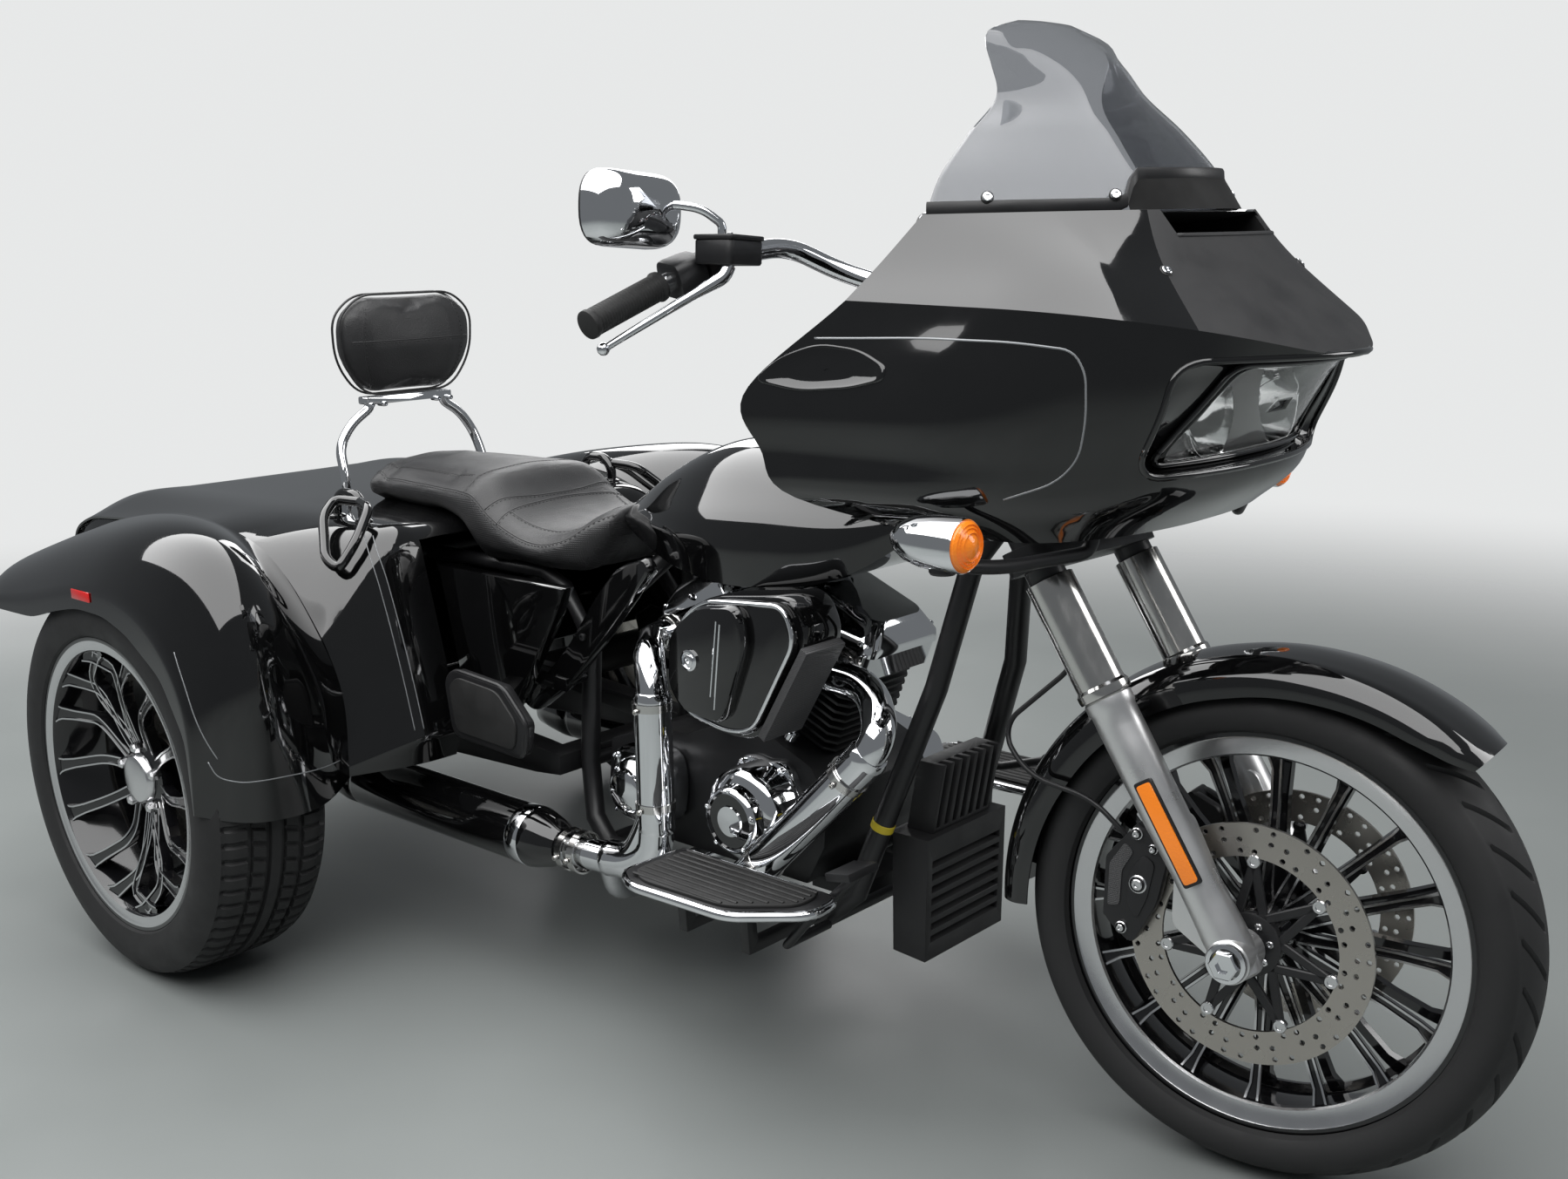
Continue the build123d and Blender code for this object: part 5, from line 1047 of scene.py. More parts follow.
def tank():
    sections = []
    for x, half, bottom, shoulder, top_half, top in TANK_SECTIONS:
        ring = [
            (-half, bottom), (-half - 6, shoulder - 8), (-top_half, top), (top_half, top), (half + 6, shoulder - 8),
            (half, bottom),
        ]
        sections.append((x, rounded(ring, [0, 60, 70, 70, 60, 0], arc=10, run=4)))
    mesh = Mesh()
    mesh.grid(loft(sections, "x", np.linspace(sections[0][0], sections[-1][0], 44)), wrap=True, cap=True)
    mesh.facing("fuel_tank_skin", "gloss", replaces="fuel_tank", slot="gloss_black", sharp=40)


tank()

# ---- Front fender


def fork_point(distance, aside, ahead=0.0):
    """A point at a distance up the fork's line from the front axle."""
    return np.array([
        WHEELBASE - math.sin(FORK_LEAN) * distance + math.cos(FORK_LEAN) * ahead, aside,
        AXLE_Z + math.cos(FORK_LEAN) * distance + math.sin(FORK_LEAN) * ahead,
    ])


def front_fender():
    rows = []
    for a in np.radians(np.linspace(47, 184, 90)):
        d = math.degrees(a)
        crown = np.interp(d, [47, 60, 80, 100, 140, 184], [366, 362, 356, 353, 353, 352])
        skirt = np.interp(d, [47, 52, 60, 100, 150, 184], [26, 36, 44, 54, 58, 50])
        half = np.interp(d, [47, 50, 56, 184], [66, 75, 80, 80])
        shape = [(half - 1, -skirt), (half, -min(30, skirt * 0.6)), (half - 16, -8), (26, -1), (0, 1.5)]
        whole = shape + [(-y, r) for y, r in shape[-2::-1]]
        line = rounded(whole, [0, 20, 22, 18, 30, 18, 22, 20, 0], arc=6, run=3)
        r = crown + line[:, 1]
        rows.append(np.stack([WHEELBASE + np.cos(a) * r, line[:, 0], AXLE_Z + np.sin(a) * r], 1))
    mesh = Mesh()
    mesh.grid(rows)
    for side in (-1, 1):
        mesh.rod(fork_point(316, side * 77), fork_point(316, side * 109.6), 11, step=6)
    thicken(mesh.facing(
        "front_fender_skin", "gloss", body=STEERING, steered=True, replaces="front_fender", slot="gloss_black",
        sharp=45,
    ), 3)


front_fender()

# ---- Seat and backrest: padded pieces, inflated by cloth simulation and then sewn

# Voxel of the remesh in metres, pressure and frames of the cloth, and how deep a seam sinks in millimetres
VOXEL, PRESSURE, FRAMES = 0.006, 4.0, 20
SEAM_SINK = 0.6


def bake(obj):
    """Replace an object's mesh by what its modifiers make of it."""
    data = bpy.data.meshes.new_from_object(obj.evaluated_get(bpy.context.evaluated_depsgraph_get()))
    obj.modifiers.clear()
    obj.data = data
    return data


def subdivide(obj):
    modifier = obj.modifiers.new("smooth", "SUBSURF")
    modifier.levels = modifier.render_levels = 1


def inflate(obj, cap):
    """Swell a closed mesh like a stuffed cover, no point moving further than the cap."""
    remesh = obj.modifiers.new("remesh", "REMESH")
    remesh.mode, remesh.voxel_size = "VOXEL", VOXEL
    rest = np.array([v.co for v in bake(obj).vertices], float)
    cloth = obj.modifiers.new("cloth", "CLOTH")
    cloth.settings.quality = 4
    cloth.settings.use_pressure = True
    cloth.settings.uniform_pressure_force = PRESSURE
    cloth.settings.effector_weights.gravity = 0.0
    cloth.point_cache.frame_start, cloth.point_cache.frame_end = 1, FRAMES
    for step in range(1, FRAMES + 1):
        scene.frame_set(step)
    swollen = bake(obj)
    moved = np.array([v.co for v in swollen.vertices], float) - rest
    reach = np.linalg.norm(moved, axis=1)
    moved *= np.minimum(1.0, cap / np.maximum(reach, 1e-9))[:, None]
    swollen.vertices.foreach_set("co", (rest + moved).astype(np.float32).ravel())
    swollen.update()
    scene.frame_set(1)
    smooth(swollen)
    subdivide(obj)
    bake(obj)


def along_skin(tree, line, direction, lift, step=5.0, bend=20.0):
    """Points and normals of a line projected on a skin, lifted off it."""
    found = [on_skin(tree, p, direction, lift) for p in path_points(line, bend, step=step)]
    found = [pair for pair in found if pair[0] is not None]
    return np.array([at for at, _ in found]), np.array([normal for _, normal in found])


def sewn(name, tree, lines, direction, radius=1.5):
    """Piping seams with a row of stitches beside them, laid on a skin along projected lines."""
    mesh = Mesh()
    for line in lines:
        hits, normals = along_skin(tree, line, direction, -SEAM_SINK, step=4.0, bend=30)
        if len(hits) < 4:
            continue
        mesh.sweep(hits, [circle(radius, 6)])
        tangent = np.gradient(hits, axis=0)
        for i in range(1, len(hits) - 1, 2):
            t = unit(tangent[i])
            at = hits[i] + np.cross(t, normals[i]) * 4.2 + normals[i] * (SEAM_SINK + 0.1)
            mesh.sweep(np.array([at - t * 2.0, at, at + t * 2.0]), [circle(0.55, 5)], mat=1, up=normals[i])
    mesh.make(name, ["leather", "rubber"], slot="seat_leather", sharp=0)


SEAT_STATIONS = (
    # x, half width, underside, edge height, crown height
    (-54, 104, 727, 744, 757), (-40, 130, 724, 752, 775), (20, 143, 724, 758, 785), (120, 150, 724, 762, 788),
    (200, 156, 722, 762, 788), (255, 160, 700, 762, 788), (292, 162, 660, 758, 785), (330, 163, 655, 728, 752),
    (370, 164, 655, 706, 724), (420, 165, 655, 690, 707), (470, 164, 656, 690, 704), (515, 158, 657, 704, 720),
    (550, 138, 664, 730, 754), (586, 108, 722, 746, 768),
)


def seat():
    sections = []
    for x, half, low, edge, crown in SEAT_STATIONS:
        tall = edge - low
        side = [
            (half * 0.80, low), (half * 0.965, low + tall * 0.2), (half, edge - tall * 0.25), (half * 0.93, edge + 4),
            (half * 0.62, edge + (crown - edge) * 0.72), (0, crown),
        ]
        sections.append((x, rounded(side + [(-y, z) for y, z in side[-2::-1]], 26, arc=5, run=3)))
    mesh = Mesh()
    mesh.grid(loft(sections, "x", np.linspace(sections[0][0], sections[-1][0], 64)), wrap=True, cap=True)
    obj = mesh.facing("seat_cover", ["leather", "side_leather"], replaces="seat", slot="seat_leather", sharp=0)
    inflate(obj, 0.007)
    xs, halves, _, edges, _ = zip(*SEAT_STATIONS)
    for polygon in obj.data.polygons:
        x, y, z = to_layout(polygon.center)
        flank = z < np.interp(x, xs, edges) - 10 and abs(y) > np.interp(x, xs, halves) * 0.55
        polygon.material_index = 1 if flank else 0
    # Seams: down both edges, across the step between the two seats, and along both seats
    over = 900
    seams = [[(x, side * (half - 16), over) for x, half, _, _, _ in SEAT_STATIONS[1:]] for side in (-1, 1)]
    seams.append([(352, y, over) for y in (-150, -90, 0, 90, 150)])
    seams.append([
        (318 + 26 * math.cos(y / 150 * math.pi / 2), y, over) for y in (-146, -100, -50, 0, 50, 100, 146)
    ])
    seams.append([(262, y, over) for y in (-145, -70, 0, 70, 145)])
    for side in (-1, 1):
        for course in (((352, 118), (420, 108), (490, 92), (560, 56)), ((-30, 96), (100, 104), (250, 108))):
            seams.append([(x, side * y, over) for x, y in course])
    sewn("seat_seams", skin_tree(obj), seams, (0, 0, -1))


seat()


def backrest():
    outline = looped(
        [(-96, 902), (96, 902), (143, 965), (146, 1045), (100, 1083), (-100, 1083), (-146, 1045), (-143, 965)],
        [40, 40, 50, 46, 60, 60, 46, 50], arc=7, run=4,
    )
    centre = np.array([0.0, 994.0])
    # The pad leans back, and is thickest halfway up
    heights, leans, depths = [898, 990, 1088], [-90, -84, -80], [22, 34, 24]
    rows = []
    for k in np.linspace(-1, 1, 19):
        share = (1 - abs(k) ** 3.2) ** (1 / 2.2) if abs(k) < 1 else 0.0
        flat = centre + (outline - centre) * max(share, 0.12)
        middle = np.interp(flat[:, 1], heights, leans)
        rows.append(np.column_stack([middle + k * np.interp(flat[:, 1], heights, depths), flat]))
    mesh = Mesh()
    mesh.grid(rows, wrap=True, cap=True)
    obj = mesh.facing("backrest_cover", "leather", replaces="backrest_pad", slot="seat_leather", sharp=0)
    inflate(obj, 0.006)
    seams = [[(200, y, 1000) for y in (-128, -60, 0, 60, 128)]]
    for side in (-1, 1):
        seams.append([(200, side * y, z) for y, z in ((84, 915), (104, 960), (110, 1010), (98, 1062))])
    sewn("backrest_seams", skin_tree(obj), seams, (-1, 0, 0), radius=1.3)
    rim = Mesh()
    edge = centre + (outline - centre) * 0.985
    for ahead in (10, -12):
        lean = np.interp(edge[:, 1], heights, leans) + ahead
        rim.bead(np.stack([lean, edge[:, 0] * 1.02, centre[1] + (edge[:, 1] - centre[1]) * 1.02], 1), 2.2, 7)
    rim.make("backrest_piping", "leather", slot="seat_leather", sharp=0)


backrest()

# ---- Fairing details


def ribbon(mesh, hits, normals, wide, thick=0.35):
    """A thin flat strip lying on a skin."""
    if len(hits) <= 3:
        return
    tangent = np.gradient(hits, axis=0)
    side = np.cross(tangent / np.linalg.norm(tangent, axis=1)[:, None], normals)
    side /= np.linalg.norm(side, axis=1)[:, None]
    rows = [hits + side * wide * a + normals * thick * b for a, b in ((-0.5, 0), (-0.5, 1), (0.5, 1), (0.5, 0))]
    mesh.grid(np.array(rows).transpose(1, 0, 2), wrap=True, cap=True)


def fairing_flanks():
    """A silver line and a glossy blister on each side."""
    course = (
        (1252, 1057), (1310, 1058), (1396, 1060), (1500, 1057), (1556, 1048), (1566, 1022), (1564, 974), (1552, 928),
        (1530, 900), (1484, 882),
    )
    lines = Mesh()
    for side in (-1, 1):
        stripe = [(x, side * OUTSIDE, z) for x, z in course]
        ribbon(lines, *along_skin(FAIRING_TREE, stripe, (0, -side, 0), 0.1, bend=40), 2.4)
    lines.make("fairing_stripes", "silver_line", slot="gloss_black", sharp=0)
    oval = looped(
        [(1172, 1006), (1204, 1034), (1258, 1052), (1318, 1046), (1356, 1028), (1355, 1012), (1315, 1002), (1240, 996)],
        22, arc=5, run=3,
    )
    inlay = Mesh()
    for side in (-1, 1):
        rings = []
        # The blister has a raised edge
        for share, lift in ((1.0, 0.2), (0.985, 2.2), (0.95, 3.0), (0.88, 2.2), (0.8, 0.8), (0.4, 0.6), (0.05, 0.6)):
            ring = []
            for x, z in shrunk(oval, share):
                at, _ = on_skin(FAIRING_TREE, (x, side * OUTSIDE, z), (0, -side, 0), lift)
                ring.append(at if at is not None else (x, side * 385, z))
            rings.append(ring)
        inlay.grid(rings, wrap=True)
    inlay.facing("fairing_inlays", "gloss", slot="gloss_black", sharp=0)


fairing_flanks()


def from_ahead(loop, depth):
    """Points of a front-view line on the fairing, set back behind its skin."""
    found = [on_skin(FAIRING_TREE, (AHEAD, y, z), (-1, 0, 0), 0.0)[0] for y, z in loop]
    return np.array(found) - (depth, 0, 0)


def headlamp():
    """A black scoop from the window's edge back to the lens, and a panel with two bowls behind it."""
    outer = box((-LAMP_HALF, LAMP_LOW), (LAMP_HALF, LAMP_HIGH), LAMP_CORNER, arc=8, run=12)
    inner = looped(
        [(-LENS_FOOT, LENS_LOW), (LENS_FOOT, LENS_LOW), (LENS_TOP, LENS_HIGH), (-LENS_TOP, LENS_HIGH)], 20, arc=8,
        run=12,
    )
    scoop = Mesh()
    rings = []
    for share in np.linspace(0, 1, 9):
        depth = 1 + (LENS_DEPTH + 3) * math.sin(share * math.pi / 2)
        rings.append(from_ahead(outer * (1 - share) + inner * share, depth))
    scoop.grid(rings, wrap=True)
    scoop.bead(from_ahead(outer, 1.0), 4.2, 10)
    scoop.bead(from_ahead(inner, LENS_DEPTH), 3.4, 8)
    scoop.make("headlamp_bezel", "gloss", slot="gloss_black", sharp=0)
    middle = np.array([0, (LENS_LOW + LENS_HIGH) / 2])
    glass = Mesh()
    shares = (1, 0.9, 0.75, 0.55, 0.35, 0.15, 0.01)
    glass.grid([from_ahead(middle + (inner - middle) * share, LENS_DEPTH + 1) for share in shares], wrap=True)
    thicken(glass.facing("headlamp_glass", "glass", replaces="headlamp_lens", slot="clear_lens", sharp=0), 3)

    def bend(y):
        """How far the panel has curved back at a distance from the middle."""
        return 46 * (abs(y) / LENS_FOOT) ** 3

    # A grid of points makes the panel, without the faces over the bowls
    panel = Mesh()
    ys, zs = np.linspace(-LENS_FOOT + 4, LENS_FOOT - 4, 151), np.linspace(LENS_LOW, LENS_HIGH, 41)
    faces = []
    for i in range(len(ys) - 1):
        for j in range(len(zs) - 1):
            y, z = (ys[i] + ys[i + 1]) / 2, (zs[j] + zs[j + 1]) / 2
            if min(math.hypot(y - s * BOWL_Y, z - BOWL_Z) for s in (-1, 1)) > BOWL_HOLE:
                a, b = i * len(zs) + j, (i + 1) * len(zs) + j
                faces.append((a, b, b + 1, a + 1))
    panel.add([(BOWL_X + 6 - bend(y), y, z) for y in ys for z in zs], faces)
    # Walls run from the panel's edge out to the lens
    walls = []
    for (y, z), front in zip(inner, from_ahead(inner, LENS_DEPTH + 4)):
        back = np.array([BOWL_X + 4 - bend(y), y * 0.97, BOWL_Z + (z - BOWL_Z) * 0.97])
        walls.append([front, (front + back) / 2, back])
    panel.grid(np.array(walls).transpose(1, 0, 2), wrap=True)
    panel.make("headlamp_panel", "satin", replaces="headlamp_housing", slot="satin_black", sharp=0)
    # Each bowl, its projector, a ring round that and three arms to hold it
    x = BOWL_X + 2
    bowl = [
        (-50, 12), (-48, 21), (-42, 31), (-33, 40), (-20, 47.5), (-6, 52), (0, 53.5), (2.5, 54.2), (3, 56), (0, 57),
    ]
    bowls = Mesh()
    for y in (-BOWL_Y, BOWL_Y):
        here, ahead = (x, y, BOWL_Z), (1, 0, 0)
        bowls.lathe(bowl, here, ahead, count=56)
        bowls.lathe([(-50, 14), (-30, 14), (-26, 12.5), (-23, 8), (-22, 0.2)], here, ahead, count=32, mat=1)
        bowls.lathe([(-32, 14.2), (-29, 17), (-28, 14.2)], here, ahead, count=32)
        for k in range(3):
            a = math.radians(30 + 120 * k)
            arm = [
                (x - back, y + math.cos(a) * r, BOWL_Z + math.sin(a) * r) for back, r in ((30, 15), (22, 30), (12, 43))
            ]
            bowls.tube(arm, 1.6, bend=8, step=6, count=8)
    bowls.make("headlamp_bowls", ["reflector", "glass"], slot="reflector", sharp=40)


headlamp()


def screen_trim():
    """The trim at the screen's base, which arches over the vent's mouth; a near-black sheet under the arch is painted
    shade.
    """
    levels, lines = screen_lines()
    pitch, last = 2, 30
    table = hermite(levels, lines, np.linspace(levels[0], levels[0] + pitch * last, last + 1))

    def screen_point(column, rise):
        at = min(max(rise / pitch, 0), last - 0.001)
        row = int(at)
        return table[row][column] * (row + 1 - at) + table[row + 1][column] * (at - row)

    columns = range(len(table[0]))
    rises = [VENT_RISE * min(max((VENT_HALF + 16 - abs(table[0][k][1])) / 26, 0), 1) for k in columns]
    rises = [r * r * (3 * VENT_RISE - 2 * r) / VENT_RISE ** 2 for r in rises]
    base = np.array([screen_point(k, r + 4) for k, r in enumerate(rises)])
    profile = np.array([(-2.2, -6), (3.2, -6), (4.2, -3), (3.4, 7), (1.6, 10), (-2.2, 8)])
    rows, patch = [], []
    for k, (p, t) in enumerate(zip(base, np.gradient(base, axis=0))):
        side = np.cross(unit(t * (1, 1, 0)), (0, 0, 1))
        if side @ (p - np.array([1300, 0, 1199])) < 0:
            side = -side
        rows.append([p + side * a + np.array([0, 0, b]) for a, b in profile])
        if rises[k] > 0:
            patch.append([screen_point(k, (rises[k] + 4) * u) + side * 2.5 for u in (0, 0.5, 1)])
    trim, mouth = Mesh(), Mesh()
    trim.grid(rows, wrap=True, cap=True)
    trim.make("screen_trim", "satin", slot="satin_black", sharp=30)
    # The sheet under the arch is painted shade in the vent's mouth
    mouth.grid(patch)
    mouth.make("vent_shade_sheet", "hollow", slot="matte_black", sharp=0)


def screen_screws():
    """Screws on rubber washers: four in the screen's trim, two in the nose panel."""
    screws = Mesh()
    for x, y in ((1513, 138), (1402, 233)):
        for side in (-1, 1):
            normal = unit(np.array([0.62, side * 0.72, 0.32]))
            at = np.array([x, side * y, 1212.0]) + normal * 1.5 - np.array([6, 0, 0])
            screws.lathe([(-2, 7.5), (0.5, 7.5), (1.5, 6)], at, normal, count=20, mat=1)
            screws.bolt(at + normal * 1.0, normal, radius=5.5, height=3.5)
    for side in (-1, 1):
        at, normal = on_skin(FAIRING_TREE, (AHEAD, side * 168, 1128), (-1, 0, 0), 0.0)
        screws.lathe([(-2, 8), (0.5, 8), (1.5, 6.5)], at, normal, count=20, mat=1)
        screws.bolt(at, normal, radius=6, height=3)
    screws.make("screen_screws", ["chrome", "rubber"], slot="chrome", sharp=35)


def vent():
    """The duct behind the vent's mouth, near black as painted shade, and the lip below it."""
    outline = box((-VENT_HALF, VENT_LOW), (VENT_HALF, 1193), 6, arc=4, run=12)
    rims = np.array([on_skin(FAIRING_TREE, (AHEAD, y, z), (-1, 0, 0), -2)[0] for y, z in outline])
    backs = np.array([(1440, y * 0.75, 1172 + (z - 1180) * 0.8) for y, z in outline])
    sag = np.array([0, 0, 6])
    duct = Mesh()
    duct.grid([rims * (1 - t) + backs * t - sag * math.sin(t * math.pi) for t in (0, 0.15, 0.4, 0.7, 1.0)], wrap=True)
    duct.add(backs, [tuple(range(len(backs)))])
    # The duct is near black: painted shade inside the vent
    duct.make("vent_duct", "hollow", slot="matte_black", sharp=50)
    lip = Mesh()
    ys = np.linspace(-VENT_HALF, VENT_HALF, 30)
    lip.sweep(
        np.array([on_skin(FAIRING_TREE, (AHEAD, y, VENT_LOW), (-1, 0, 0), -1.5)[0] for y in ys]), [circle(3.4, 8)],
    )
    lip.make("vent_lip", "matte", slot="matte_black", sharp=0)


screen_trim()
screen_screws()
vent()

# ---- Turn signals, mirrors and hand controls


def turn_signals():
    mesh = Mesh()
    shell = [
        (1475, 27), (1477, 30), (1474, 31.5), (1440, 31.5), (1420, 30), (1400, 25), (1386, 17), (1377, 8), (1375, 0.2),
    ]
    lens = [
        (1474, 28.5), (1480, 28), (1483, 25), (1481, 24), (1484, 21), (1482, 20), (1486, 16), (1484, 15), (1488, 9),
        (1489, 0.2),
    ]
    for side in (-1, 1):
        y = side * 385
        mesh.lathe(shell, (0, y, 838), (1, 0, 0), count=48)
        mesh.lathe(lens, (0, y, 838), (1, 0, 0), count=48, mat=1)
        stalk = [
            (1446, y, 834), (1446, side * 352, 806), (1466, side * 292, 798), (1512, side * 184, 804),
            (1515, side * 180, 840),
        ]
        mesh.tube(stalk, 8.5, bend=26, step=6, count=18, mat=2)
        mesh.lathe([(-9, 14), (-6, 16), (6, 16), (9, 14)], (1446, y, 812), (0, 0, 1), count=24, mat=2)
    bar = looped([(1500.5, -224), (1530, -214), (1530, 214), (1500.5, 224)], 4)
    mesh.prism(bar, 837, 859, axis="z", edge=2, mat=2)
    mesh.facing(
        "turn_signals_dressed", ["chrome", "amber", "satin"], replaces="turn_signals", slot="chrome", sharp=32,
    )


turn_signals()

STEERED = dict(body=STEERING, steered=True)


def on_side(points, side):
    """Points given on the machine's right, as they lie on one of its sides."""
    return np.asarray(points, float) * (1, -side, 1)


def mirror(mesh, side):
    """A mirror: shell, bright rim, glass and stem."""
    outline = box((-82, -46), (82, 46), 42, arc=8, run=4)

    def oval(x, share):
        return in_plane(outline * share + (side * 398, 1182), x, "x")

    shell = [(k, (1 - k ** 2.4) ** (1 / 2.4) if k < 1 else 0) for k in np.linspace(0, 1, 12)]
    mesh.grid([oval(941 + 52 * k, max(share, 0.04)) for k, share in shell], wrap=True, cap=True)
    rim = ((941, 1.0), (937, 0.985), (936, 0.95), (939, 0.93))
    mesh.grid([oval(x, share) for x, share in rim], wrap=True, cap=True, mat=1)
    mesh.grid([oval(938.6, share) for share in (0.93, 0.02)], wrap=True, mat=2)
    stem = [(1030, -318, 1155.5), (1030, -318, 1168), (1012, -336, 1186), (985, -362, 1190), (968, -380, 1184)]
    mesh.tube(on_side(stem, side), 5.5, bend=16, step=4, count=20)
    mesh.lathe([(-6, 9), (-3, 12), (6, 12), (10, 8)], on_side((968, -380, 1182), side), (0.8, side * 0.4, 0), count=24)


def hand_control(black, bright, side):
    """Switch housing and perch round the bar, a reservoir with a screwed lid, and the lever."""
    inner, outer = on_side((1004, -262, 1134), side), on_side((965, -352, 1094), side)
    run = unit(outer - inner)
    up = unit(np.cross(run, (1, 0, 0)))
    fore = np.cross(up, run)
    shape = looped([(-25, -24), (27, -24), (31, 0), (27, 24), (-25, 24), (-30, 0)], 12, arc=5, run=3)
    for stations in (
        ((0.50, 0.80), (0.52, 0.95), (0.60, 1.0), (0.84, 1.0), (0.90, 0.95), (0.92, 0.8)),
        ((0.10, 0.62), (0.12, 0.74), (0.44, 0.74), (0.46, 0.62)),
    ):
        rows = []
        for share, size in stations:
            flat = shape * size
            rows.append(inner + (outer - inner) * share + flat[:, :1] * fore + flat[:, 1:] * up)
        black.grid(rows, wrap=True, cap=True)
    black.prism(box((1004, side * 272), (1062, side * 343), 9), 1119, 1150, axis="z", edge=3)
    black.prism(box((1002, side * 270), (1064, side * 345), 10), 1149, 1155, axis="z")
    for x, y in ((1012, 281), (1054, 334)):
        bright.bolt((x, side * y, 1155), (0, 0, 1), radius=3.6, height=2)
    # Buttons on the rider's side of each housing
    button = [(0, 6), (4, 6), (6, 4.4), (6.4, 0.2)]
    for share in (0.62, 0.72, 0.82):
        black.lathe(button, inner + (outer - inner) * share - fore * 27, -fore, count=18)
    # The lever is a flattened bar with a ball end
    path = on_side([(1048, -328, 1117), (1046, -334, 1104), (1004, -392, 1062), (951, -449, 1014)], side)
    bright.tube(path, ([0, 0.12, 0.3, 0.9, 1.0], [9, 9, 6.5, 4.8, 5.0]), bend=18, step=5)
    ball = [(-8, 0.2), (-6.5, 5), (-3, 7.6), (0, 8.2), (3, 7.6), (6.5, 5), (8, 0.2)]
    bright.lathe(ball, path[-1], path[-1] - path[-2], count=20)
    bright.bolt(path[0], (0, 0, -1), radius=6, height=5)


def grip(mesh, side):
    """A ribbed grip with a flange at its inner end."""
    start, end = on_side((965, -352, 1094), side), on_side((943, -463, 1044), side)
    length, ribs = np.linalg.norm(end - start) * 1.04, 24
    profile = [(length * 0.05, 13.4), (length * 0.05, 19), (length * 0.08, 19.5)]
    for k in range(ribs):
        at = length * (0.10 + 0.84 * k / ribs)
        profile += [(at, 17.4), (at + 1.2, 16.4), (at + 2.2, 16.4), (at + 3.2, 17.4)]
    profile += [(length * 0.96, 18.6), (length, 18.2), (length + 2, 14), (length + 2.4, 0.2)]
    mesh.lathe(profile, start, end - start, count=32)


def head_point(distance):
    """A point beside and behind the steering axis, at a distance along it from the pivot."""
    return np.array([
        PIVOT_X - math.sin(RAKE) * distance - math.cos(RAKE) * 30, -55,
        PIVOT_Z + math.cos(RAKE) * distance - math.sin(RAKE) * 30,
    ])


def handlebar():
    bar = Mesh()
    foot, head = head_point(716.3), head_point(790.3)
    path = [
        foot, head, (1190, -80, 1085), (1088, -130, 1116), (1036, -182, 1148), (1004, -262, 1134), (965, -352, 1094),
        (944, -460, 1046),
    ]
    riser = [(0, 24), (4, 24), (8, 20), (60, 18), (66, 21), (82, 21), (86, 16)]
    for side in (-1, 1):
        bar.tube(on_side(path, side), 12.7, bend=30, step=7, count=28)
        bar.lathe(riser, on_side(foot, side), head - foot, count=36)
    middle = foot + (head - foot) * (30 / 74)
    bar.tube([middle, middle * (1, 0, 1), middle * (1, -1, 1)], 13, bend=2, step=10, count=24)
    bar.facing("handlebar_dressed", "chrome", replaces="handlebar", slot="chrome", sharp=38, **STEERED)


def hand_pieces():
    mirrors, black, bright, grips = Mesh(), Mesh(), Mesh(), Mesh()
    for side in (-1, 1):
        mirror(mirrors, side)
        hand_control(black, bright, side)
        grip(grips, side)
    for mesh, name, finish, slot in (
        (mirrors, "mirrors", ["chrome", "satin", "reflector"], "chrome"),
        (black, "hand_controls", "satin", "satin_black"),
        (bright, "levers", "chrome", "chrome"),
        (grips, "grips", "rubber", "grip_rubber"),
    ):
        mesh.facing(f"{name}_dressed", finish, replaces=name, slot=slot, sharp=38, **STEERED)
    handlebar()


hand_pieces()

# ---- Front brakes and fork


def rotor(mesh, y_in, y_out):
    """A drilled brake ring, made of cells that each may hold a round hole."""
    columns, rings, hole = 42, 3, 3.6
    radii = np.linspace(109, 150, rings + 1)
    for c in range(columns):
        a0, a1 = 2 * math.pi * c / columns, 2 * math.pi * (c + 1) / columns
        am = (a0 + a1) / 2
        for r in range(rings):
            low, high = radii[r], radii[r + 1]
            rm = (low + high) / 2
            points = [about(rad, a) for a, rad in (
                (a0, low), (am, low), (a1, low), (a1, rm), (a1, high), (am, high), (a0, high), (a0, rm),
            )]
            if (c + 2 * r) % 3 != 0:
                middle = about(rm, am)
                points += [middle + unit(p - middle) * hole for p in points]
                faces = []
                for k in range(8):
                    n = (k + 1) % 8
                    faces += [(k, n, 8 + n, 8 + k), (16 + k, 24 + k, 24 + n, 16 + n), (8 + k, 8 + n, 24 + n, 24 + k)]
            else:
                faces = [tuple(range(8)), tuple(range(8, 16))[::-1]]
            mesh.add([p + FRONT_AXLE + (0, y, 0) for y in (y_out, y_in) for p in points], faces)
    for rad in (radii[0], radii[-1]):
        mesh.lathe([(y_in, rad), (y_out, rad)], FRONT_AXLE, (0, 1, 0), count=84)


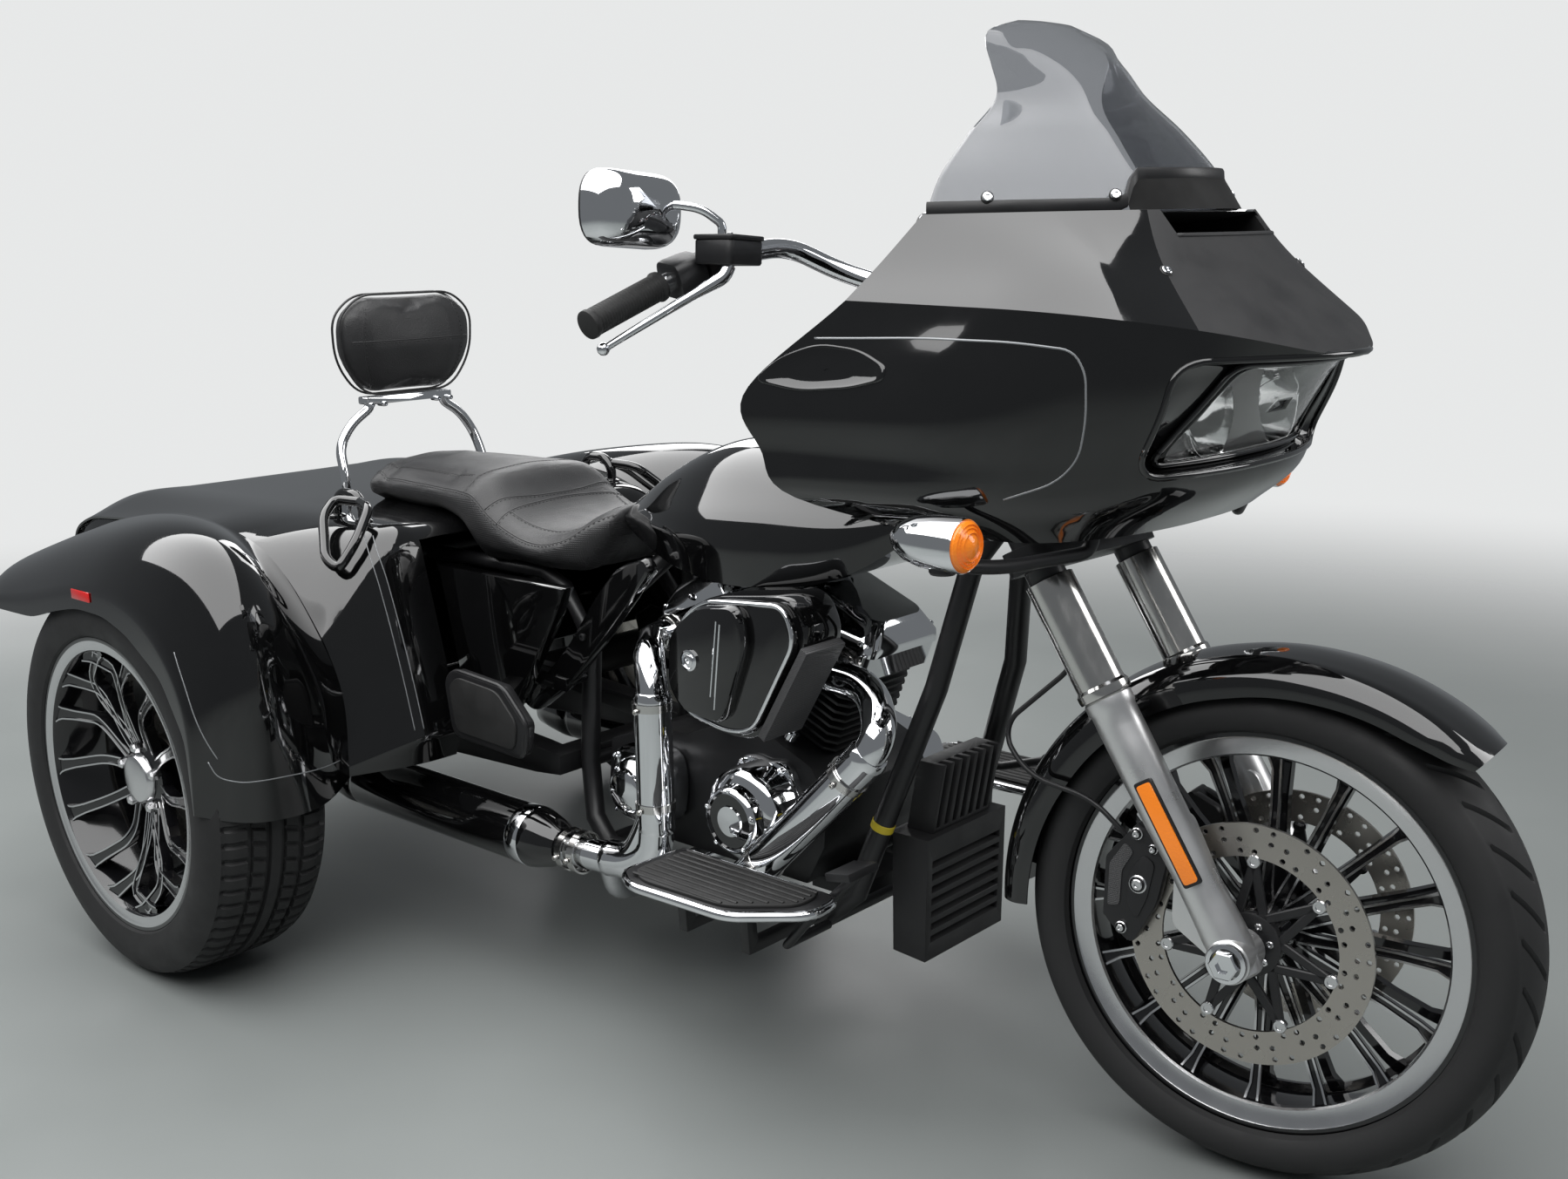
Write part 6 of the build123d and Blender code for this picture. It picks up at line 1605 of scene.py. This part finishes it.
def front_brakes():
    mesh = Mesh()
    carrier = [(72.4, 20), (72.4, 36), (90, 40), (93.5, 40), (94.5, 37), (94.5, 17)]
    section = np.array([(-5.5, -2.5), (5.5, -2.5), (5.5, 2), (4, 3), (-4, 3), (-5.5, 2)])
    button = [(0, 8.5), (7, 8.5), (8.5, 7.4), (8.5, 4.4), (7, 4), (7, 0.2)]
    for side in (-1, 1):
        rotor(mesh, side * 87.5, side * 92.5)
        across = np.array([0.0, side, 0.0])
        mesh.lathe(carrier, FRONT_AXLE, across, mat=1)
        # Seven pairs of arms lead from the carrier to the ring
        for k in range(7):
            a = math.radians(90 + 360 / 7 * k)
            end = FRONT_AXLE + about(103, a) + across * 90
            for lean in (-0.22, 0.22):
                start = FRONT_AXLE + about(36, a + lean * 2.2) + across * 90
                off = np.cross(across, unit(end - start))
                rows = [p + section[:, :1] * off + section[:, 1:] * across for p in (start, (start + end) / 2, end)]
                mesh.grid(rows, wrap=True, cap=True, mat=1)
            mesh.lathe(button, FRONT_AXLE + about(104, a) + across * 86.5, across, count=22, mat=2)
            mesh.bolt(FRONT_AXLE + about(28, a + 0.45) + across * 94, across, radius=4.6, height=4, mat=2)
    obj = mesh.make(
        "front_discs_dressed", ["disc", "satin", "machined"], body=FRONT_WHEEL, steered=True, replaces="front_discs",
        slot="disc_steel", sharp=30,
    )
    with edited(obj) as bm:
        bmesh.ops.remove_doubles(bm, verts=bm.verts, dist=WELD)
        bmesh.ops.recalc_face_normals(bm, faces=bm.faces)


front_brakes()


def calipers():
    """Two halves round each front disc, joined behind its edge, with a mesh insert and bolts."""
    mesh = Mesh()
    outline = looped([(1490, 320), (1490, 400), (1530, 450), (1575, 430), (1560, 350), (1530, 290)], 14)
    spine = looped([(1490, 320), (1490, 400), (1530, 450), (1545, 440), (1509, 394), (1507, 322)], 5)
    insert = looped([(1496, 336), (1496, 392), (1515, 422), (1527, 412), (1513, 386), (1512, 340)], 5)
    pad = looped([(1522, 344), (1522, 384), (1540, 412), (1556, 402), (1548, 356), (1536, 326)], 8)
    for side in (-1, 1):
        for near, far in ((66, 83), (97, 114)):
            mesh.prism(outline, side * near, side * far, edge=3)
        mesh.prism(spine, side * 66.5, side * 113.5, edge=2)
        mesh.prism(insert, side * 113, side * 115.4, edge=0.8, mat=1)
        mesh.prism(pad, side * 113, side * 116.5)
        across = (0, side, 0)
        for x, z, r in ((1535, 372, 9), (1530, 436, 6), (1516, 312, 6), (1552, 420, 5)):
            washer = [(0, r * 1.3), (3.2, r * 1.3), (4.2, r * 1.1)]
            mesh.lathe(washer, (x, side * 113.5, z), across, count=24, mat=2)
            mesh.bolt((x, side * 117, z), across, radius=r * 0.8, height=4, mat=2)
    mesh.facing(
        "brake_calipers_dressed", ["engine", "mesh", "machined"], replaces="brake_calipers", slot="engine_black",
        sharp=35, **STEERED,
    )


calipers()


def fork():
    leg, cover, axle, reflect = Mesh(), Mesh(), Mesh(), Mesh()
    up = fork_point(1, 0) - fork_point(0, 0)
    ahead = fork_point(0, 0, 1) - fork_point(0, 0)
    slider = [
        (-27, 0.2), (-27, 20), (-24, 24), (0, 27), (30, 28), (60, 27), (110, 25.5), (150, 27), (180, 28), (300, 28.5),
        (322, 28.5), (326, 30.5), (338, 30.5), (341, 28), (341, 22),
    ]
    lug = looped([(1640, 302), (1586, 336), (1586, 399), (1562, 478), (1599, 478), (1640, 400)], 12)
    sleeve = [(341.3, 27), (341.3, 33), (345, 34), (352, 34), (356, 31), (499, 31), (500, 29)]
    for side in (-1, 1):
        foot, across = fork_point(0, side * 139), np.array([0, side, 0.0])
        leg.lathe(slider, foot, up)
        leg.lathe([(-30, 25), (-28, 27), (28, 27), (30, 25)], foot, (0, 1, 0), count=36)
        leg.prism(lug, side * 114, side * 131, edge=3)
        # A long amber reflector in its frame on the outside of the leg
        for low, high, wide, thick, lift, mat in ((96, 232, 25, 4, 27, 1), (100, 228, 19, 3, 30.2, 0)):
            outline, middle = box((low, -wide / 2), (high, wide / 2), 4, arc=4, run=2), (low + high) / 2
            rows = []
            for level, share in ((0, 1), (thick * 0.7, 1), (thick, 0.96)):
                rows.append([
                    foot + up * (middle + (a - middle) * share) + ahead * (b * share + 6) + across * (lift + level)
                    for a, b in outline
                ])
            reflect.grid(rows, wrap=True, cap=True, mat=mat)
        cover.lathe(sleeve, foot, up, count=64)
        tip = FRONT_AXLE + across * 168.5
        axle.lathe([(0, 22), (3, 24), (5, 24), (6, 19)], tip, across, count=40)
        axle.lathe([(5, 18), (14, 18), (15.5, 16.5), (15.5, 9), (10, 8.5), (10, 0.2)], tip, across, count=6)
        axle.lathe([(94.5, 13), (94.5, 17), (109.6, 17), (109.6, 13)], FRONT_AXLE, across, count=36)
    axle.lathe([(-170, 12.3), (170, 12.3)], FRONT_AXLE, (0, 1, 0), count=36)
    for mesh, name, finish, slot in (
        (leg, "fork_sliders", "alloy", "cast_alloy"),
        (cover, "fork_covers", "stainless", "stainless"),
        (axle, "front_axle", "chrome", "chrome"),
    ):
        mesh.facing(f"{name}_dressed", finish, replaces=name, slot=slot, sharp=35, **STEERED)
    reflect.facing("fork_reflectors", ["amber", "satin"], slot="amber_lens", sharp=35, **STEERED)


fork()

# ---- Engine, exhaust and what hangs beside them

AIR_OUTLINE = [(895, 515), (885, 630), (945, 690), (1110, 712), (1140, 655), (1050, 505), (1000, 495)]
VEE_CRANK = np.array([880.0, 0.0, 300.0])
VEE_ANGLE = math.radians(22.5)
RIGHT, LEFT = (0, -1, 0), (0, 1, 0)


def air_cleaner():
    cover, trim = Mesh(), Mesh()
    body = looped(AIR_OUTLINE, 34, arc=8, run=4)
    cover.prism(body, -186, -262, edge=5)
    cover.prism(shrunk(body, 0.93), -255, -278, edge=7)
    # A raised face towards the rear holds the screw; the scoop in front of it holds the mesh
    face = [(900, 560), (905, 640), (960, 684), (1040, 694), (1052, 640), (1005, 520), (925, 528)]
    cover.prism(looped(face, 26, arc=7, run=4), -270, -294, edge=8)
    seam = [(902, 556), (906, 644), (958, 688), (1108, 700), (1126, 656), (1048, 520), (1000, 510), (925, 524)]
    trim.ring(seam, -277, 3.6, corner=30)
    trim.ring([(1024, 534), (1066, 640), (1122, 650), (1052, 526)], -274, 2.6, corner=12)
    trim.lathe([(0, 15), (3, 15), (4, 12), (1, 11), (1, 0.2)], (948, -294, 606), RIGHT, count=32)
    trim.bolt((948, -294.8, 606), RIGHT, radius=8)
    # Two ribs across the face
    for shift in (0, 17):
        low, high = (985 + shift * 0.4, -293.5, 560 - shift), (1000 + shift * 0.4, -293.5, 668 - shift * 0.2)
        trim.rod(low, high, 1.4, step=8, count=8)
    # An arm reaches in between the cylinders and widens with the gap there
    low, high = 612, 650
    cover.prism([(866, low), (866, high), (902, high), (902, low)], -60, -191, edge=2)
    crank = VEE_CRANK[0]
    near, far = (((z - VEE_CRANK[2]) * math.sin(VEE_ANGLE) - 84.3) / math.cos(VEE_ANGLE) for z in (low, high))
    cover.prism([(crank - near, low), (crank - far, high), (crank + far, high), (crank + near, low)], -20, -70)
    cover.make("air_cleaner_dressed", "gloss", replaces="air_cleaner", slot="engine_black", sharp=40)
    trim.make("air_cleaner_trim", "chrome", slot="chrome", sharp=40)
    screen = Mesh()
    scoop = looped([(1030, 540), (1068, 636), (1114, 644), (1052, 533)], 8, arc=4, run=3)
    screen.prism(scoop, -268, -276, edge=1)
    # The filter shows in a strip along the cover's front edge
    foot, head = np.array(AIR_OUTLINE[5], float), np.array(AIR_OUTLINE[4], float)
    run = head - foot
    across = np.array([run[1], -run[0]]) / np.linalg.norm(run)
    low, high = foot + run * 0.05, foot + run * 0.95
    screen.prism([low, low + across * 12, high + across * 12, high], -196, -275)
    screen.make("air_filter_dressed", "mesh", replaces="air_filter", slot="grip_rubber", sharp=40)


air_cleaner()


def shield(mesh, points, radius, bend):
    """A heat shield: a wider sleeve over a run of pipe, with a rolled edge at both ends."""
    line = path_points(points, bend, step=7.0)
    last = len(line) - 1
    ends = np.minimum(np.arange(last + 1), last - np.arange(last + 1))
    mesh.sweep(line, [circle(radius * (0.90 if k == 0 else 1.02 if k == 1 else 1.0), 32) for k in ends])


def exhaust():
    pipes, clamps = Mesh(), Mesh()
    front = [
        (1058, -90.3, 570), (1058, -132, 570), (1150, -146, 568), (1215, -205, 520), (1090, -220, 385),
        (955, -220, 250), (760, -236, 240), (640, -250, 240), (610.3, -250, 240),
    ]
    rear = [
        (702, -90.3, 569), (702, -132, 569), (770, -205, 564), (798, -226, 520), (798, -228, 330),
        (755, -236, 250), (680, -240, 240),
    ]
    cross = [
        (700, -240, 236), (676, -205, 174), (662, -160, 158), (650, 160, 158), (645, 205, 174),
        (640, 250, 220), (628, 250, 240), (610.3, 250, 240),
    ]
    pipes.tube(front, 24, bend=60, count=28)
    pipes.tube(rear, 24, bend=60, count=28)
    pipes.tube(cross, 19, bend=40, step=9, count=22)
    shield(pipes, [(1196, -205, 500), (1090, -220, 385), (975, -222, 270)], 28.5, 40)
    shield(pipes, [(798, -227, 520), (798, -228, 300)], 28.5, 10)
    shield(pipes, [(798, -228, 318), (793, -229, 272), (752, -236, 246), (700, -241, 241)], 28, 40)
    for at, run, radius in (
        ((798, -228, 500), (0, 0, 1), 30.5), ((798, -228, 345), (0, 0, 1), 30.5),
        ((1160, -212, 461), (125, 15, 135), 30.5), ((1010, -220, 305), (115, 2, 115), 30.5),
        ((652, -249, 240), (1, 0.08, 0), 34), ((628, -250, 240), (1, 0, 0), 34),
    ):
        clamps.lathe([(-6, radius - 3), (-6, radius), (6, radius), (6, radius - 3)], at, run, count=36)
        clamps.bolt(np.array(at) + (0, -radius - 1, -4), RIGHT, radius=4.4, height=5)
    for x, z in ((1058, 570), (702, 569)):
        clamps.lathe([(0, 30), (8, 30), (12, 27), (12, 24)], (x, -90.5, z), RIGHT, count=32)
    pipes.facing("exhaust_dressed", "chrome", replaces="exhaust_headers", slot="chrome", sharp=40)
    clamps.make("exhaust_clamps", "stainless", slot="stainless", sharp=40)
    silencers = Mesh()
    profile = [
        (0, 29), (6, 31), (20, 38), (50, 46.5), (62, 48), (520, 48), (526, 47), (530, 44.5), (534, 44.5), (538, 47),
        (560, 47), (600, 41), (628, 36), (630, 34), (626, 31), (560, 29), (560, 0.2),
    ]
    for side in (-1, 1):
        origin, back = (610, side * 250, 240), (-1, 0, 0)
        silencers.lathe(profile, origin, back, count=56)
        silencers.lathe([(0, 29), (0, 0.2)], origin, back, count=56)
        silencers.lathe([(64, 48.3), (66, 49.4), (92, 49.4), (94, 48.3)], origin, back, count=56, mat=1)
    silencers.facing("mufflers_dressed", ["gloss", "chrome"], replaces="mufflers", slot="wheel_black", sharp=35)


exhaust()


def cam_cover():
    """A scalloped flange with screws, a shoulder and a plain domed lid."""
    mesh = Mesh()
    centre = np.array([935.0, 0.0, 345.0])
    turns = np.radians(np.arange(0, 360, 3))
    reach = 78 + 5 * np.cos(turns * 6)
    flange = np.stack([centre[0] + np.cos(turns) * reach, centre[2] + np.sin(turns) * reach], 1)
    mesh.prism(flange, -118.3, -138, edge=3)
    dome = [(134, 74), (168, 73), (182, 70), (190, 62), (193, 52), (196, 51), (208, 50), (213, 46), (214.5, 42)]
    mesh.lathe(dome, centre, RIGHT, count=64)
    mesh.lathe([(214.5, 42), (211, 40), (211, 0.2)], centre, RIGHT, count=64, mat=1)
    mesh.lathe([(211, 24), (213.5, 22.5), (214.5, 12), (214.8, 0.2)], centre, RIGHT)
    for count, start, radius, level, size, height in ((6, 0, 76, -138, 5.4, 6), (5, 18, 46, -212.5, 3.4, 2)):
        for k in range(count):
            at = centre + about(radius, math.radians(start + 360 / count * k)) + (0, level, 0)
            mesh.bolt(at, RIGHT, radius=size, height=height)
    mesh.facing("cam_cover_dressed", ["chrome", "gloss"], replaces="cam_cover", slot="chrome", sharp=32)


def transmission_cover():
    """A cover with a round boss, screws and three short ribs."""
    mesh = Mesh()
    boss = np.array([700.0, 0.0, 335.0])
    outline = [(640, 280), (640, 390), (690, 402), (756, 396), (766, 340), (752, 278), (700, 270)]
    mesh.prism(looped(outline, 26, arc=6, run=4), -118.3, -172, edge=9)
    profile = [(165, 52), (176, 52), (186, 47), (192, 38), (196, 36), (202, 34), (204.5, 28), (205, 0.2)]
    mesh.lathe(profile, boss, RIGHT, count=56)
    for x, z in ((652, 292), (652, 380), (742, 386), (752, 340), (742, 290), (700, 284)):
        mesh.bolt((x, -171, z), RIGHT, height=6)
    for k in range(4):
        mesh.bolt(boss + about(43, math.radians(45 + 90 * k)) + (0, -186, 0), RIGHT, radius=3.8, height=5)
    for lift in (-18, 0, 18):
        z = boss[2] + lift + 6
        mesh.tube([(658, -171.5, z), (668, -173, z), (676, -171, z)], 2.6, bend=4, step=5, count=10)
    mesh.facing("transmission_cover_dressed", "chrome", replaces="transmission_cover", slot="chrome", sharp=32)


def cylinder_axes():
    """For the rear and then the front cylinder, the directions up it and forward across its top."""
    for tilt in (-VEE_ANGLE, VEE_ANGLE):
        yield np.array([math.sin(tilt), 0, math.cos(tilt)]), np.array([math.cos(tilt), 0, -math.sin(tilt)])


def engine_screws():
    """Screws round the primary cover, with its two lids, and on the rocker boxes."""
    heads = Mesh()
    outline = [
        (575, 265), (562, 330), (600, 400), (700, 418), (900, 420), (1005, 395), (1035, 320), (990, 245), (880, 226),
        (660, 232),
    ]
    for x, z in shrunk(looped(outline, 30, arc=1, run=2), 0.93)[::2]:
        heads.bolt((x, 205, z), LEFT)
    for x, z, radius in ((900, 325, 46), (660, 322, 34)):
        heads.lathe([(0, radius), (4, radius), (6, radius - 3), (6, 0.2)], (x, 205, z), LEFT)
    for up, along in cylinder_axes():
        for ahead, aside in ((-66, -80), (0, -84), (66, -80), (-66, 80), (66, 80)):
            at = VEE_CRANK + up * 344.3 + along * ahead + np.array([0, aside, 0]) + up * 12
            heads.bolt(at, up, radius=5.5, height=6)
    heads.make("engine_screws", "chrome", slot="chrome", sharp=35)


def pushrod_seals():
    """Round clamp rings and seals of the pushrod tubes."""
    seals = Mesh()
    for up, along in cylinder_axes():
        for shift in (-22, 22):
            foot = VEE_CRANK + up * 162 + along * shift * 0.6 + np.array([0, -99, 0])
            head = VEE_CRANK + up * 298 + along * shift + np.array([0, -83.5, 0])
            for share in (0.06, 0.55, 0.92):
                at = foot + (head - foot) * share
                seals.lathe([(-5, 7), (-5, 10), (5, 10), (5, 7)], at, head - foot, count=20)
    seals.make("pushrod_seals", "chrome", slot="chrome", sharp=35)


cam_cover()
transmission_cover()
engine_screws()
pushrod_seals()


def boards():
    """Rider's floorboards with ribbed pads, and passenger boards folded up."""
    outline = np.array([(890, 262), (885, 375), (925, 400), (1100, 392), (1185, 320), (1180, 262)])
    fold = [(390, 392), (375, 480), (400, 500), (520, 492), (575, 440), (565, 385)]
    rim, pads = Mesh(), Mesh()
    for side in (-1, 1):
        flat = outline * (1, side)
        rim.ring(flat, 303, 7.2, axis="z", corner=22)
        pads.prism(looped(shrunk(flat, 0.88), 24, arc=6, run=4), 309, 314, axis="z")
        for k in range(9):
            y, rear = side * (276 + 13.2 * k), 912
            front = 1158 - max(0, abs(y) - 318) * 1.2
            pads.rod((rear, y, 314), (front, y, 314), 2.3, step=40, count=6)
        rim.ring(fold, side * 285, 4.2, corner=18, mat=1)
        pads.prism(looped(shrunk(fold, 0.84), 16, arc=6, run=4), side * 289, side * 294, edge=2)
    rim.make("board_rims", ["chrome", "satin"], slot="chrome", sharp=0)
    pads.make("board_pads", "rubber", slot="grip_rubber", sharp=35)


boards()


def chassis_details():
    """Covers on the frame's struts, a yellow band on the front down tube, and the fuel cap."""
    covers = Mesh()
    strut = looped([
        (748, 708), (690, 690), (640, 640), (560, 540), (470, 455), (440, 430), (470, 418), (560, 480), (668, 590),
        (760, 690),
    ], 22, arc=6, run=3)
    for side in (-1, 1):
        covers.prism(strut, side * 164, side * 186, edge=6)
        for x, z in ((500, 470), (600, 565)):
            covers.bolt((x, side * 186, z), (0, side, 0), radius=6, height=3, mat=1)
    covers.make("strut_covers", ["gloss", "satin"], slot="gloss_black", sharp=40)
    band = Mesh()
    top, foot = np.array([1221, -95, 569.0]), np.array([1107, -132, 255.0])
    band.lathe([(-6, 16.2), (-5, 17.2), (5, 17.2), (6, 16.2)], top + (foot - top) * 0.66, foot - top, count=32)
    band.make("yellow_band", "yellow", slot="amber_lens", sharp=40)
    cap = Mesh()
    cap.lathe([(0, 44), (4, 44), (7, 41), (8, 36)], (905, 0, 879), (0, 0, 1))
    cap.lathe([(8, 36), (10, 34), (12, 20), (12.5, 0.2)], (905, 0, 879), (0, 0, 1), mat=1)
    cap.make("fuel_cap", ["chrome", "gloss"], slot="chrome", sharp=35)


chassis_details()


def hoops():
    """Smooth tubes of the backrest's uprights and the grab loops."""
    bright, dark = Mesh(), Mesh()
    upright = [(-70, 157, 721.3), (-70, 157, 760), (-90, 152, 812), (-90, 122, 852), (-88, 84, 876), (-88, 80, 893)]
    loop = [(165, 280, 717.3), (165, 280, 744), (147, 280, 762), (103, 280, 762), (85, 280, 742), (85, 280, 719.3)]
    hanging = [
        (165, 285, 752), (212, 300, 748), (240, 346, 704), (234, 380, 660), (204, 384, 676), (140, 342, 734),
        (112, 300, 754), (165, 285, 752),
    ]
    for side in (-1, 1):
        flip = (1, side, 1)
        bright.tube(np.array(upright) * flip, 9, bend=34, step=5, count=24)
        bright.lathe([(0, 16), (4, 16), (6, 13), (6, 9)], (-70, side * 157, 721.2), (0, 0, 1), count=28)
        for y in (60, 88):
            bright.bolt((-90, side * y, 884), (1, 0, 0), height=22)
        dark.tube(np.array(loop) * flip, 9, bend=18, step=4, count=20)
        dark.tube(np.array(hanging) * flip, 8.5, step=5, count=18)
        for x, z in ((165, 717.4), (85, 719.4)):
            dark.lathe([(0, 15), (3, 15), (6, 10), (6, 9)], (x, side * 280, z), (0, 0, 1), count=24)
    bright.prism(box((-95, 884), (95, 898), 4, arc=4, run=4), -106, -76, axis="x", edge=2)
    bright.facing("backrest_frame_dressed", "chrome", replaces="backrest_frame", slot="chrome", sharp=38)
    dark.facing("grab_handles_dressed", "gloss", replaces="grab_handles", slot="satin_black", sharp=38)


hoops()


def body_silver_lines():
    """Thin silver lines down the body's front corners, which there are painted highlights along the edge, and round the
    rear fenders' fronts.
    """
    lines = Mesh()
    ridge = [(240, 318, 704), (268, 318, 650), (294, 314, 560), (314, 308, 470), (330, 304, 392)]
    trunk_tree = skin_tree(scene.objects["trunk_skin"])
    for side, name in SIDES:
        toward = np.array([-0.75, -side * 0.66, 0])
        # Two ribbons down each front corner of the trunk: a painted highlight where the edge catches the light
        for shift in (0, 16):
            start = [np.array([x - shift * 0.2, side * (y + shift), z]) - toward * 300 for x, y, z in ridge]
            ribbon(lines, *along_skin(trunk_tree, start, toward, 0.1, bend=60), 1.6)
        fender = skin_tree(scene.objects[f"rear_{name}_fender_skin"])
        flank = [(x, side * 900, z) for x, z in ((262, 590), (289, 539), (310, 476), (324, 432))]
        front = [(900, side * y, z) for y, z in ((677, 428), (668, 402), (640, 391), (567, 385), (450, 370))]
        for line, way, bend in ((flank, (0, -side, 0), 60), (front, (-1, 0, 0), 12)):
            ribbon(lines, *along_skin(fender, line, way, 0.1, step=4, bend=bend), 1.8)
    lines.make("body_silver_lines", "silver_line", slot="gloss_black", sharp=0)


body_silver_lines()


def gauges():
    """Gauge faces with bright rings, marks and needles, facing the rider."""
    mesh = Mesh()
    face = 1361
    for y, z, radius in ((-150, 1085, 26), (-62, 1085, 44), (62, 1085, 44), (150, 1085, 26)):
        at, ahead = np.array([face, y, z]), (1, 0, 0)
        mesh.lathe([(0, radius - 1), (-3, radius), (-6, radius - 2), (-4, radius - 5)], at, ahead)
        mesh.lathe([(-3, radius - 5), (-3, 0.2)], at, ahead, mat=1)
        mesh.lathe([(-3.4, radius - 10), (-3.4, radius - 12)], at, ahead, mat=2)
        for k in range(11):
            a = math.radians(225 - 27 * k)
            out = np.array([0, math.cos(a), math.sin(a)])
            mark = at - (3.8, 0, 0)
            mesh.rod(mark + out * (radius - 13), mark + out * (radius - 8), 0.6, step=3, count=5, mat=2)
        needle = [(face - 5, y - radius * share, z - radius * share) for share in (0, 0.3, 0.5)]
        mesh.tube(needle, 0.9, bend=1, step=4, count=6, mat=3)
    mesh.make("gauges", ["chrome", "gloss", "silver_line", "red"], slot="matte_black", sharp=35)


gauges()


def rear_lamp_bezels():
    """Bright rims on the back of the body, which slopes forward towards its sides."""
    mesh = Mesh()
    slope = 20 / 120.3
    for side in (-1, 1):
        flat = box((340, 470), (396, 552), 12, arc=5, run=4)
        mesh.bead(np.array([(-653 + slope * (y - 300) - 13.5, side * y, z) for y, z in flat]), 3.4, 8)
    mesh.make("rear_lamp_bezels", "chrome", slot="chrome", sharp=0)


rear_lamp_bezels()

# ---- Stage: a pale floor, plain soft light

# Half the floor's width, and where it fades into the background, in metres
FLOOR_HALF, FADE_START, FADE_END = 14.0, 2.0, 5.2


def area(name, at, aim, size, watts):
    """A rectangular lamp that shines from one point towards another."""
    data = bpy.data.lights.new(name, "AREA")
    data.shape, data.energy = "RECTANGLE", watts
    data.size, data.size_y = size
    lamp = bpy.data.objects.new(name, data)
    lamp.location = at
    lamp.rotation_euler = (Vector(aim) - Vector(at)).to_track_quat("-Z", "Y").to_euler()
    scene.collection.objects.link(lamp)


def mix_shaders(tree, factor, first, second, out):
    """Send a mix of two shaders to an output's surface."""
    mix = node(tree, "ShaderNodeMixShader")
    for k, source in enumerate((factor, first, second)):
        tree.links.new(source.outputs[0], mix.inputs[k])
    tree.links.new(mix.outputs[0], out.inputs["Surface"])


def ground():
    """A plain floor that fades into the pale background away from the machine."""
    s = FLOOR_HALF
    data = bpy.data.meshes.new("floor")
    data.from_pydata([(-s, -s, 0), (s, -s, 0), (s, s, 0), (-s, s, 0)], [], [(0, 1, 2, 3)])
    mat = finish_of("floor_paint", (0.22, 0.235, 0.23), 0.40, vary=0.04, grain=300, bump=0.02, patch=2.0)
    tree = mat.node_tree
    where = node(tree, "ShaderNodeTexCoord")
    distance = node(tree, "ShaderNodeVectorMath", operation="LENGTH")
    tree.links.new(where.outputs["Object"], distance.inputs[0])
    fade = node(tree, "ShaderNodeMapRange", interpolation_type="SMOOTHSTEP", **{
        "From Min": FADE_START, "From Max": FADE_END,
    })
    tree.links.new(distance.outputs["Value"], fade.inputs["Value"])
    clear = node(tree, "ShaderNodeBsdfTransparent")
    mix_shaders(tree, fade, tree.nodes["Principled BSDF"], clear, tree.nodes["Material Output"])
    data.materials.append(mat)
    floor = bpy.data.objects.new("floor", data)
    floor.location.z = -0.0005
    scene.collection.objects.link(floor)


def studio():
    """The world: soft light on the machine, and the pale background seen directly and through glass."""
    world = bpy.data.worlds.new("studio")
    world.use_nodes = True
    scene.world = world
    tree = world.node_tree
    tree.nodes.clear()
    out = node(tree, "ShaderNodeOutputWorld")
    plain = node(tree, "ShaderNodeBackground", Color=(0.36, 0.38, 0.40, 1), Strength=0.42)
    shown = node(tree, "ShaderNodeBackground", Color=(0.80, 0.81, 0.81, 1), Strength=1.0)
    path = node(tree, "ShaderNodeLightPath")
    direct = node(tree, "ShaderNodeMath", operation="MAXIMUM")
    for k, ray in enumerate(("Is Camera Ray", "Is Transmission Ray")):
        tree.links.new(path.outputs[ray], direct.inputs[k])
    mix_shaders(tree, direct, plain, shown, out)


ground()
studio()
area("overhead", (-0.5, -1.35, 3.4), (-0.4, -1.0, 0.0), (7.8, 5.1), 400)
area("front_left", (3.4, 2.4, 2.4), (0.6, 0.0, 0.6), (1.8, 1.8), 35)
area("left_rear", (-2.6, 2.8, 2.4), (-0.3, 0.2, 0.6), (1.8, 1.8), 35)
